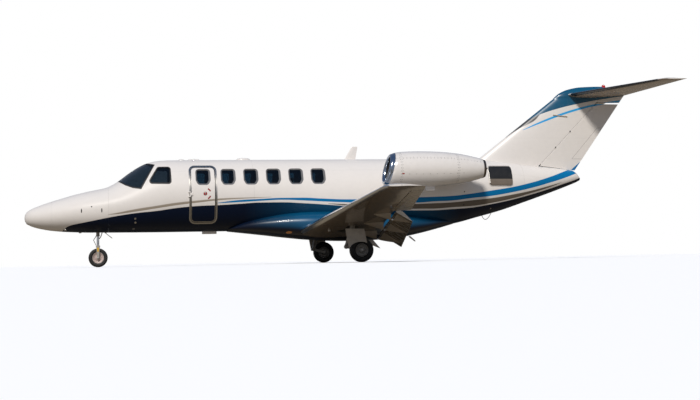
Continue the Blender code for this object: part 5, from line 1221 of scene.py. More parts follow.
fairing = {"points": 128, "step": 0.07, "rows": ((4.85, 0.3, -0.78, -0.89, -0.83, 2.0, 2.0),
    (5.2, 0.56, -0.6, -0.93, -0.78, 2.1, 2.2), (5.7, 0.76, -0.48, -0.988, -0.76, 2.3, 2.4),
    (6.3, 0.9, -0.4, -1.062, -0.76, 2.5, 2.6), (6.9, 0.98, -0.38, -1.122, -0.77, 2.6, 2.8),
    (7.8, 1.0, -0.4, -1.165, -0.78, 2.6, 2.8), (8.6, 0.94, -0.44, -1.15, -0.79, 2.5, 2.6),
    (9.2, 0.83, -0.5, -1.095, -0.79, 2.3, 2.4), (9.7, 0.68, -0.56, -1.0, -0.78, 2.2, 2.2),
    (10.2, 0.46, -0.62, -0.88, -0.74, 2.0, 2.0), (10.55, 0.22, -0.68, -0.785, -0.735, 2.0, 2.0),)}
wrap = newObject("bellyFairing", bodyShape(fairing, 4.85, 10.55), [fairingPaint])
carve(wrap, [bodyShape(fuselage, 4.0, 11.5, seam)], material=fairingPaint)
settle(wrap, "body", "blue_paint", "belly_fairing")
print("belly made")

# small marks on the skin: name, station, waterline, half width, half height, how proud, material, sides
skinMarks = (("noseLatchFront", 1.349, -0.358, 0.014, 0.052, 0.0012, matBlack, (-1, 1)),
    ("noseLatchRear", 1.822, -0.355, 0.014, 0.052, 0.0012, matBlack, (-1, 1)),
    ("noseDot", 1.587, -0.265, 0.016, 0.016, 0.001, matBlack, (-1, 1)),
    ("staticPortUpper", 2.602, -0.562, 0.024, 0.024, 0.0015, brushed, (-1, 1)),
    ("staticPortLower", 2.606, -0.653, 0.024, 0.024, 0.0015, brushed, (-1, 1)),
    ("ventMark", 2.563, -0.8, 0.03, 0.018, 0.0015, bezelGrey, (-1, 1)),
    ("tailMarkUpper", 10.715, 0.003, 0.016, 0.016, 0.0012, matBlack, (-1, 1)),
    ("tailMarkLower", 10.711, -0.322, 0.016, 0.016, 0.0012, matBlack, (-1, 1)),
    ("tailScrew", 11.483, -0.412, 0.013, 0.013, 0.0012, brushed, (-1, 1)),)
for name, station, waterline, halfWidth, halfHeight, proud, material, signs in skinMarks:
    outline = ovalOutline(station, waterline, halfWidth, halfHeight, 2.0 if halfWidth > 0.013 else 2.6, 32)
    makePiece(name, flatten([skinPlate(outline, sign, -proud, 0.006, 3) for sign in signs]), material, "body",
        "trim", "cabin_shell" if 2 < station < 8.9 else "nose_section" if station < 2 else "tail_cone")
lamp = ovalOutline(6.27, -0.95, 0.07, 0.03, 2.0, 32)
makePiece("bellyLamp", flatten([skinPlate(lamp, sign, -0.006, 0.01, 4, fairing) for sign in (-1, 1)]),
    lampGlass, "body", "glass", "belly_fairing")

probe = {"foot": (0.94, 0.3, -0.73), "end": (0.967, 0.34, -0.8), "radius": 0.03}
parts = []
for sign in (-1, 1):
    foot, end = (at(s, sign * side, w) for s, side, w in (probe["foot"], probe["end"]))
    ball = bmesh.new()
    bmesh.ops.create_uvsphere(ball, u_segments=24, v_segments=16, radius=probe["radius"],
        matrix=Matrix.Translation(end))
    parts += [tubeShape([foot, foot.lerp(end, 0.5), end], 0.011, 16), ball]
makePiece("noseProbes", flatten(parts), brushed, "body", "bare_metal", "nose_section")
print("small items made")

# wing, flap and aileron

wing = {
    # side, leading edge station, trailing edge station, leading edge waterline, thickness share, twist
    "rows": (
        (0.7, 6.52, 8.998, -0.921, 0.138, 2.5), (1.38, 6.57, 8.894, -0.861, 0.135, 2.3),
        (4.6, 6.804, 8.401, -0.579, 0.125, 0.3), (7.7, 7.028, 7.927, -0.308, 0.115, 0.0),
        (8.0, 7.05, 7.88, -0.282, 0.105, 0.0), (8.13, 7.13, 7.79, -0.272, 0.05, 0.0),
    ),
    "camber": 0.018, "points": 28, "step": 0.32, "inner": 1.17, "outer": 4.57, "nose": 0.735, "wall": 0.715,
    "lip": 0.8, "hinge": 0.755, "drop": 0.085, "rest": 35.0, "kites": (1.6, 2.98, 4.36), "clear": 0.008,
    "coveEnd": 4.612, "aileronInner": 4.635, "aileronOuter": 7.62, "aileronHinge": 0.74, "gap": 0.009,
    "tubeRadius": 0.009, "jackPad": (7.05, 2.0, -0.966), "aileronHinges": (4.95, 6.15, 7.35),
    "tipSides": (8.04, 8.08, 8.11), "well": (7.58, 1.86, 0.31),
    "legSlot": ((7.36, 1.9, -1.4), (7.66, 2.72, -0.78)),
}


def linearRow(rows, key):
    k = max(i for i in range(len(rows) - 1) if rows[i][0] <= key or i == 0)
    t = (key - rows[k][0]) / (rows[k + 1][0] - rows[k][0])
    return [a + (b - a) * t for a, b in zip(rows[k], rows[k + 1])]


def halfThickness(share, thickness):
    s = min(max(share, 0.0), 1.0)
    shape = 0.2969 * sqrt(s) - 0.126 * s - 0.3516 * s ** 2 + 0.2843 * s ** 3 - 0.1036 * s ** 4
    return 5 * thickness * shape + 0.0012 * s


def aerofoil(thickness, camber, points):
    shares = [0.5 + 0.5 * cos(pi * k / points) for k in range(points + 1)]
    upper = [(s, 4 * camber * s * (1 - s) + halfThickness(s, thickness)) for s in shares]
    lower = [(s, 4 * camber * s * (1 - s) - halfThickness(s, thickness)) for s in reversed(shares[:-1])]
    return upper + lower


def wingPoint(side, share, height):
    lead, trail, waterline, thickness, degrees = linearRow(wing["rows"], side)[1:]
    along, up, angle = share * (trail - lead), height * (trail - lead), radians(degrees)
    return at(lead + along * cos(angle) + up * sin(angle), side, waterline - along * sin(angle)
        + up * cos(angle))


def wingChord(side):
    row = linearRow(wing["rows"], side)
    return row[2] - row[1]


def wingSurface(side, share, upper):
    thickness = linearRow(wing["rows"], side)[4]
    return 4 * wing["camber"] * share * (1 - share) + halfThickness(share, thickness) * (1 if upper else -1)


def wingRing(side, points=None):
    return [wingPoint(side, s, h) for s, h in aerofoil(linearRow(wing["rows"], side)[4], wing["camber"],
        points or wing["points"])]


def spanSides(low, high, step, rows):
    sides = sorted({low, high} | {r[0] for r in rows if low < r[0] < high})
    return sorted({s for a, b in zip(sides, sides[1:]) for s in spread(a, b, step)})


def flapHinge(side):
    ends = [wingPoint(s, wing["hinge"], wingSurface(s, wing["hinge"], False) - wing["drop"]) for s
        in (wing["inner"], wing["outer"])]
    return ends[0].lerp(ends[1], (side - wing["inner"]) / (wing["outer"] - wing["inner"]))


def flapArc(side, less, steps=14):
    # points on the arc about the flap's hinge, from the cove's wall back to the lip
    centre = Vector((wing["hinge"], wingSurface(side, wing["hinge"], False) - wing["drop"]))
    lip = Vector((wing["lip"], wingSurface(side, wing["lip"], True) - 0.0035))
    radius = (lip - centre).length - less
    last = atan2(lip.y - centre.y, lip.x - centre.x)
    first = atan2(sqrt(radius ** 2 - (wing["wall"] - centre.x) ** 2), wing["wall"] - centre.x)
    return [(centre.x + radius * cos(first + (last - first) * k / steps), centre.y
        + radius * sin(first + (last - first) * k / steps)) for k in range(steps + 1)]


def coveRing(side):
    outline = [(wing["wall"], -0.3), *flapArc(side, 0.0), (wing["lip"], 0.3), (1.2, 0.3), (1.2, -0.3)]
    return [wingPoint(side, s, h) for s, h in outline]


def flapRing(side):
    clear = wing["clear"] / wingChord(side)
    low = wingSurface(side, wing["nose"] + 0.02, False)
    middle = wingSurface(side, wing["nose"], False) + 0.018
    tops = [p for p in flapArc(side, clear) if p[0] > wing["nose"] + 0.012]
    upper = [(s, wingSurface(side, s, True)) for s in (wing["lip"] + clear, 0.83, 0.87, 0.91, 0.95, 0.98,
        1.0)]
    under = [(s, wingSurface(side, s, False)) for s in (1.0, 0.96, 0.92, 0.88, 0.83, 0.79)]
    front = [(wing["nose"] + 0.02, low), (wing["nose"] + 0.01, low + (middle - low) * 0.12),
        (wing["nose"] + 0.002, middle - 0.008), (wing["nose"], middle),
        (wing["nose"] + 0.003, middle + 0.006)]
    return [wingPoint(side, s, h) for s, h in (*tops, *upper, *under, *front)]


def kiteShape(side, moving, steps=10):
    # half of a flap hinge's fairing: round-bellied, wide at the hinge and drawn out to a point
    chord = wingChord(side)
    near = wing["hinge"] + (0.026 if moving else -0.034) / chord
    far = 0.985 if moving else 0.5
    root = near if moving else min(near, wing["wall"])
    deep = wingSurface(side, wing["hinge"], False) - wing["drop"] - 0.01 / chord
    nearRoof = wingSurface(side, root, False) + (0.008 if moving else 0.001)
    farSkin = wingSurface(side, far, False)
    rings = []
    for k in range(steps + 1):
        t = k / steps
        share = near + (far - near) * t
        keel = deep + (farSkin + 0.002 - deep) * t ** 1.12
        roof = nearRoof + (farSkin + 0.013 - nearRoof) * t
        half = 0.054 + (0.013 - 0.054) * t
        section = [(-1.0, 0.0)] + [(cos(pi - a), sin(a)) for a in [pi * i / 18 for i
            in range(1, 18)]] + [(1.0, 0.0)]
        rings.append([wingPoint(side + half * across * (1 - 0.12 * down), share, roof
            + (keel - roof) * down ** 0.75) for across, down in section])
    return loftRings(rings)


def lugShape(side, moving):
    here, chord = flapHinge(side), wingChord(side)
    along = (flapHinge(side + 0.1) - here).normalized()
    start, end = (seam / 2, 0.025) if moving else (-0.025, -seam)
    boss = rodShape(here + along * start, here + along * end, 0.02, 32, bevel=0.003)
    share = wing["hinge"] + (0.085 if moving else -0.085) / chord
    root = wingPoint(side, share, wingSurface(side, wing["hinge"], False) - wing["drop"] * 0.62)
    middle = along * (start + end) / 2
    return flatten([boss, rodShape(here + middle, root + middle, 0.009, 20)])


def slabShape(points, up, half):
    rise = Vector(up) * half
    return loftRings([[p - rise for p in points], [p + rise for p in points]])


def behindShape(corners, up, nudge=0.004):
    # all that lies behind a hinge line: its two ends move aft by the nudge, the rear corners stay
    ahead = Vector((nudge, 0, 0))
    return slabShape([corners[0] + ahead, corners[1] + ahead, *corners[2:]], up, 0.4)


def coneShape(ends, radii, before, after, grow, segments=40):
    first, last = ends
    run = last - first
    along, taper = run.normalized(), (radii[1] - radii[0]) / run.length
    return rodShape(first - along * before, last + along * after, radii[0] - taper * before + grow, segments,
        radii[1] + taper * after + grow)


def controlSurface(name, whole, ends, radii, corners, up, material, pins, gap):
    # what lies behind a hinge line, with a round nose and a pin at its ends
    along = (ends[1] - ends[0]).normalized()
    piece = newObject(name, whole, [material])
    carve(piece, [behindShape(corners, up, 0.003)], "INTERSECT", material=material)
    carve(piece, [coneShape(ends, radii, 0, 0, -0.003)], "UNION", material=material)
    reach = along * (gap - seam)
    for wanted, start, end in ((pins[0], ends[0] + along * 0.01, ends[0] - reach),
            (pins[1], ends[1] - along * 0.01, ends[1] + reach)):
        if wanted:
            carve(piece, [rodShape(start, end, 0.0118, 20)], "UNION", material=material)
    return piece


def portTwin(piece, body, slot, *nodes):
    # the same piece turned over to the port side
    mesh = piece.data.copy()
    mesh.transform(Matrix.Scale(-1, 4, (0, 1, 0)))
    mesh.flip_normals()
    twin = bpy.data.objects.new(piece.name.replace("Right", "Left"), mesh)
    bpy.context.scene.collection.objects.link(twin)
    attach(twin, body)
    if nodes:
        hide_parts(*nodes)
    madePieces.append(twin.name)
    return twin


def bothSides(piece, body, slot, *nodes, degrees=32.0):
    # settles a starboard piece and makes its port twin; names that end in _ get right or left
    def sided(name, word):
        return name + word if name.endswith("_") else name

    settle(piece, sided(body, "right"), slot, *[sided(n, "right") for n in nodes], degrees=degrees)
    return portTwin(piece, sided(body, "left"), slot, *[sided(n, "left") for n in nodes])


def makePair(name, bm, material, body, slot, *nodes, degrees=32.0):
    return bothSides(newObject(name + "Right", bm, [material]), body, slot, *nodes, degrees=degrees)


def makeWing():
    w = wing
    sides = spanSides(0.7, 8.13, w["step"], w["rows"])
    sides = sorted(set(sides) | set(w["tipSides"]))
    skin = newObject("wingSkinRight", loftRings([wingRing(s) for s in sides]), [wingSkin, wellPaint])
    carve(skin, [loftRings([coveRing(s) for s in (w["inner"] - 0.02, w["coveEnd"])])], material=wellPaint)
    ends = [wingPoint(s, w["aileronHinge"], 4 * w["camber"] * w["aileronHinge"] * (1 - w["aileronHinge"]))
        for s in (w["aileronInner"], w["aileronOuter"])]
    radii = [halfThickness(w["aileronHinge"], linearRow(w["rows"], s)[4]) * wingChord(s) for s
        in (w["aileronInner"], w["aileronOuter"])]
    mean = 4 * w["camber"] * w["aileronHinge"] * (1 - w["aileronHinge"])
    corners = [*ends, wingPoint(w["aileronOuter"], 1.15, mean), wingPoint(w["aileronInner"], 1.15, mean)]
    whole = loftRings([wingRing(s) for s in spanSides(4.5, 7.8, w["step"], w["rows"])])
    aileron = controlSurface("aileronRight", whole, ends, radii, corners, (0, 0, 1), flapSkin, (False, True),
        w["gap"])
    bothSides(aileron, "aileron_", "white_paint", "aileron_")
    wide = [wingPoint(w["aileronInner"] - 0.03, w["aileronHinge"], mean),
        wingPoint(w["aileronOuter"] + w["gap"], w["aileronHinge"], mean),
        wingPoint(w["aileronOuter"] + w["gap"], 1.2, mean), wingPoint(w["aileronInner"] - 0.03, 1.2, mean)]
    carve(skin, [coneShape(ends, radii, w["gap"], w["gap"], w["gap"], 48), behindShape(wide, (0, 0, 1))],
        material=wellPaint)
    station, side, radius = w["well"]
    carve(skin, [rodShape(at(station, side, -1.5), at(station, side, -0.83), radius, 64),
        blockShape(*(at(*corner) for corner in w["legSlot"])), bodyShape(fairing, 4.85, 10.55, seam),
        bodyShape(fuselage, 4.0, 11.5, seam)], material=wellPaint)
    bothSides(skin, "body", "white_paint", "wing_")

    turn = (Matrix.Translation(flapHinge(w["inner"])) @ Matrix.Rotation(radians(w["rest"]), 4,
        (flapHinge(w["outer"]) - flapHinge(w["inner"])).normalized()) @ Matrix.Translation(
        -flapHinge(w["inner"])))

    def fixedPiece(name, bm, material, slot):
        makePair(name, bm, material, "body", slot, "wing_")

    def movingPiece(name, bm, material, slot):
        bmesh.ops.transform(bm, matrix=turn, verts=bm.verts)
        makePair(name, bm, material, "flap_", slot, "flap_")

    ends = 0.012
    movingPiece("flapSkin", loftRings([flapRing(s) for s in spanSides(w["inner"] + ends, w["outer"] - ends,
        w["step"], w["rows"])]), flapSkin, "white_paint")
    caps = [loftRings([flapRing(s) for s in pair]) for pair in ((w["inner"], w["inner"] + ends - 0.0006),
        (w["outer"] - ends + 0.0006, w["outer"]))]
    movingPiece("flapEnds", flatten(caps), whitePaint, "white_paint")
    fixedPiece("kiteFront", flatten([kiteShape(s, False) for s in w["kites"]]), kitePaint, "white_paint")
    movingPiece("kiteRear", flatten([kiteShape(s, True) for s in w["kites"]]), kitePaint, "white_paint")
    fixedPiece("flapLugsFixed", flatten([lugShape(s, False) for s in w["kites"]]), chrome, "bare_metal")
    movingPiece("flapLugsMoving", flatten([lugShape(s, True) for s in w["kites"]]), chrome, "bare_metal")
    first, last = flapHinge(w["kites"][0]), flapHinge(w["kites"][2])
    fixedPiece("flapTorqueTube", rodShape(first, last, w["tubeRadius"], 24), chrome, "bare_metal")
    face = at(*w["jackPad"])
    fixedPiece("wingJackPad", rodShape(face, face + Vector((0, 0, 0.05)), 0.032, 32, bevel=0.002), brushed,
        "bare_metal")
    hinges = []
    for s in w["aileronHinges"]:
        here = wingPoint(s, w["aileronHinge"] - 0.012, wingSurface(s, w["aileronHinge"] - 0.012, False))
        hinges.append(blockShape(here - Vector((0.035, 0.01, 0.004)), here + Vector((0.012, 0.01, 0.01)),
            0.003))
    fixedPiece("aileronHinges", flatten(hinges), brushed, "bare_metal")
    print("wing and flap made")


kitePaint = finishMaterial("kitePaint", (0.46, 0.39, 0.31), 0.26, coat=0.3, dirt=0.22,
    dirtColour=(0.1, 0.08, 0.06), toneSpread=0.06)
makeWing()

# engines

engine = {
    "slopeEnd": 9.05, "segments": 96,
    # station, radius
    "outer": ((8.585, 0.352), (8.61, 0.3665), (8.66, 0.386), (8.76, 0.403), (8.88, 0.415), (9.12, 0.427),
              (9.38, 0.43), (9.64, 0.426), (9.9, 0.416), (10.15, 0.395), (10.4, 0.364), (10.64, 0.318),
              (10.85, 0.268), (10.94, 0.241), (10.944, 0.2385), (10.956, 0.2385), (10.96, 0.236),
              (11.03, 0.212)),
    "duct": ((11.03, 0.2025), (10.8, 0.21), (10.5, 0.23), (10.2, 0.258), (9.9, 0.289), (9.6, 0.2895),
             (9.2, 0.2875), (8.92, 0.286), (8.78, 0.286), (8.7, 0.288), (8.64, 0.294)),
    "lipCentre": (8.648, 0.3325), "lipLong": 0.076, "lipHalf": 0.042,
    "fanFront": 9.13, "blades": 24, "bladeThick": (0.0045, 0.007),
    "bladeSection": ((-1, 0), (-0.6, 0.8), (0, 1), (0.6, 0.8), (1, 0), (0.6, -0.8), (0, -1), (-0.6, -0.8)),
    # radius, pitch in degrees, chord
    "blade": ((0.088, 40, 0.074), (0.14, 47, 0.084), (0.2, 54, 0.09), (0.25, 58, 0.088), (0.279, 60, 0.08)),
    "spinner": ((8.985, 0.0005), (8.99, 0.016), (9.0, 0.028), (9.02, 0.045), (9.045, 0.061), (9.07, 0.075),
                (9.1, 0.087), (9.13, 0.094), (9.294, 0.094), (9.2995, 0.088), (9.2995, 0.001)),
    "core": ((9.3, 0.001), (9.3, 0.2865), (9.85, 0.2885), (9.87, 0.284), (9.95, 0.2), (10.15, 0.182),
             (10.4, 0.16), (10.64, 0.136), (10.66, 0.13), (10.665, 0.118), (10.8, 0.112), (10.9, 0.104),
             (11.0, 0.068), (11.085, 0.03), (11.108, 0.01), (11.11, 0.001)),
    "nozzle": ((10.965, 0.2346), (10.967, 0.2362), (11.03, 0.213), (11.027, 0.2105), (10.969, 0.23)),
    # front, rear, waterline and thickness of the pylon; count, first station and spacing of the latches
    "pylon": (9.3, 10.85, 0.47, 0.15), "latches": (9, 9.06, 0.17),
}


def engineCentre(station=0.0):
    return at(station, airframe["engineSide"], airframe["engineHeight"] - airframe["axisHeight"])


def leanLip(bm):
    # the inlet leans back at the top, and this fades out behind it
    centre, first, last = engineCentre(), at(8.57, 0, 0).x, at(engine["slopeEnd"], 0, 0).x
    for vert in bm.verts:
        fade = min(1.0, max(0.0, (last - vert.co.x) / (last - first)))
        fade = fade * fade * (3 - 2 * fade)
        vert.co.x += (vert.co.z - centre.z) * airframe["inletSlope"] * fade
    return bm


def around(profile, closed=False, segments=None):
    centre = engineCentre()
    return turned(profile, centre, (1, 0, 0), segments or engine["segments"], closed)


def makeEngines():
    e = engine
    middle, radius = e["lipCentre"]
    lip = [(middle - e["lipLong"] * sin(pi * k / 16), radius - e["lipHalf"] * cos(pi * k / 16)) for k
        in range(17)]
    outer = [p for p in e["outer"] if p[0] > middle + 0.005]
    profile = [*lip, *outer, *e["duct"]]
    shell = newObject("nacelleRight", leanLip(around(profile, closed=True)), [nacelleSkin])
    bothSides(shell, "body", "white_paint", "nacelle_", degrees=40)

    makePair("nozzleRing", around(e["nozzle"], closed=True), heatMetal, "body", "dark_metal", "nacelle_")
    makePair("engineCore", around(e["core"]), heatMetal, "body", "dark_metal", "engine_")

    parts = [around(e["spinner"], segments=64)]
    thick, bow = e["bladeThick"]
    for k in range(e["blades"]):
        angle = 2 * pi * k / e["blades"]
        outward, about = Vector((0, cos(angle), sin(angle))), Vector((0, -sin(angle), cos(angle)))
        rings = []
        for radius, pitch, chord in e["blade"]:
            lean = Vector((cos(radians(pitch)), 0, 0)) + about * sin(radians(pitch))
            normal = lean.cross(outward).normalized()
            mid = engineCentre(e["fanFront"] + 0.055) + outward * radius
            rings.append([mid + lean * chord / 2 * a + normal * (thick * b + bow * (1 - a * a))
                for a, b in e["bladeSection"]])
        parts.append(loftRings(rings))
    fan = newObject("fanRight", flatten(parts), [polished])
    bothSides(fan, "fan_", "bare_metal", "fan_", degrees=40)

    front, rear, line, thick = e["pylon"]
    outline = []
    for k in range(40):
        share = 0.5 + 0.5 * cos(2 * pi * k / 40)
        up = thick / 2 * 2.6 * (sqrt(share) - share) * (1 if sin(2 * pi * k / 40) >= 0 else -1)
        outline.append((front + (rear - front) * share, line + up))
    pylon = newObject("pylonRight", loftRings([[at(s, side, w) for s, w in outline] for side
        in spread(0.56, 1.4, 0.12)]), [whitePaint])
    body = around([(8.57, 0.001), *[(s, r + 0.0006) for s, r in e["outer"]], (11.03, 0.001)])
    carve(pylon, [body, bodyShape(fuselage, 8.0, 12.5, seam)], material=whitePaint)
    bothSides(pylon, "body", "white_paint", "pylon_")

    latches = []
    count, first, apart = e["latches"]
    for k in range(count):
        spot = engineCentre(first + apart * k)
        outward = Vector((0, 0.94, -0.34)).normalized()
        radius = smoothRow(e["outer"], first + apart * k)[1]
        mid = spot + outward * radius
        latches.append(rodShape(mid - outward * 0.004, mid + outward * 0.0012, 0.01, 20, bevel=0.0004))
    makePair("cowlLatches", flatten(latches), brushed, "body", "bare_metal", "nacelle_")
    box = blockShape(at(9.6, 1.385, 0.09), at(9.7, 1.415, 0.105), 0.003)
    drain = tubeShape([at(9.62, 1.4, 0.1), at(9.64, 1.4, 0.06), at(9.68, 1.4, 0.045)], 0.006, 12)
    makePair("drainMast", flatten([box, drain]), brushed, "body", "bare_metal", "nacelle_")
    print("engines made")


makeEngines()

# thrust paddles

paddle = {"front": 11.4, "rear": 12.02, "foot": 0.17, "head": 0.655, "thick": 0.03, "clear": 0.006,
    "corner": 0.06, "frame": 0.016}


def paddleHinge():
    p = paddle
    foot, head = (Vector((skinSide(p["front"], w), w)) for w in (p["foot"] + 0.05, p["head"] - 0.05))
    run = (head - foot).normalized()
    normal = Vector((run.y, -run.x))
    bulge = 0.0
    for k in range(9):
        w = foot.y + (head.y - foot.y) * k / 8
        bulge = max(bulge, (Vector((skinSide(p["front"], w), w)) - foot).dot(normal))
    shift = normal * (bulge + 0.016)
    return foot + shift, head + shift, normal


def lugShapes(grow):
    foot, head, normal = paddleHinge()
    run = (head - foot).normalized()
    shapes = []
    for start, end in ((foot - run * 0.022, foot), (head, head + run * 0.022)):
        middle = (start + end) / 2
        spots = [at(paddle["front"], p.x, p.y) for p in (start - run * grow, end + run * grow, middle, middle
            - normal * 0.075)]
        shapes += [rodShape(spots[0], spots[1], 0.012 + grow, 24),
            rodShape(spots[2], spots[3], 0.008 + grow, 20)]
    return shapes


def makePaddles():
    p = paddle
    outline = roundedOutline(((p["front"], p["foot"]), (p["rear"], p["foot"]), (p["rear"], p["head"]),
        (p["front"], p["head"])), p["corner"])
    plate = newObject("paddleRight", bodyShape(fuselage, 11.2, 12.3, p["clear"] + p["thick"], 128, 0.05),
        [sootPlate])
    carve(plate, [bodyShape(fuselage, 11.1, 12.4, p["clear"], 128, 0.05)], material=sootPlate)
    carve(plate, [plateShape(outline, 0.1, 1.2)], "INTERSECT", material=sootPlate)
    carve(plate, lugShapes(0.006), material=sootPlate)
    bothSides(plate, "paddle_", "panel_black", "paddle_")
    foot, head, normal = paddleHinge()
    run = (head - foot).normalized() * seam
    barrel = rodShape(at(p["front"], *(foot + run)), at(p["front"], *(head - run)), 0.01, 24)
    makePair("paddleBarrel", barrel, brushed, "paddle_", "panel_black", "paddle_")
    makePair("paddleLugs", flatten(lugShapes(0.0)), whitePaint, "body", "white_paint", "tail_cone")
    outer = denser(grownOutline(outline, 0.03))
    inner = grownOutline(outer, -p["frame"])
    frameBand = frameShape([skinRing(outer, 1, 0.004), skinRing(outer, 1, -0.01), skinRing(inner, 1, -0.01),
        skinRing(inner, 1, 0.004)])
    makePair("paddleSurround", frameBand, whitePaint, "body", "white_paint", "tail_cone", degrees=50)
    print("paddles made")


makePaddles()

# fin, rudder, tailplane and elevators

finTable = {"rows": ((0.4, 10.68, 13.765, 0.085), (0.93, 11.38, 14.15, 0.09), (2.56, 13.533, 15.329, 0.095)),
    "rudderLow": 0.681, "footFall": 0.12, "rudderTop": 2.29, "topGap": 0.04, "gap": 0.009,
    "hingeFoot": (12.895, 0.66), "hingeHead": (14.505, 2.29), "points": 26, "step": 0.16,
    "brackets": ((13.494, 1.161), (13.881, 1.576)), "strake": (13.302, 1.996, 0.386, -0.04, 12)}
cap = {"points": 64, "step": 0.06, "rows": ((13.36, 0.02, 2.44, 2.4, 2.42, 2.0, 2.0),
    (13.5, 0.06, 2.56, 2.38, 2.45, 2.0, 2.0), (13.75, 0.088, 2.67, 2.38, 2.5, 2.0, 2.0),
    (14.1, 0.1, 2.735, 2.4, 2.52, 2.0, 2.0), (14.6, 0.096, 2.755, 2.42, 2.53, 2.0, 2.0),
    (15.0, 0.07, 2.69, 2.45, 2.53, 2.0, 2.0), (15.27, 0.02, 2.57, 2.49, 2.53, 2.0, 2.0)),
    "beacon": (14.745, 2.735, 0.11, 0.075, 0.07)}
plane = {"rows": ((0.0, 13.7, 15.31, 0.09), (3.0, 14.93, 15.567, 0.09), (3.11, 14.98, 15.58, 0.08),
    (3.156, 15.06, 15.59, 0.04)), "waterline": 2.525, "inner": 0.17, "outer": 2.93, "hinge": 0.66,
    "gap": 0.009, "points": 26, "step": 0.3}


def finRing(w):
    lead, trail, thickness = linearRow(finTable["rows"], w)[1:]
    return [at(lead + s * (trail - lead), h * (trail - lead), w) for s, h
        in aerofoil(thickness, 0.0, finTable["points"])]


def finHalf(station, w):
    lead, trail, thickness = linearRow(finTable["rows"], w)[1:]
    return halfThickness((station - lead) / (trail - lead), thickness) * (trail - lead)


def rudderHinge(w):
    foot, head = Vector(finTable["hingeFoot"]), Vector(finTable["hingeHead"])
    return foot.x + (head.x - foot.x) * (w - foot.y) / (head.y - foot.y)


def planeRing(side, grow=0.0):
    lead, trail, thickness = linearRow(plane["rows"], abs(side))[1:]
    ring = []
    for share, height in aerofoil(thickness, 0.0, plane["points"]):
        push = grow * (0 if abs(height) < 1e-9 else 1 if height > 0 else -1)
        ring.append(at(lead - grow + share * (trail - lead + 2 * grow), side, plane["waterline"]
            + height * (trail - lead) + push))
    return ring


def planeShape(grow=0.0, low=None, high=3.156):
    sides = spanSides(0.0 if low is None else low, high, plane["step"], plane["rows"])
    both = sides if low is not None else [-s for s in reversed(sides)] + sides[1:]
    return loftRings([planeRing(s, grow) for s in both])


def makeFin():
    f = finTable
    top = plane["waterline"] + 0.03
    heights = spanSides(0.4, top, f["step"], f["rows"])
    low, high = f["rudderLow"], f["rudderTop"]
    stations = [rudderHinge(w) for w in (low, high)]
    ends = [at(s, 0, w) for s, w in zip(stations, (low, high))]
    along = (ends[1] - ends[0]).normalized()
    radii = [finHalf(s, w) * 0.96 for s, w in zip(stations, (low, high))]
    rearLow = low - f["footFall"] * (16.2 - stations[0])
    corners = [*ends, at(16.2, 0, high), at(16.2, 0, rearLow)]
    rudder = newObject("rudderSkin", loftRings([finRing(w) for w in heights]), [finSkin])
    carve(rudder, [behindShape(corners, (0, 1, 0))], "INTERSECT", material=finSkin)
    pinEnd = ends[1] + along * (f["topGap"] / abs(along.z) - 0.003 - seam)
    carve(rudder, [coneShape(ends, radii, -0.05, -0.05, -0.003)], "UNION", material=finSkin)
    carve(rudder, [rodShape(ends[1] - along * 0.06, pinEnd, 0.01, 24)], "UNION", material=finSkin)
    settle(rudder, "rudder", "white_paint", "rudder")
    fin = newObject("finSkinPiece", loftRings([finRing(w) for w in heights]), [finSkin, matBlack])
    carve(fin, [bodyShape(cap, 13.36, 15.27)], "UNION", material=finSkin)
    gapLow, gapHigh = low - 0.4, high + f["topGap"]
    wide = [at(rudderHinge(w), 0, w) for w in (gapLow, gapHigh)] + [at(16.4, 0, gapHigh), at(16.4, 0, gapLow)]
    carve(fin, [coneShape(ends, radii, 0.3, f["topGap"] / abs(along.z) - 0.003, f["gap"], 48),
        behindShape(wide, (0, 1, 0))], material=matBlack)
    level = plane["waterline"]
    carve(fin, [bodyShape(fuselage, 9.0, 13.99, seam), planeShape(seam),
        blockShape(at(13.0, -0.5, level), at(15.9, 0.5, 3.0))], material=finSkin)
    settle(fin, "body", "white_paint", "fin")
    hood = newObject("finCap", bodyShape(cap, 13.36, 15.27), [finBlueSkin])
    carve(hood, [blockShape(at(13.0, -0.5, level + seam), at(15.6, 0.5, 3.0))], "INTERSECT",
        material=finBlueSkin)
    carve(hood, [planeShape(seam)], material=finBlueSkin)
    settle(hood, "body", "blue_paint", "fin_cap")
    s, w, length, width, height = cap["beacon"]
    makePiece("tailBeacon", domeShape(s, w, length, width, height, 2.1), redLamp, "body", "glass", "fin_cap")
    brackets, dots = [], []
    for s, w in f["brackets"]:
        for sign in (-1, 1):
            spot = at(rudderHinge(w) - 0.01, 0, w)
            side = finHalf(rudderHinge(w), w)
            brackets.append(blockShape(spot + Vector((-0.13, sign * side - 0.005, -0.03)), spot
                + Vector((-0.004, sign * side + 0.005, 0.03)), 0.004, 3))
            pin = spot + Vector((-0.026, sign * (side + 0.003), 0.0))
            dots.append(rodShape(pin, pin + Vector((0, sign * 0.005, 0)), 0.018, 20))
    makePiece("rudderBrackets", flatten(brackets), whitePaint, "body", "white_paint", "fin")
    makePiece("rudderBolts", flatten(dots), matBlack, "body", "dark_metal", "fin")
    # a flat strake on each side of the fin
    strakes = []
    for sign in (-1, 1):
        front, head, long, fall, steps = f["strake"]
        line = [(front + long * k / steps, head + fall * k / steps) for k in range(steps + 1)]
        edge = [(s, w, finHalf(s, w)) for s, w in line]
        strakes.append(loftRings([[at(s, sign * (skin - 0.004), w - 0.012),
            at(s, sign * (skin + 0.022), w - 0.009), at(s, sign * (skin + 0.022), w + 0.009),
            at(s, sign * (skin - 0.004), w + 0.012)] for s, w, skin in edge]))
    makePiece("finStrakes", flatten(strakes), kitePaint, "body", "white_paint", "fin")
    print("fin made")


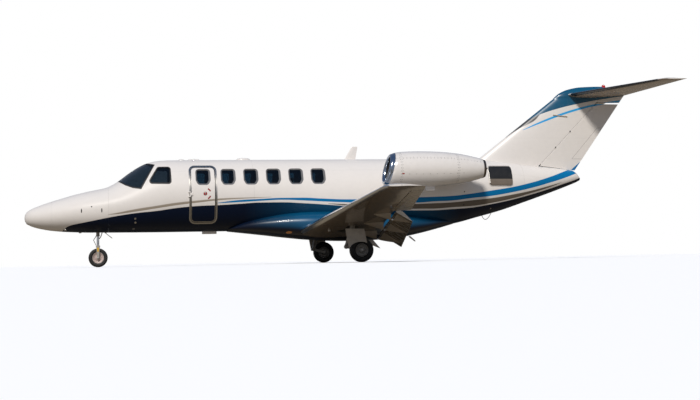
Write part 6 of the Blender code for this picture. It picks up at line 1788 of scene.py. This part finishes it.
def makeTailplane():
    p = plane
    body = newObject("tailplaneSkin", planeShape(), [tailplaneSkin, matBlack])
    mesh = []
    for sign in (1, -1):
        def hingeAt(s):
            row = linearRow(p["rows"], s)
            return at(row[1] + p["hinge"] * (row[2] - row[1]), sign * s, p["waterline"])
        inner, outer = p["inner"], p["outer"]
        ends = [hingeAt(inner), hingeAt(outer)]
        radii = []
        for s in (inner, outer):
            row = linearRow(p["rows"], s)
            radii.append(halfThickness(p["hinge"], row[3]) * (row[2] - row[1]))
        corners = [*ends, at(16.2, sign * outer, p["waterline"]), at(16.2, sign * inner, p["waterline"])]
        if sign > 0:
            elevator = controlSurface("elevatorRight", planeShape(0.0, 0.0), ends, radii, corners, (0, 0, 1),
                tailplaneSkin, (True, True), p["gap"])
            bothSides(elevator, "elevator_", "white_paint", "elevator_")
        wide = [hingeAt(inner - p["gap"]), hingeAt(outer + p["gap"]),
            at(16.2, sign * (outer + p["gap"]), p["waterline"]), at(16.2, sign * (inner - p["gap"]),
            p["waterline"])]
        mesh += [coneShape(ends, radii, p["gap"], p["gap"], p["gap"], 48), behindShape(wide, (0, 0, 1))]
    carve(body, mesh, material=matBlack)
    settle(body, "body", "white_paint", "tailplane")
    print("tailplane made")


makeFin()
makeTailplane()

# landing gear

gear = {
    "noseStation": 1.72, "noseRadius": 0.2285, "noseWidth": 0.112, "noseRim": 0.135, "noseBore": 0.0185,
    "noseAxle": 0.0177, "barrel": 0.042, "barrelRim": 0.046, "barrelEnd": -0.93, "piston": 0.031,
    "collarRise": 0.065, "forkClear": 0.022, "bayRoof": -0.62,
    # distances aft of the nose leg, with waterlines; the mark's heights count from the fork's collar
    "brace": ((0.011, -1.02), (0.055, -0.985), (0.08, -0.93), (0.11, -0.85), (0.185, -0.745)),
    "forkMark": ((-0.024, -0.05), (0.024, -0.05), (0.014, -0.15), (-0.014, -0.15)),
    "noseDoor": ((0.135, -0.85), (0.15, -0.843), (0.345, -1.0), (0.33, -1.008)), "noseDoorHalf": 0.075,
    "noseDoorLink": ((0.205, -0.875), (0.117, -0.85)), "braceRadius": 0.011, "bracePin": (0.0845, 0.016),
    "mainStation": 7.68, "mainSide": 2.637, "mainRadius": 0.2795, "mainWidth": 0.197, "mainRim": 0.15,
    "mainBore": 0.0255, "mainAxle": 0.0247, "mainLeg": (0.055, 0.045), "pivot": (7.37, -1.335),
    "legTop": (7.5, -0.85), "wellRoof": -0.78, "doorSide": 2.77, "doorThick": 0.016,
    "doorLink": (7.444, -1.02), "doorTop": ((7.285, -0.925), (7.725, -0.935), (7.79, -1.265)),
    "doorArc": (7.64, -1.575, 0.345), "doorFoot": (7.365, -1.385),
    "holes": 10, "grooves": (-0.42, 0.0, 0.42), "discShare": 0.74, "boltCircle": 0.044,
}


def tyreShape(centre, radius, rim, width):
    half, depth = width / 2, radius - rim
    line = [(-half * 0.76, rim), (-half * 0.86, rim + depth * 0.06), (-half * 0.965, rim + depth * 0.26),
        (-half, rim + depth * 0.48), (-half * 0.975, rim + depth * 0.66), (-half * 0.9, rim + depth * 0.81),
        (-half * 0.78, radius - depth * 0.1)]
    crown = []
    for k in range(1, 24):
        t = -0.78 + 1.56 * k / 24
        rise = radius - depth * 0.1 * (abs(t) / 0.78) ** 2.2
        near = min(abs(t - g) for g in gear["grooves"])
        crown.append((half * t, rise - (0.006 if near < 0.045 else 0.0)))
    other = [(-d, r) for d, r in reversed(line)]
    return turned([*line, *crown, *other], centre, (0, 1, 0), 96, closed=True)


def wheelShape(centre, rim, width, bore, holes, sign):
    # a dished disc with a bead flange, a ring of holes and a hub cap
    half = width / 2 * gear["discShare"]
    rim -= seam * 2
    outside = [(half, rim), (half, rim - 0.008), (half - 0.006, rim - 0.016), (half - 0.02, rim - 0.024),
        (half - 0.026, rim - 0.04), (half - 0.026, 0.07), (half - 0.016, 0.058), (half - 0.004, 0.05),
        (half - 0.001, 0.04), (half, bore)]
    line = [(d * sign, r) for d, r in outside] + [(-d * sign, r) for d, r in reversed(outside)]
    disc = newObject("disc", turned(line, centre, (0, 1, 0), 96, closed=True))
    tools = []
    reach = (rim - 0.04 + 0.07) / 2
    for k in range(holes):
        angle = 2 * pi * k / holes
        spot = Vector(centre) + Vector((cos(angle) * reach, 0, sin(angle) * reach))
        size = (rim - 0.04 - 0.07) * 0.42
        tools.append(rodShape(spot + Vector((0, -half * 0.98, 0)), spot + Vector((0, -half + 0.045, 0)), size,
            20))
        tools.append(rodShape(spot + Vector((0, half - 0.045, 0)), spot + Vector((0, half * 0.98, 0)), size,
            20))
    carve(disc, [flatten(tools)], material=matBlack)
    return disc


def boltRing(centre, radius, side, count, size):
    shapes = []
    for k in range(count):
        angle = 2 * pi * (k + 0.5) / count
        spot = Vector(centre) + Vector((cos(angle) * radius, side, sin(angle) * radius))
        shapes.append(rodShape(spot, spot + Vector((0, 0.004 if side > 0 else -0.004, 0)), size, 6))
    return flatten(shapes)


def smoothLine(points, count=24):
    # a curve through the points; its slope at each comes from the two beside it
    curve = [points[0]]
    for k in range(1, count + 1):
        t = k / count * (len(points) - 1)
        i = min(int(t), len(points) - 2)
        u, a, b = t - i, points[i], points[i + 1]
        m0, m1 = (b - points[max(i - 1, 0)]) / 2, (points[min(i + 2, len(points) - 1)] - a) / 2
        curve.append((2 * u ** 3 - 3 * u ** 2 + 1) * a + (u ** 3 - 2 * u ** 2 + u) * m0
            + (3 * u ** 2 - 2 * u ** 3) * b + (u ** 3 - u ** 2) * m1)
    return curve


def makeNoseGear():
    g = gear
    station, radius, width = g["noseStation"], g["noseRadius"], g["noseWidth"]
    axleLine = radius - airframe["axisHeight"]
    axle, collar = at(station, 0, axleLine), axleLine + radius + g["collarRise"]
    end, rim = g["barrelEnd"], g["barrelRim"]
    leg = [rodShape(at(station, 0, end), at(station, 0, g["bayRoof"] - seam), g["barrel"], 48),
        rodShape(at(station, 0, end - 0.025), at(station, 0, end + 0.005), rim, 48, bevel=0.003)]
    makePiece("noseLegBarrel", flatten(leg), gearPaint, "body", "gear_paint", "nose_leg")
    makePiece("noseLegPiston", rodShape(at(station, 0, collar + 0.002), at(station, 0, end), g["piston"], 48),
        chrome, "body", "bare_metal", "nose_leg")
    line = [at(station + aft, 0, w) for aft, w in g["brace"]]
    reach, thick = g["bracePin"]
    pinEnds = [line[-1] + Vector((0, side, 0)) for side in (-reach, reach)]
    brace = [tubeShape(smoothLine(line), g["braceRadius"], 16), rodShape(*pinEnds, thick, 32)]
    makePiece("noseDragBrace", flatten(brace), gearPaint, "body", "gear_paint", "nose_leg")

    forkHalf = width / 2 + g["forkClear"]
    inner, outer = forkHalf - 0.008, forkHalf + 0.014
    crown = [rodShape(at(station, 0, collar + 0.0017), at(station, 0, collar - 0.045), 0.05, 48, bevel=0.004),
        blockShape(at(station - 0.045, -outer, collar - 0.04), at(station + 0.045, outer, collar - 0.012),
        0.006, 3)]
    blade = roundedOutline([(station + aft, w) for aft, w in ((-0.04, collar - 0.03), (0.04, collar - 0.03),
        (0.026, axleLine - 0.03), (-0.026, axleLine - 0.03))], 0.016)
    mark = roundedOutline([(station + aft, collar + w) for aft, w in g["forkMark"]], 0.006)
    crown += [plateShape(blade, *sorted((sign * inner, sign * outer))) for sign in (-1, 1)]
    makePiece("noseFork", flatten(crown), gearPaint, "steering_fork", "gear_paint", "nose_fork")
    reach = forkHalf + 0.022
    pin = rodShape(at(station, -reach, axleLine), at(station, reach, axleLine), g["noseAxle"], 32,
        bevel=0.002)
    makePiece("noseAxle", pin, brushed, "steering_fork", "bare_metal", "nose_fork")
    marks = [plateShape(mark, *sorted((sign * (outer - 0.0005), sign * (outer + 0.0015)))) for sign
        in (-1, 1)]
    makePiece("forkMarks", flatten(marks), yellowMark, "steering_fork", "trim", "nose_fork")
    scissors = [tubeShape([at(station - 0.04, side, -0.945), at(station - 0.105, side * 0.8, -1.045),
        at(station - 0.046, side, collar + 0.008)], 0.0085, 12) for side in (-0.022, 0.022)]
    makePiece("noseScissors", flatten(scissors), gearPaint, "steering_fork", "gear_paint", "nose_fork")
    makePiece("noseTyre", tyreShape(axle, radius, g["noseRim"], width), rubberBlack, "nose_wheel", "rubber",
        "nose_tyre", degrees=40)
    disc = wheelShape(axle, g["noseRim"], width, g["noseBore"], 12, 1)
    disc.name = "noseWheelDisc"
    settle(withMaterials(disc, hubPaint, matBlack), "nose_wheel", "bare_metal", "nose_hub")
    half = width / 2 * g["discShare"]
    bolts = flatten([boltRing(axle, g["boltCircle"], side * (half - 0.004), 8, 0.005) for side in (-1, 1)])
    makePiece("noseWheelBolts", bolts, brushed, "nose_wheel", "bare_metal", "nose_hub")

    outline, half = [(station + aft, w) for aft, w in g["noseDoor"]], g["noseDoorHalf"]
    makePiece("noseDoor", plateShape(outline, -half, half), whitePaint, "body", "white_paint",
        "nose_gear_door")
    link = rodShape(*(at(station + aft, 0, w) for aft, w in g["noseDoorLink"]), 0.008, 20)
    makePiece("noseDoorLink", link, brushed, "body", "bare_metal", "nose_gear_door")


def makeMainGear():
    g = gear
    station, side, width = g["mainStation"], g["mainSide"], g["mainWidth"]
    axleLine = g["mainRadius"] - airframe["axisHeight"]
    axle = at(station, side, axleLine)
    linkOuter = side - width / 2 - 0.018
    linkInner = linkOuter - 0.04
    foot, top = linkInner - 0.075, side - 0.05
    (pivotS, pivotW), (topS, topW), (linkS, linkW) = g["pivot"], g["legTop"], g["doorLink"]
    wide, narrow = g["mainLeg"]
    leg = [rodShape(at(topS, top, topW), at(pivotS, foot, pivotW), wide, 40, narrow),
        rodShape(at(topS, top, g["wellRoof"] - seam), at(topS, top, topW - 0.03), 0.048, 40),
        rodShape(at(pivotS, foot - 0.04, pivotW), at(pivotS, linkInner - seam, pivotW), 0.05, 40,
        bevel=0.004), rodShape(at(linkS, top - 0.06, linkW), at(linkS, g["doorSide"] - seam, linkW), 0.014,
        24)]
    makePair("mainLeg", flatten(leg), gearPaint, "body", "gear_paint", "main_leg_")
    spots = [at(topS - 0.03, top - 0.03, -0.99), at(topS - 0.044, 2.22, -0.9215), at(topS - 0.05, 2.0, -0.88)]
    strut = [rodShape(*spots[:2], 0.028, 32), rodShape(*spots[1:], 0.017, 24)]
    makePair("sideStrut", flatten(strut), chrome, "body", "bare_metal", "main_leg_")

    pivot, end = Vector((pivotS, pivotW)), Vector((station, axleLine))
    flat = (end - pivot).normalized()
    across = Vector((-flat.y, flat.x))
    corners = [pivot - flat * 0.05 + across * 0.035, pivot - flat * 0.05 - across * 0.035,
        end + flat * 0.03 - across * 0.032, end + flat * 0.03 + across * 0.032]
    arm = plateShape(roundedOutline([(p.x, p.y) for p in corners], 0.024), linkInner, linkOuter)
    half = width / 2 * g["discShare"]
    axleRod = rodShape(at(station, linkInner + 0.01, axleLine), at(station, side + half + 0.015, axleLine),
        g["mainAxle"], 40, bevel=0.003)
    makePair("trailingLink", arm, gearPaint, "body", "gear_paint", "trailing_link_")
    makePair("mainAxle", axleRod, brushed, "body", "bare_metal", "trailing_link_")
    makePair("mainTyre", tyreShape(axle, g["mainRadius"], g["mainRim"], width), rubberBlack, "main_wheel_",
        "rubber", "main_tyre_", degrees=40)
    disc = wheelShape(axle, g["mainRim"], width, g["mainBore"], g["holes"], 1)
    disc.name = "mainWheelDiscRight"
    bothSides(withMaterials(disc, wheelGrey, matBlack), "main_wheel_", "bare_metal", "main_hub_")
    bolts = boltRing(axle, g["boltCircle"], half - 0.004, 10, 0.006)
    makePair("mainWheelBolts", bolts, brushed, "main_wheel_", "bare_metal", "main_hub_")

    # the leg's door: straight above, round behind the tyre, with a raised rib inside its edge
    s, w, reach = g["doorArc"]
    turns = [radians(degrees) for degrees in range(66, 131, 8)]
    corners = [*g["doorTop"], *((s + reach * cos(a), w + reach * sin(a)) for a in turns), g["doorFoot"]]
    face = g["doorSide"]
    makePair("gearDoor", plateShape(corners, face, face + g["doorThick"]), doorGrey, "body", "white_paint",
        "gear_door_")
    outer, inner = grownOutline(corners, -0.012), grownOutline(corners, -0.03)
    rim = frameShape([[at(s, depth, w) for s, w in line] for line, depth
        in ((outer, face - 0.002), (inner, face - 0.002), (inner, face + 0.004), (outer, face + 0.004))])
    makePair("gearDoorRib", rim, doorGrey, "body", "white_paint", "gear_door_", degrees=50)
    print("main gear made")


wheelGrey = finishMaterial("wheelGrey", (0.26, 0.245, 0.225), 0.38, metallic=0.3, dirt=0.45,
    dirtColour=(0.03, 0.027, 0.024), toneSpread=0.1)
doorGrey = finishMaterial("doorGrey", (0.55, 0.5, 0.43), 0.28, coat=0.2, dirt=0.3,
    dirtColour=(0.12, 0.1, 0.08), toneSpread=0.05)
makeNoseGear()
makeMainGear()

# cabin furniture: seats with soft pads, floor and instrument panel

seat = {"floor": -0.56, "half": 0.21, "voxel": 0.01, "start": 0.01, "cap": 0.014, "pressure": 4.0,
    "base": (0.18, -0.15, -0.27, 0.11), "cushion": (-0.26, 0.24, -0.28, -0.15),
    "back": ((0.16, -0.25), (0.28, -0.25), (0.4, 0.28), (0.3, 0.28)),
    "headrest": ((0.315, 0.26), (0.395, 0.26), (0.405, 0.42), (0.325, 0.42)), "headHalf": 0.12,
    "channelDepth": 0.006, "channelWidth": 0.007, "cockpit": ((3.1, -0.33, 1), (3.1, 0.33, 1)),
    "cabin": ((4.95, -1), (6.05, 1), (6.9, 1)), "cabinSide": 0.38}


def softForm(name, outline, half, channels):
    # a pad: remeshed, blown up a little by cloth pressure, then creased by its sewn channels
    s = seat
    corners = roundedOutline(grownOutline(outline, -s["start"]), 0.03, 5)
    form = plateShape(corners, -half + s["start"], half - s["start"])
    ends = [e for e in form.edges if abs(e.verts[0].co.y - e.verts[1].co.y) < 1e-6]
    bmesh.ops.bevel(form, geom=ends, offset=0.022, segments=3, profile=0.5, affect="EDGES",
        clamp_overlap=True, material=-1)
    bmesh.ops.recalc_face_normals(form, faces=form.faces)
    pad = newObject(name, form)
    remesh = pad.modifiers.new("remesh", "REMESH")
    remesh.mode, remesh.voxel_size = "VOXEL", s["voxel"]
    applyModifiers(pad)
    start = [v.co.copy() for v in pad.data.vertices]
    scene = bpy.context.scene
    cloth = pad.modifiers.new("cloth", "CLOTH")
    cloth.settings.use_pressure = True
    cloth.settings.uniform_pressure_force = s["pressure"]
    cloth.settings.effector_weights.gravity = 0
    cloth.settings.quality = 4
    cloth.point_cache.frame_start, cloth.point_cache.frame_end = 1, 20
    for k in range(1, 21):
        scene.frame_set(k)
    applyModifiers(pad)
    scene.frame_set(1)
    for v, old in zip(pad.data.vertices, start):
        move = v.co - old
        if move.length > s["cap"]:
            v.co = old + move.normalized() * s["cap"]
    for v in pad.data.vertices:
        for axis, value in channels:
            gap = (v.co.y if axis == "y" else v.co.z if axis == "z" else v.co.x) - value
            v.co -= v.normal * s["channelDepth"] * exp(-(gap / s["channelWidth"]) ** 2)
    return pad


def placedCopy(source, station, side, face):
    # the forms are built around station 0, so only the distance along and across is added
    bm = readMesh(source.data)
    middle = at(0, 0, 0)
    if face < 0:
        bmesh.ops.translate(bm, vec=-middle, verts=bm.verts)
        bmesh.ops.scale(bm, vec=(-1, 1, 1), verts=bm.verts)
        bmesh.ops.translate(bm, vec=middle, verts=bm.verts)
        bmesh.ops.reverse_faces(bm, faces=bm.faces)
    bmesh.ops.translate(bm, vec=at(station, side, 0) - middle, verts=bm.verts)
    return bm


def seatFrame(station, side, face):
    s = seat
    rear, front, top, half = s["base"]
    foot = s["floor"] + 0.026
    low, high = sorted((station + face * rear, station + face * front))
    shell = [blockShape(at(low, side - half, foot), at(high, side + half, foot + 0.03), 0.004),
        loftRings([[at(station + face * (0.015 + a * w), side + b * h, z) for a, b
        in ((-1, -1), (1, -1), (1, 1), (-1, 1))] for w, h, z in ((0.11, 0.085, foot + 0.03),
        (0.075, 0.06, foot + 0.12), (0.12, 0.1, top - 0.004))])]
    pan = ((station + face * -0.235, -0.295), (station + face * 0.235, -0.295),
        (station + face * 0.235, -0.272), (station + face * -0.235, -0.272))
    shell.append(plateShape(pan, side - 0.19, side + 0.19))
    back = [(station + face * a, w) for a, w in ((0.262, -0.25), (0.287, -0.25), (0.407, 0.26),
        (0.392, 0.26))]
    shell.append(plateShape(back, side - 0.195, side + 0.195))
    return flatten(shell)


def makeSeats():
    s = seat
    rear, front, low, high = s["cushion"]
    forms = {"Cushion": softForm("cushionForm", [(rear, low), (front, low), (front, high), (rear, high)],
        s["half"], (("y", -0.105), ("y", 0.0), ("y", 0.105))), "Back": softForm("backForm", s["back"],
        s["half"], tuple(("z", at(0, 0, w).z) for w in (-0.12, 0.0, 0.12))),
        "Headrest": softForm("headrestForm", s["headrest"], s["headHalf"], (("y", 0.0),))}
    groups = (("cockpit_seats", [(a, b, c) for a, b, c in s["cockpit"]]),
        ("cabin_seats_left", [(a, -s["cabinSide"], c) for a, c in s["cabin"]]),
        ("cabin_seats_right", [(a, s["cabinSide"], c) for a, c in s["cabin"]]))
    for node, places in groups:
        word = {"cockpit_seats": "cockpit", "cabin_seats_left": "left", "cabin_seats_right": "right"}[node]
        for k, (station, side, face) in enumerate(places):
            for part, form in forms.items():
                piece = newObject(f"{word}{part}{k}", placedCopy(form, station, side, face), [leatherTan])
                settle(piece, "body", "leather", node, degrees=60)
            makePiece(f"{word}SeatFrame{k}", seatFrame(station, side, face), darkMetal, "body", "leather",
                node)
        rails = []
        first, last = (2.9, 3.3) if word == "cockpit" else (places[0][0] - 0.3, places[-1][0] + 0.3)
        sides = (-0.38, 0.38) if word == "cockpit" else (places[0][1],)
        for middle in sides:
            for offset in (-0.045, 0.045):
                rails.append(blockShape(at(first, middle + offset - 0.015, s["floor"] + seam),
                    at(last, middle + offset + 0.015, s["floor"] + 0.024), 0.003))
        makePiece(f"{word}SeatRails", flatten(rails), brushed, "body", "leather", node)
    for form in forms.values():
        bpy.data.objects.remove(form)
    print("seats padded")


panel = {"screens": ((-0.58, 0.2), (-0.16, 0.16), (0.16, 0.16), (0.58, 0.2)), "height": 0.17, "lean": 0.2,
    "foot": (2.52, -0.3), "middle": -0.13}


def makePanel():
    dressNode("instrument_panel", "body", "panel_black", matBlack, bevel=0.006)
    screens, rims = [], []
    for side, wide in panel["screens"]:
        low, high = panel["middle"] - panel["height"] / 2, panel["middle"] + panel["height"] / 2
        def face(w, proud):
            return panel["foot"][0] + panel["lean"] * (w - panel["foot"][1]) + proud

        rim = [(face(low - 0.012, 0.001), low - 0.012), (face(low - 0.012, 0.01), low - 0.012),
            (face(high + 0.012, 0.01), high + 0.012), (face(high + 0.012, 0.001), high + 0.012)]
        glassLine = [(face(low, 0.0102), low), (face(low, 0.012), low), (face(high, 0.012), high),
            (face(high, 0.0102), high)]
        rims.append(plateShape(rim, side - wide / 2 - 0.012, side + wide / 2 + 0.012))
        screens.append(plateShape(glassLine, side - wide / 2, side + wide / 2))
    makePiece("screenRims", flatten(rims), darkMetal, "body", "panel_black", "instrument_panel")
    makePiece("screenFaces", flatten(screens), sootPlate, "body", "panel_black", "instrument_panel")
    dressNode("cabin_floor", "body", "trim", carpet)


# small fittings under the belly and the nose

fittings = {"loop": ((11.337, -0.525), (11.46, -0.674), (11.619, -0.477)), "loopRadius": 0.008,
    "blade": ((9.4, -1.07), (9.47, -1.07), (9.62, -1.206), (9.575, -1.206)), "bladeHalf": 0.006,
    "cowlBox": (9.655, 0.055, 1.4), "cowlBoxSize": (0.23, 0.12, 0.08),
    "belly": ((2.48, -0.66), (2.64, -0.66), (2.63, -0.745), (2.58, -0.76))}


def makeFittings():
    f = fittings
    (a, b), (c, d), (e, g) = f["loop"]
    line = []
    for k in range(33):
        t = k / 32
        s = (1 - t) ** 2 * a + 2 * t * (1 - t) * (2 * c - (a + e) / 2) + t * t * e
        w = (1 - t) ** 2 * b + 2 * t * (1 - t) * (2 * d - (b + g) / 2) + t * t * g
        line.append(at(s, 0, w))
    makePiece("loopAerial", tubeShape(line, f["loopRadius"], 16), whitePaint, "body", "white_paint")
    blade = plateShape(roundedOutline(f["blade"], 0.012, 5), -f["bladeHalf"], f["bladeHalf"])
    makePiece("slantedBlade", blade, whitePaint, "body", "white_paint")
    fin = plateShape(roundedOutline(f["belly"], 0.012, 5), -0.005, 0.005)
    makePiece("noseBlade", fin, whitePaint, "body", "white_paint")
    for sign, word in ((-1, "Left"), (1, "Right")):
        (s, w, side), (length, high, wide) = f["cowlBox"], f["cowlBoxSize"]
        box = blockShape(at(s - length / 2, sign * side - wide / 2, w - high / 2),
            at(s + length / 2, sign * side + wide / 2, w + high / 2), 0.018, 4)
        makePiece("cowlDrain" + word, box, whitePaint, "body", "white_paint", "nacelle_" + word.lower())
    print("small fittings made")


makeSeats()
makePanel()
makeFittings()

# floor, light and camera

studio = {"cameraDistance": 32.0, "cameraHeight": 0.05, "azimuth": -10.517, "roll": -1.128,
    "pixelsPerMetre": 39.889, "aimPixel": (344.531, 194.458), "target": at(7.8, 0, 0),
    "sunTurn": (40.0, 14.0), "sunStrength": 2.75, "sunSize": 9.0, "skyStrength": 0.44,
    "floorSeen": (0.97, 0.96, 0.94, 1), "floorBounce": (0.3, 0.255, 0.19, 1)}

floorShape = bmesh.new()
bmesh.ops.create_grid(floorShape, x_segments=1, y_segments=1, size=400)
floor = newObject("floor", floorShape)
floorMaterial = newMaterial("floorPale")
tree = floorMaterial.node_tree
floorShader = tree.nodes["Principled BSDF"]
floorShader.inputs["Base Color"].default_value = studio["floorSeen"]
floorShader.inputs["Roughness"].default_value = 0.9
floorShader.inputs["Emission Color"].default_value = studio["floorSeen"]
floorShader.inputs["Emission Strength"].default_value = 0.3
# what the object sees of the floor, so that its belly stays dark
dimFloor = tree.nodes.new("ShaderNodeBsdfDiffuse")
dimFloor.inputs["Color"].default_value = studio["floorBounce"]
floorPath = tree.nodes.new("ShaderNodeLightPath")
floorMix = tree.nodes.new("ShaderNodeMixShader")
link(tree, floorPath.outputs["Is Camera Ray"], floorMix.inputs[0])
link(tree, dimFloor.outputs[0], floorMix.inputs[1])
link(tree, floorShader.outputs[0], floorMix.inputs[2])
link(tree, floorMix.outputs[0], tree.nodes["Material Output"].inputs["Surface"])
floor.data.materials.append(floorMaterial)

world = bpy.data.worlds.new("studioSky")
bpy.context.scene.world = world
world.use_nodes = True
tree = world.node_tree
seen = tree.nodes.new("ShaderNodeBackground")
seen.inputs["Color"].default_value = (1.0, 1.0, 1.0, 1)
seen.inputs["Strength"].default_value = 1.0
lit = tree.nodes["Background"]
# a bright horizon that darkens to a deep blue overhead, so that shiny parts have something to reflect
rise = tree.nodes.new("ShaderNodeSeparateXYZ")
link(tree, tree.nodes.new("ShaderNodeTexCoord").outputs["Generated"], rise.inputs[0])
skyShare = mathNode(tree, "POWER", mathNode(tree, "ABSOLUTE", rise.outputs["Z"], clamp=True), 0.55)
link(tree, mixColour(tree, skyShare, (0.95, 0.96, 1.0), (0.2, 0.34, 0.62)), lit.inputs["Color"])
lit.inputs["Strength"].default_value = studio["skyStrength"]
path = tree.nodes.new("ShaderNodeLightPath")
blend = tree.nodes.new("ShaderNodeMixShader")
link(tree, path.outputs["Is Camera Ray"], blend.inputs[0])
link(tree, lit.outputs[0], blend.inputs[1])
link(tree, seen.outputs[0], blend.inputs[2])
link(tree, blend.outputs[0], tree.nodes["World Output"].inputs["Surface"])

sun = bpy.data.lights.new("keySun", "SUN")
sun.energy, sun.angle = studio["sunStrength"], radians(studio["sunSize"])
sun.color = (1.0, 0.95, 0.88)
sunObject = bpy.data.objects.new("keySun", sun)
aside, ahead = (radians(v) for v in studio["sunTurn"])
sunFrom = Vector((-sin(ahead), -cos(ahead) * cos(aside), sin(aside)))
sunObject.rotation_mode = "QUATERNION"
sunObject.rotation_quaternion = sunFrom.to_track_quat("Z", "Y")
bpy.context.scene.collection.objects.link(sunObject)

camera = bpy.data.objects.new("camera", bpy.data.cameras.new("camera"))
bpy.context.scene.collection.objects.link(camera)
bpy.context.scene.camera = camera
drop = (studio["target"].z - studio["cameraHeight"]) / studio["cameraDistance"]
turn = radians(studio["azimuth"])
level = sqrt(1 - drop * drop)
camera.location = studio["target"] + studio["cameraDistance"] * Vector((sin(turn) * level, -cos(turn) * level,
    -drop))
look = (studio["target"] - camera.location).to_track_quat("-Z", "Y")
camera.rotation_mode = "QUATERNION"
camera.rotation_quaternion = look @ Matrix.Rotation(radians(studio["roll"]), 3, "Z").to_quaternion()
camera.data.lens = 36 * studio["pixelsPerMetre"] * studio["cameraDistance"] / 700
camera.data.shift_x = (350 - studio["aimPixel"][0]) / 700
camera.data.shift_y = (studio["aimPixel"][1] - 200) / 700
camera.data.clip_end = 2000
bpy.context.scene.view_settings.view_transform = "Standard"
bpy.context.scene.view_settings.look = "None"

print("made", len(madePieces), "pieces")
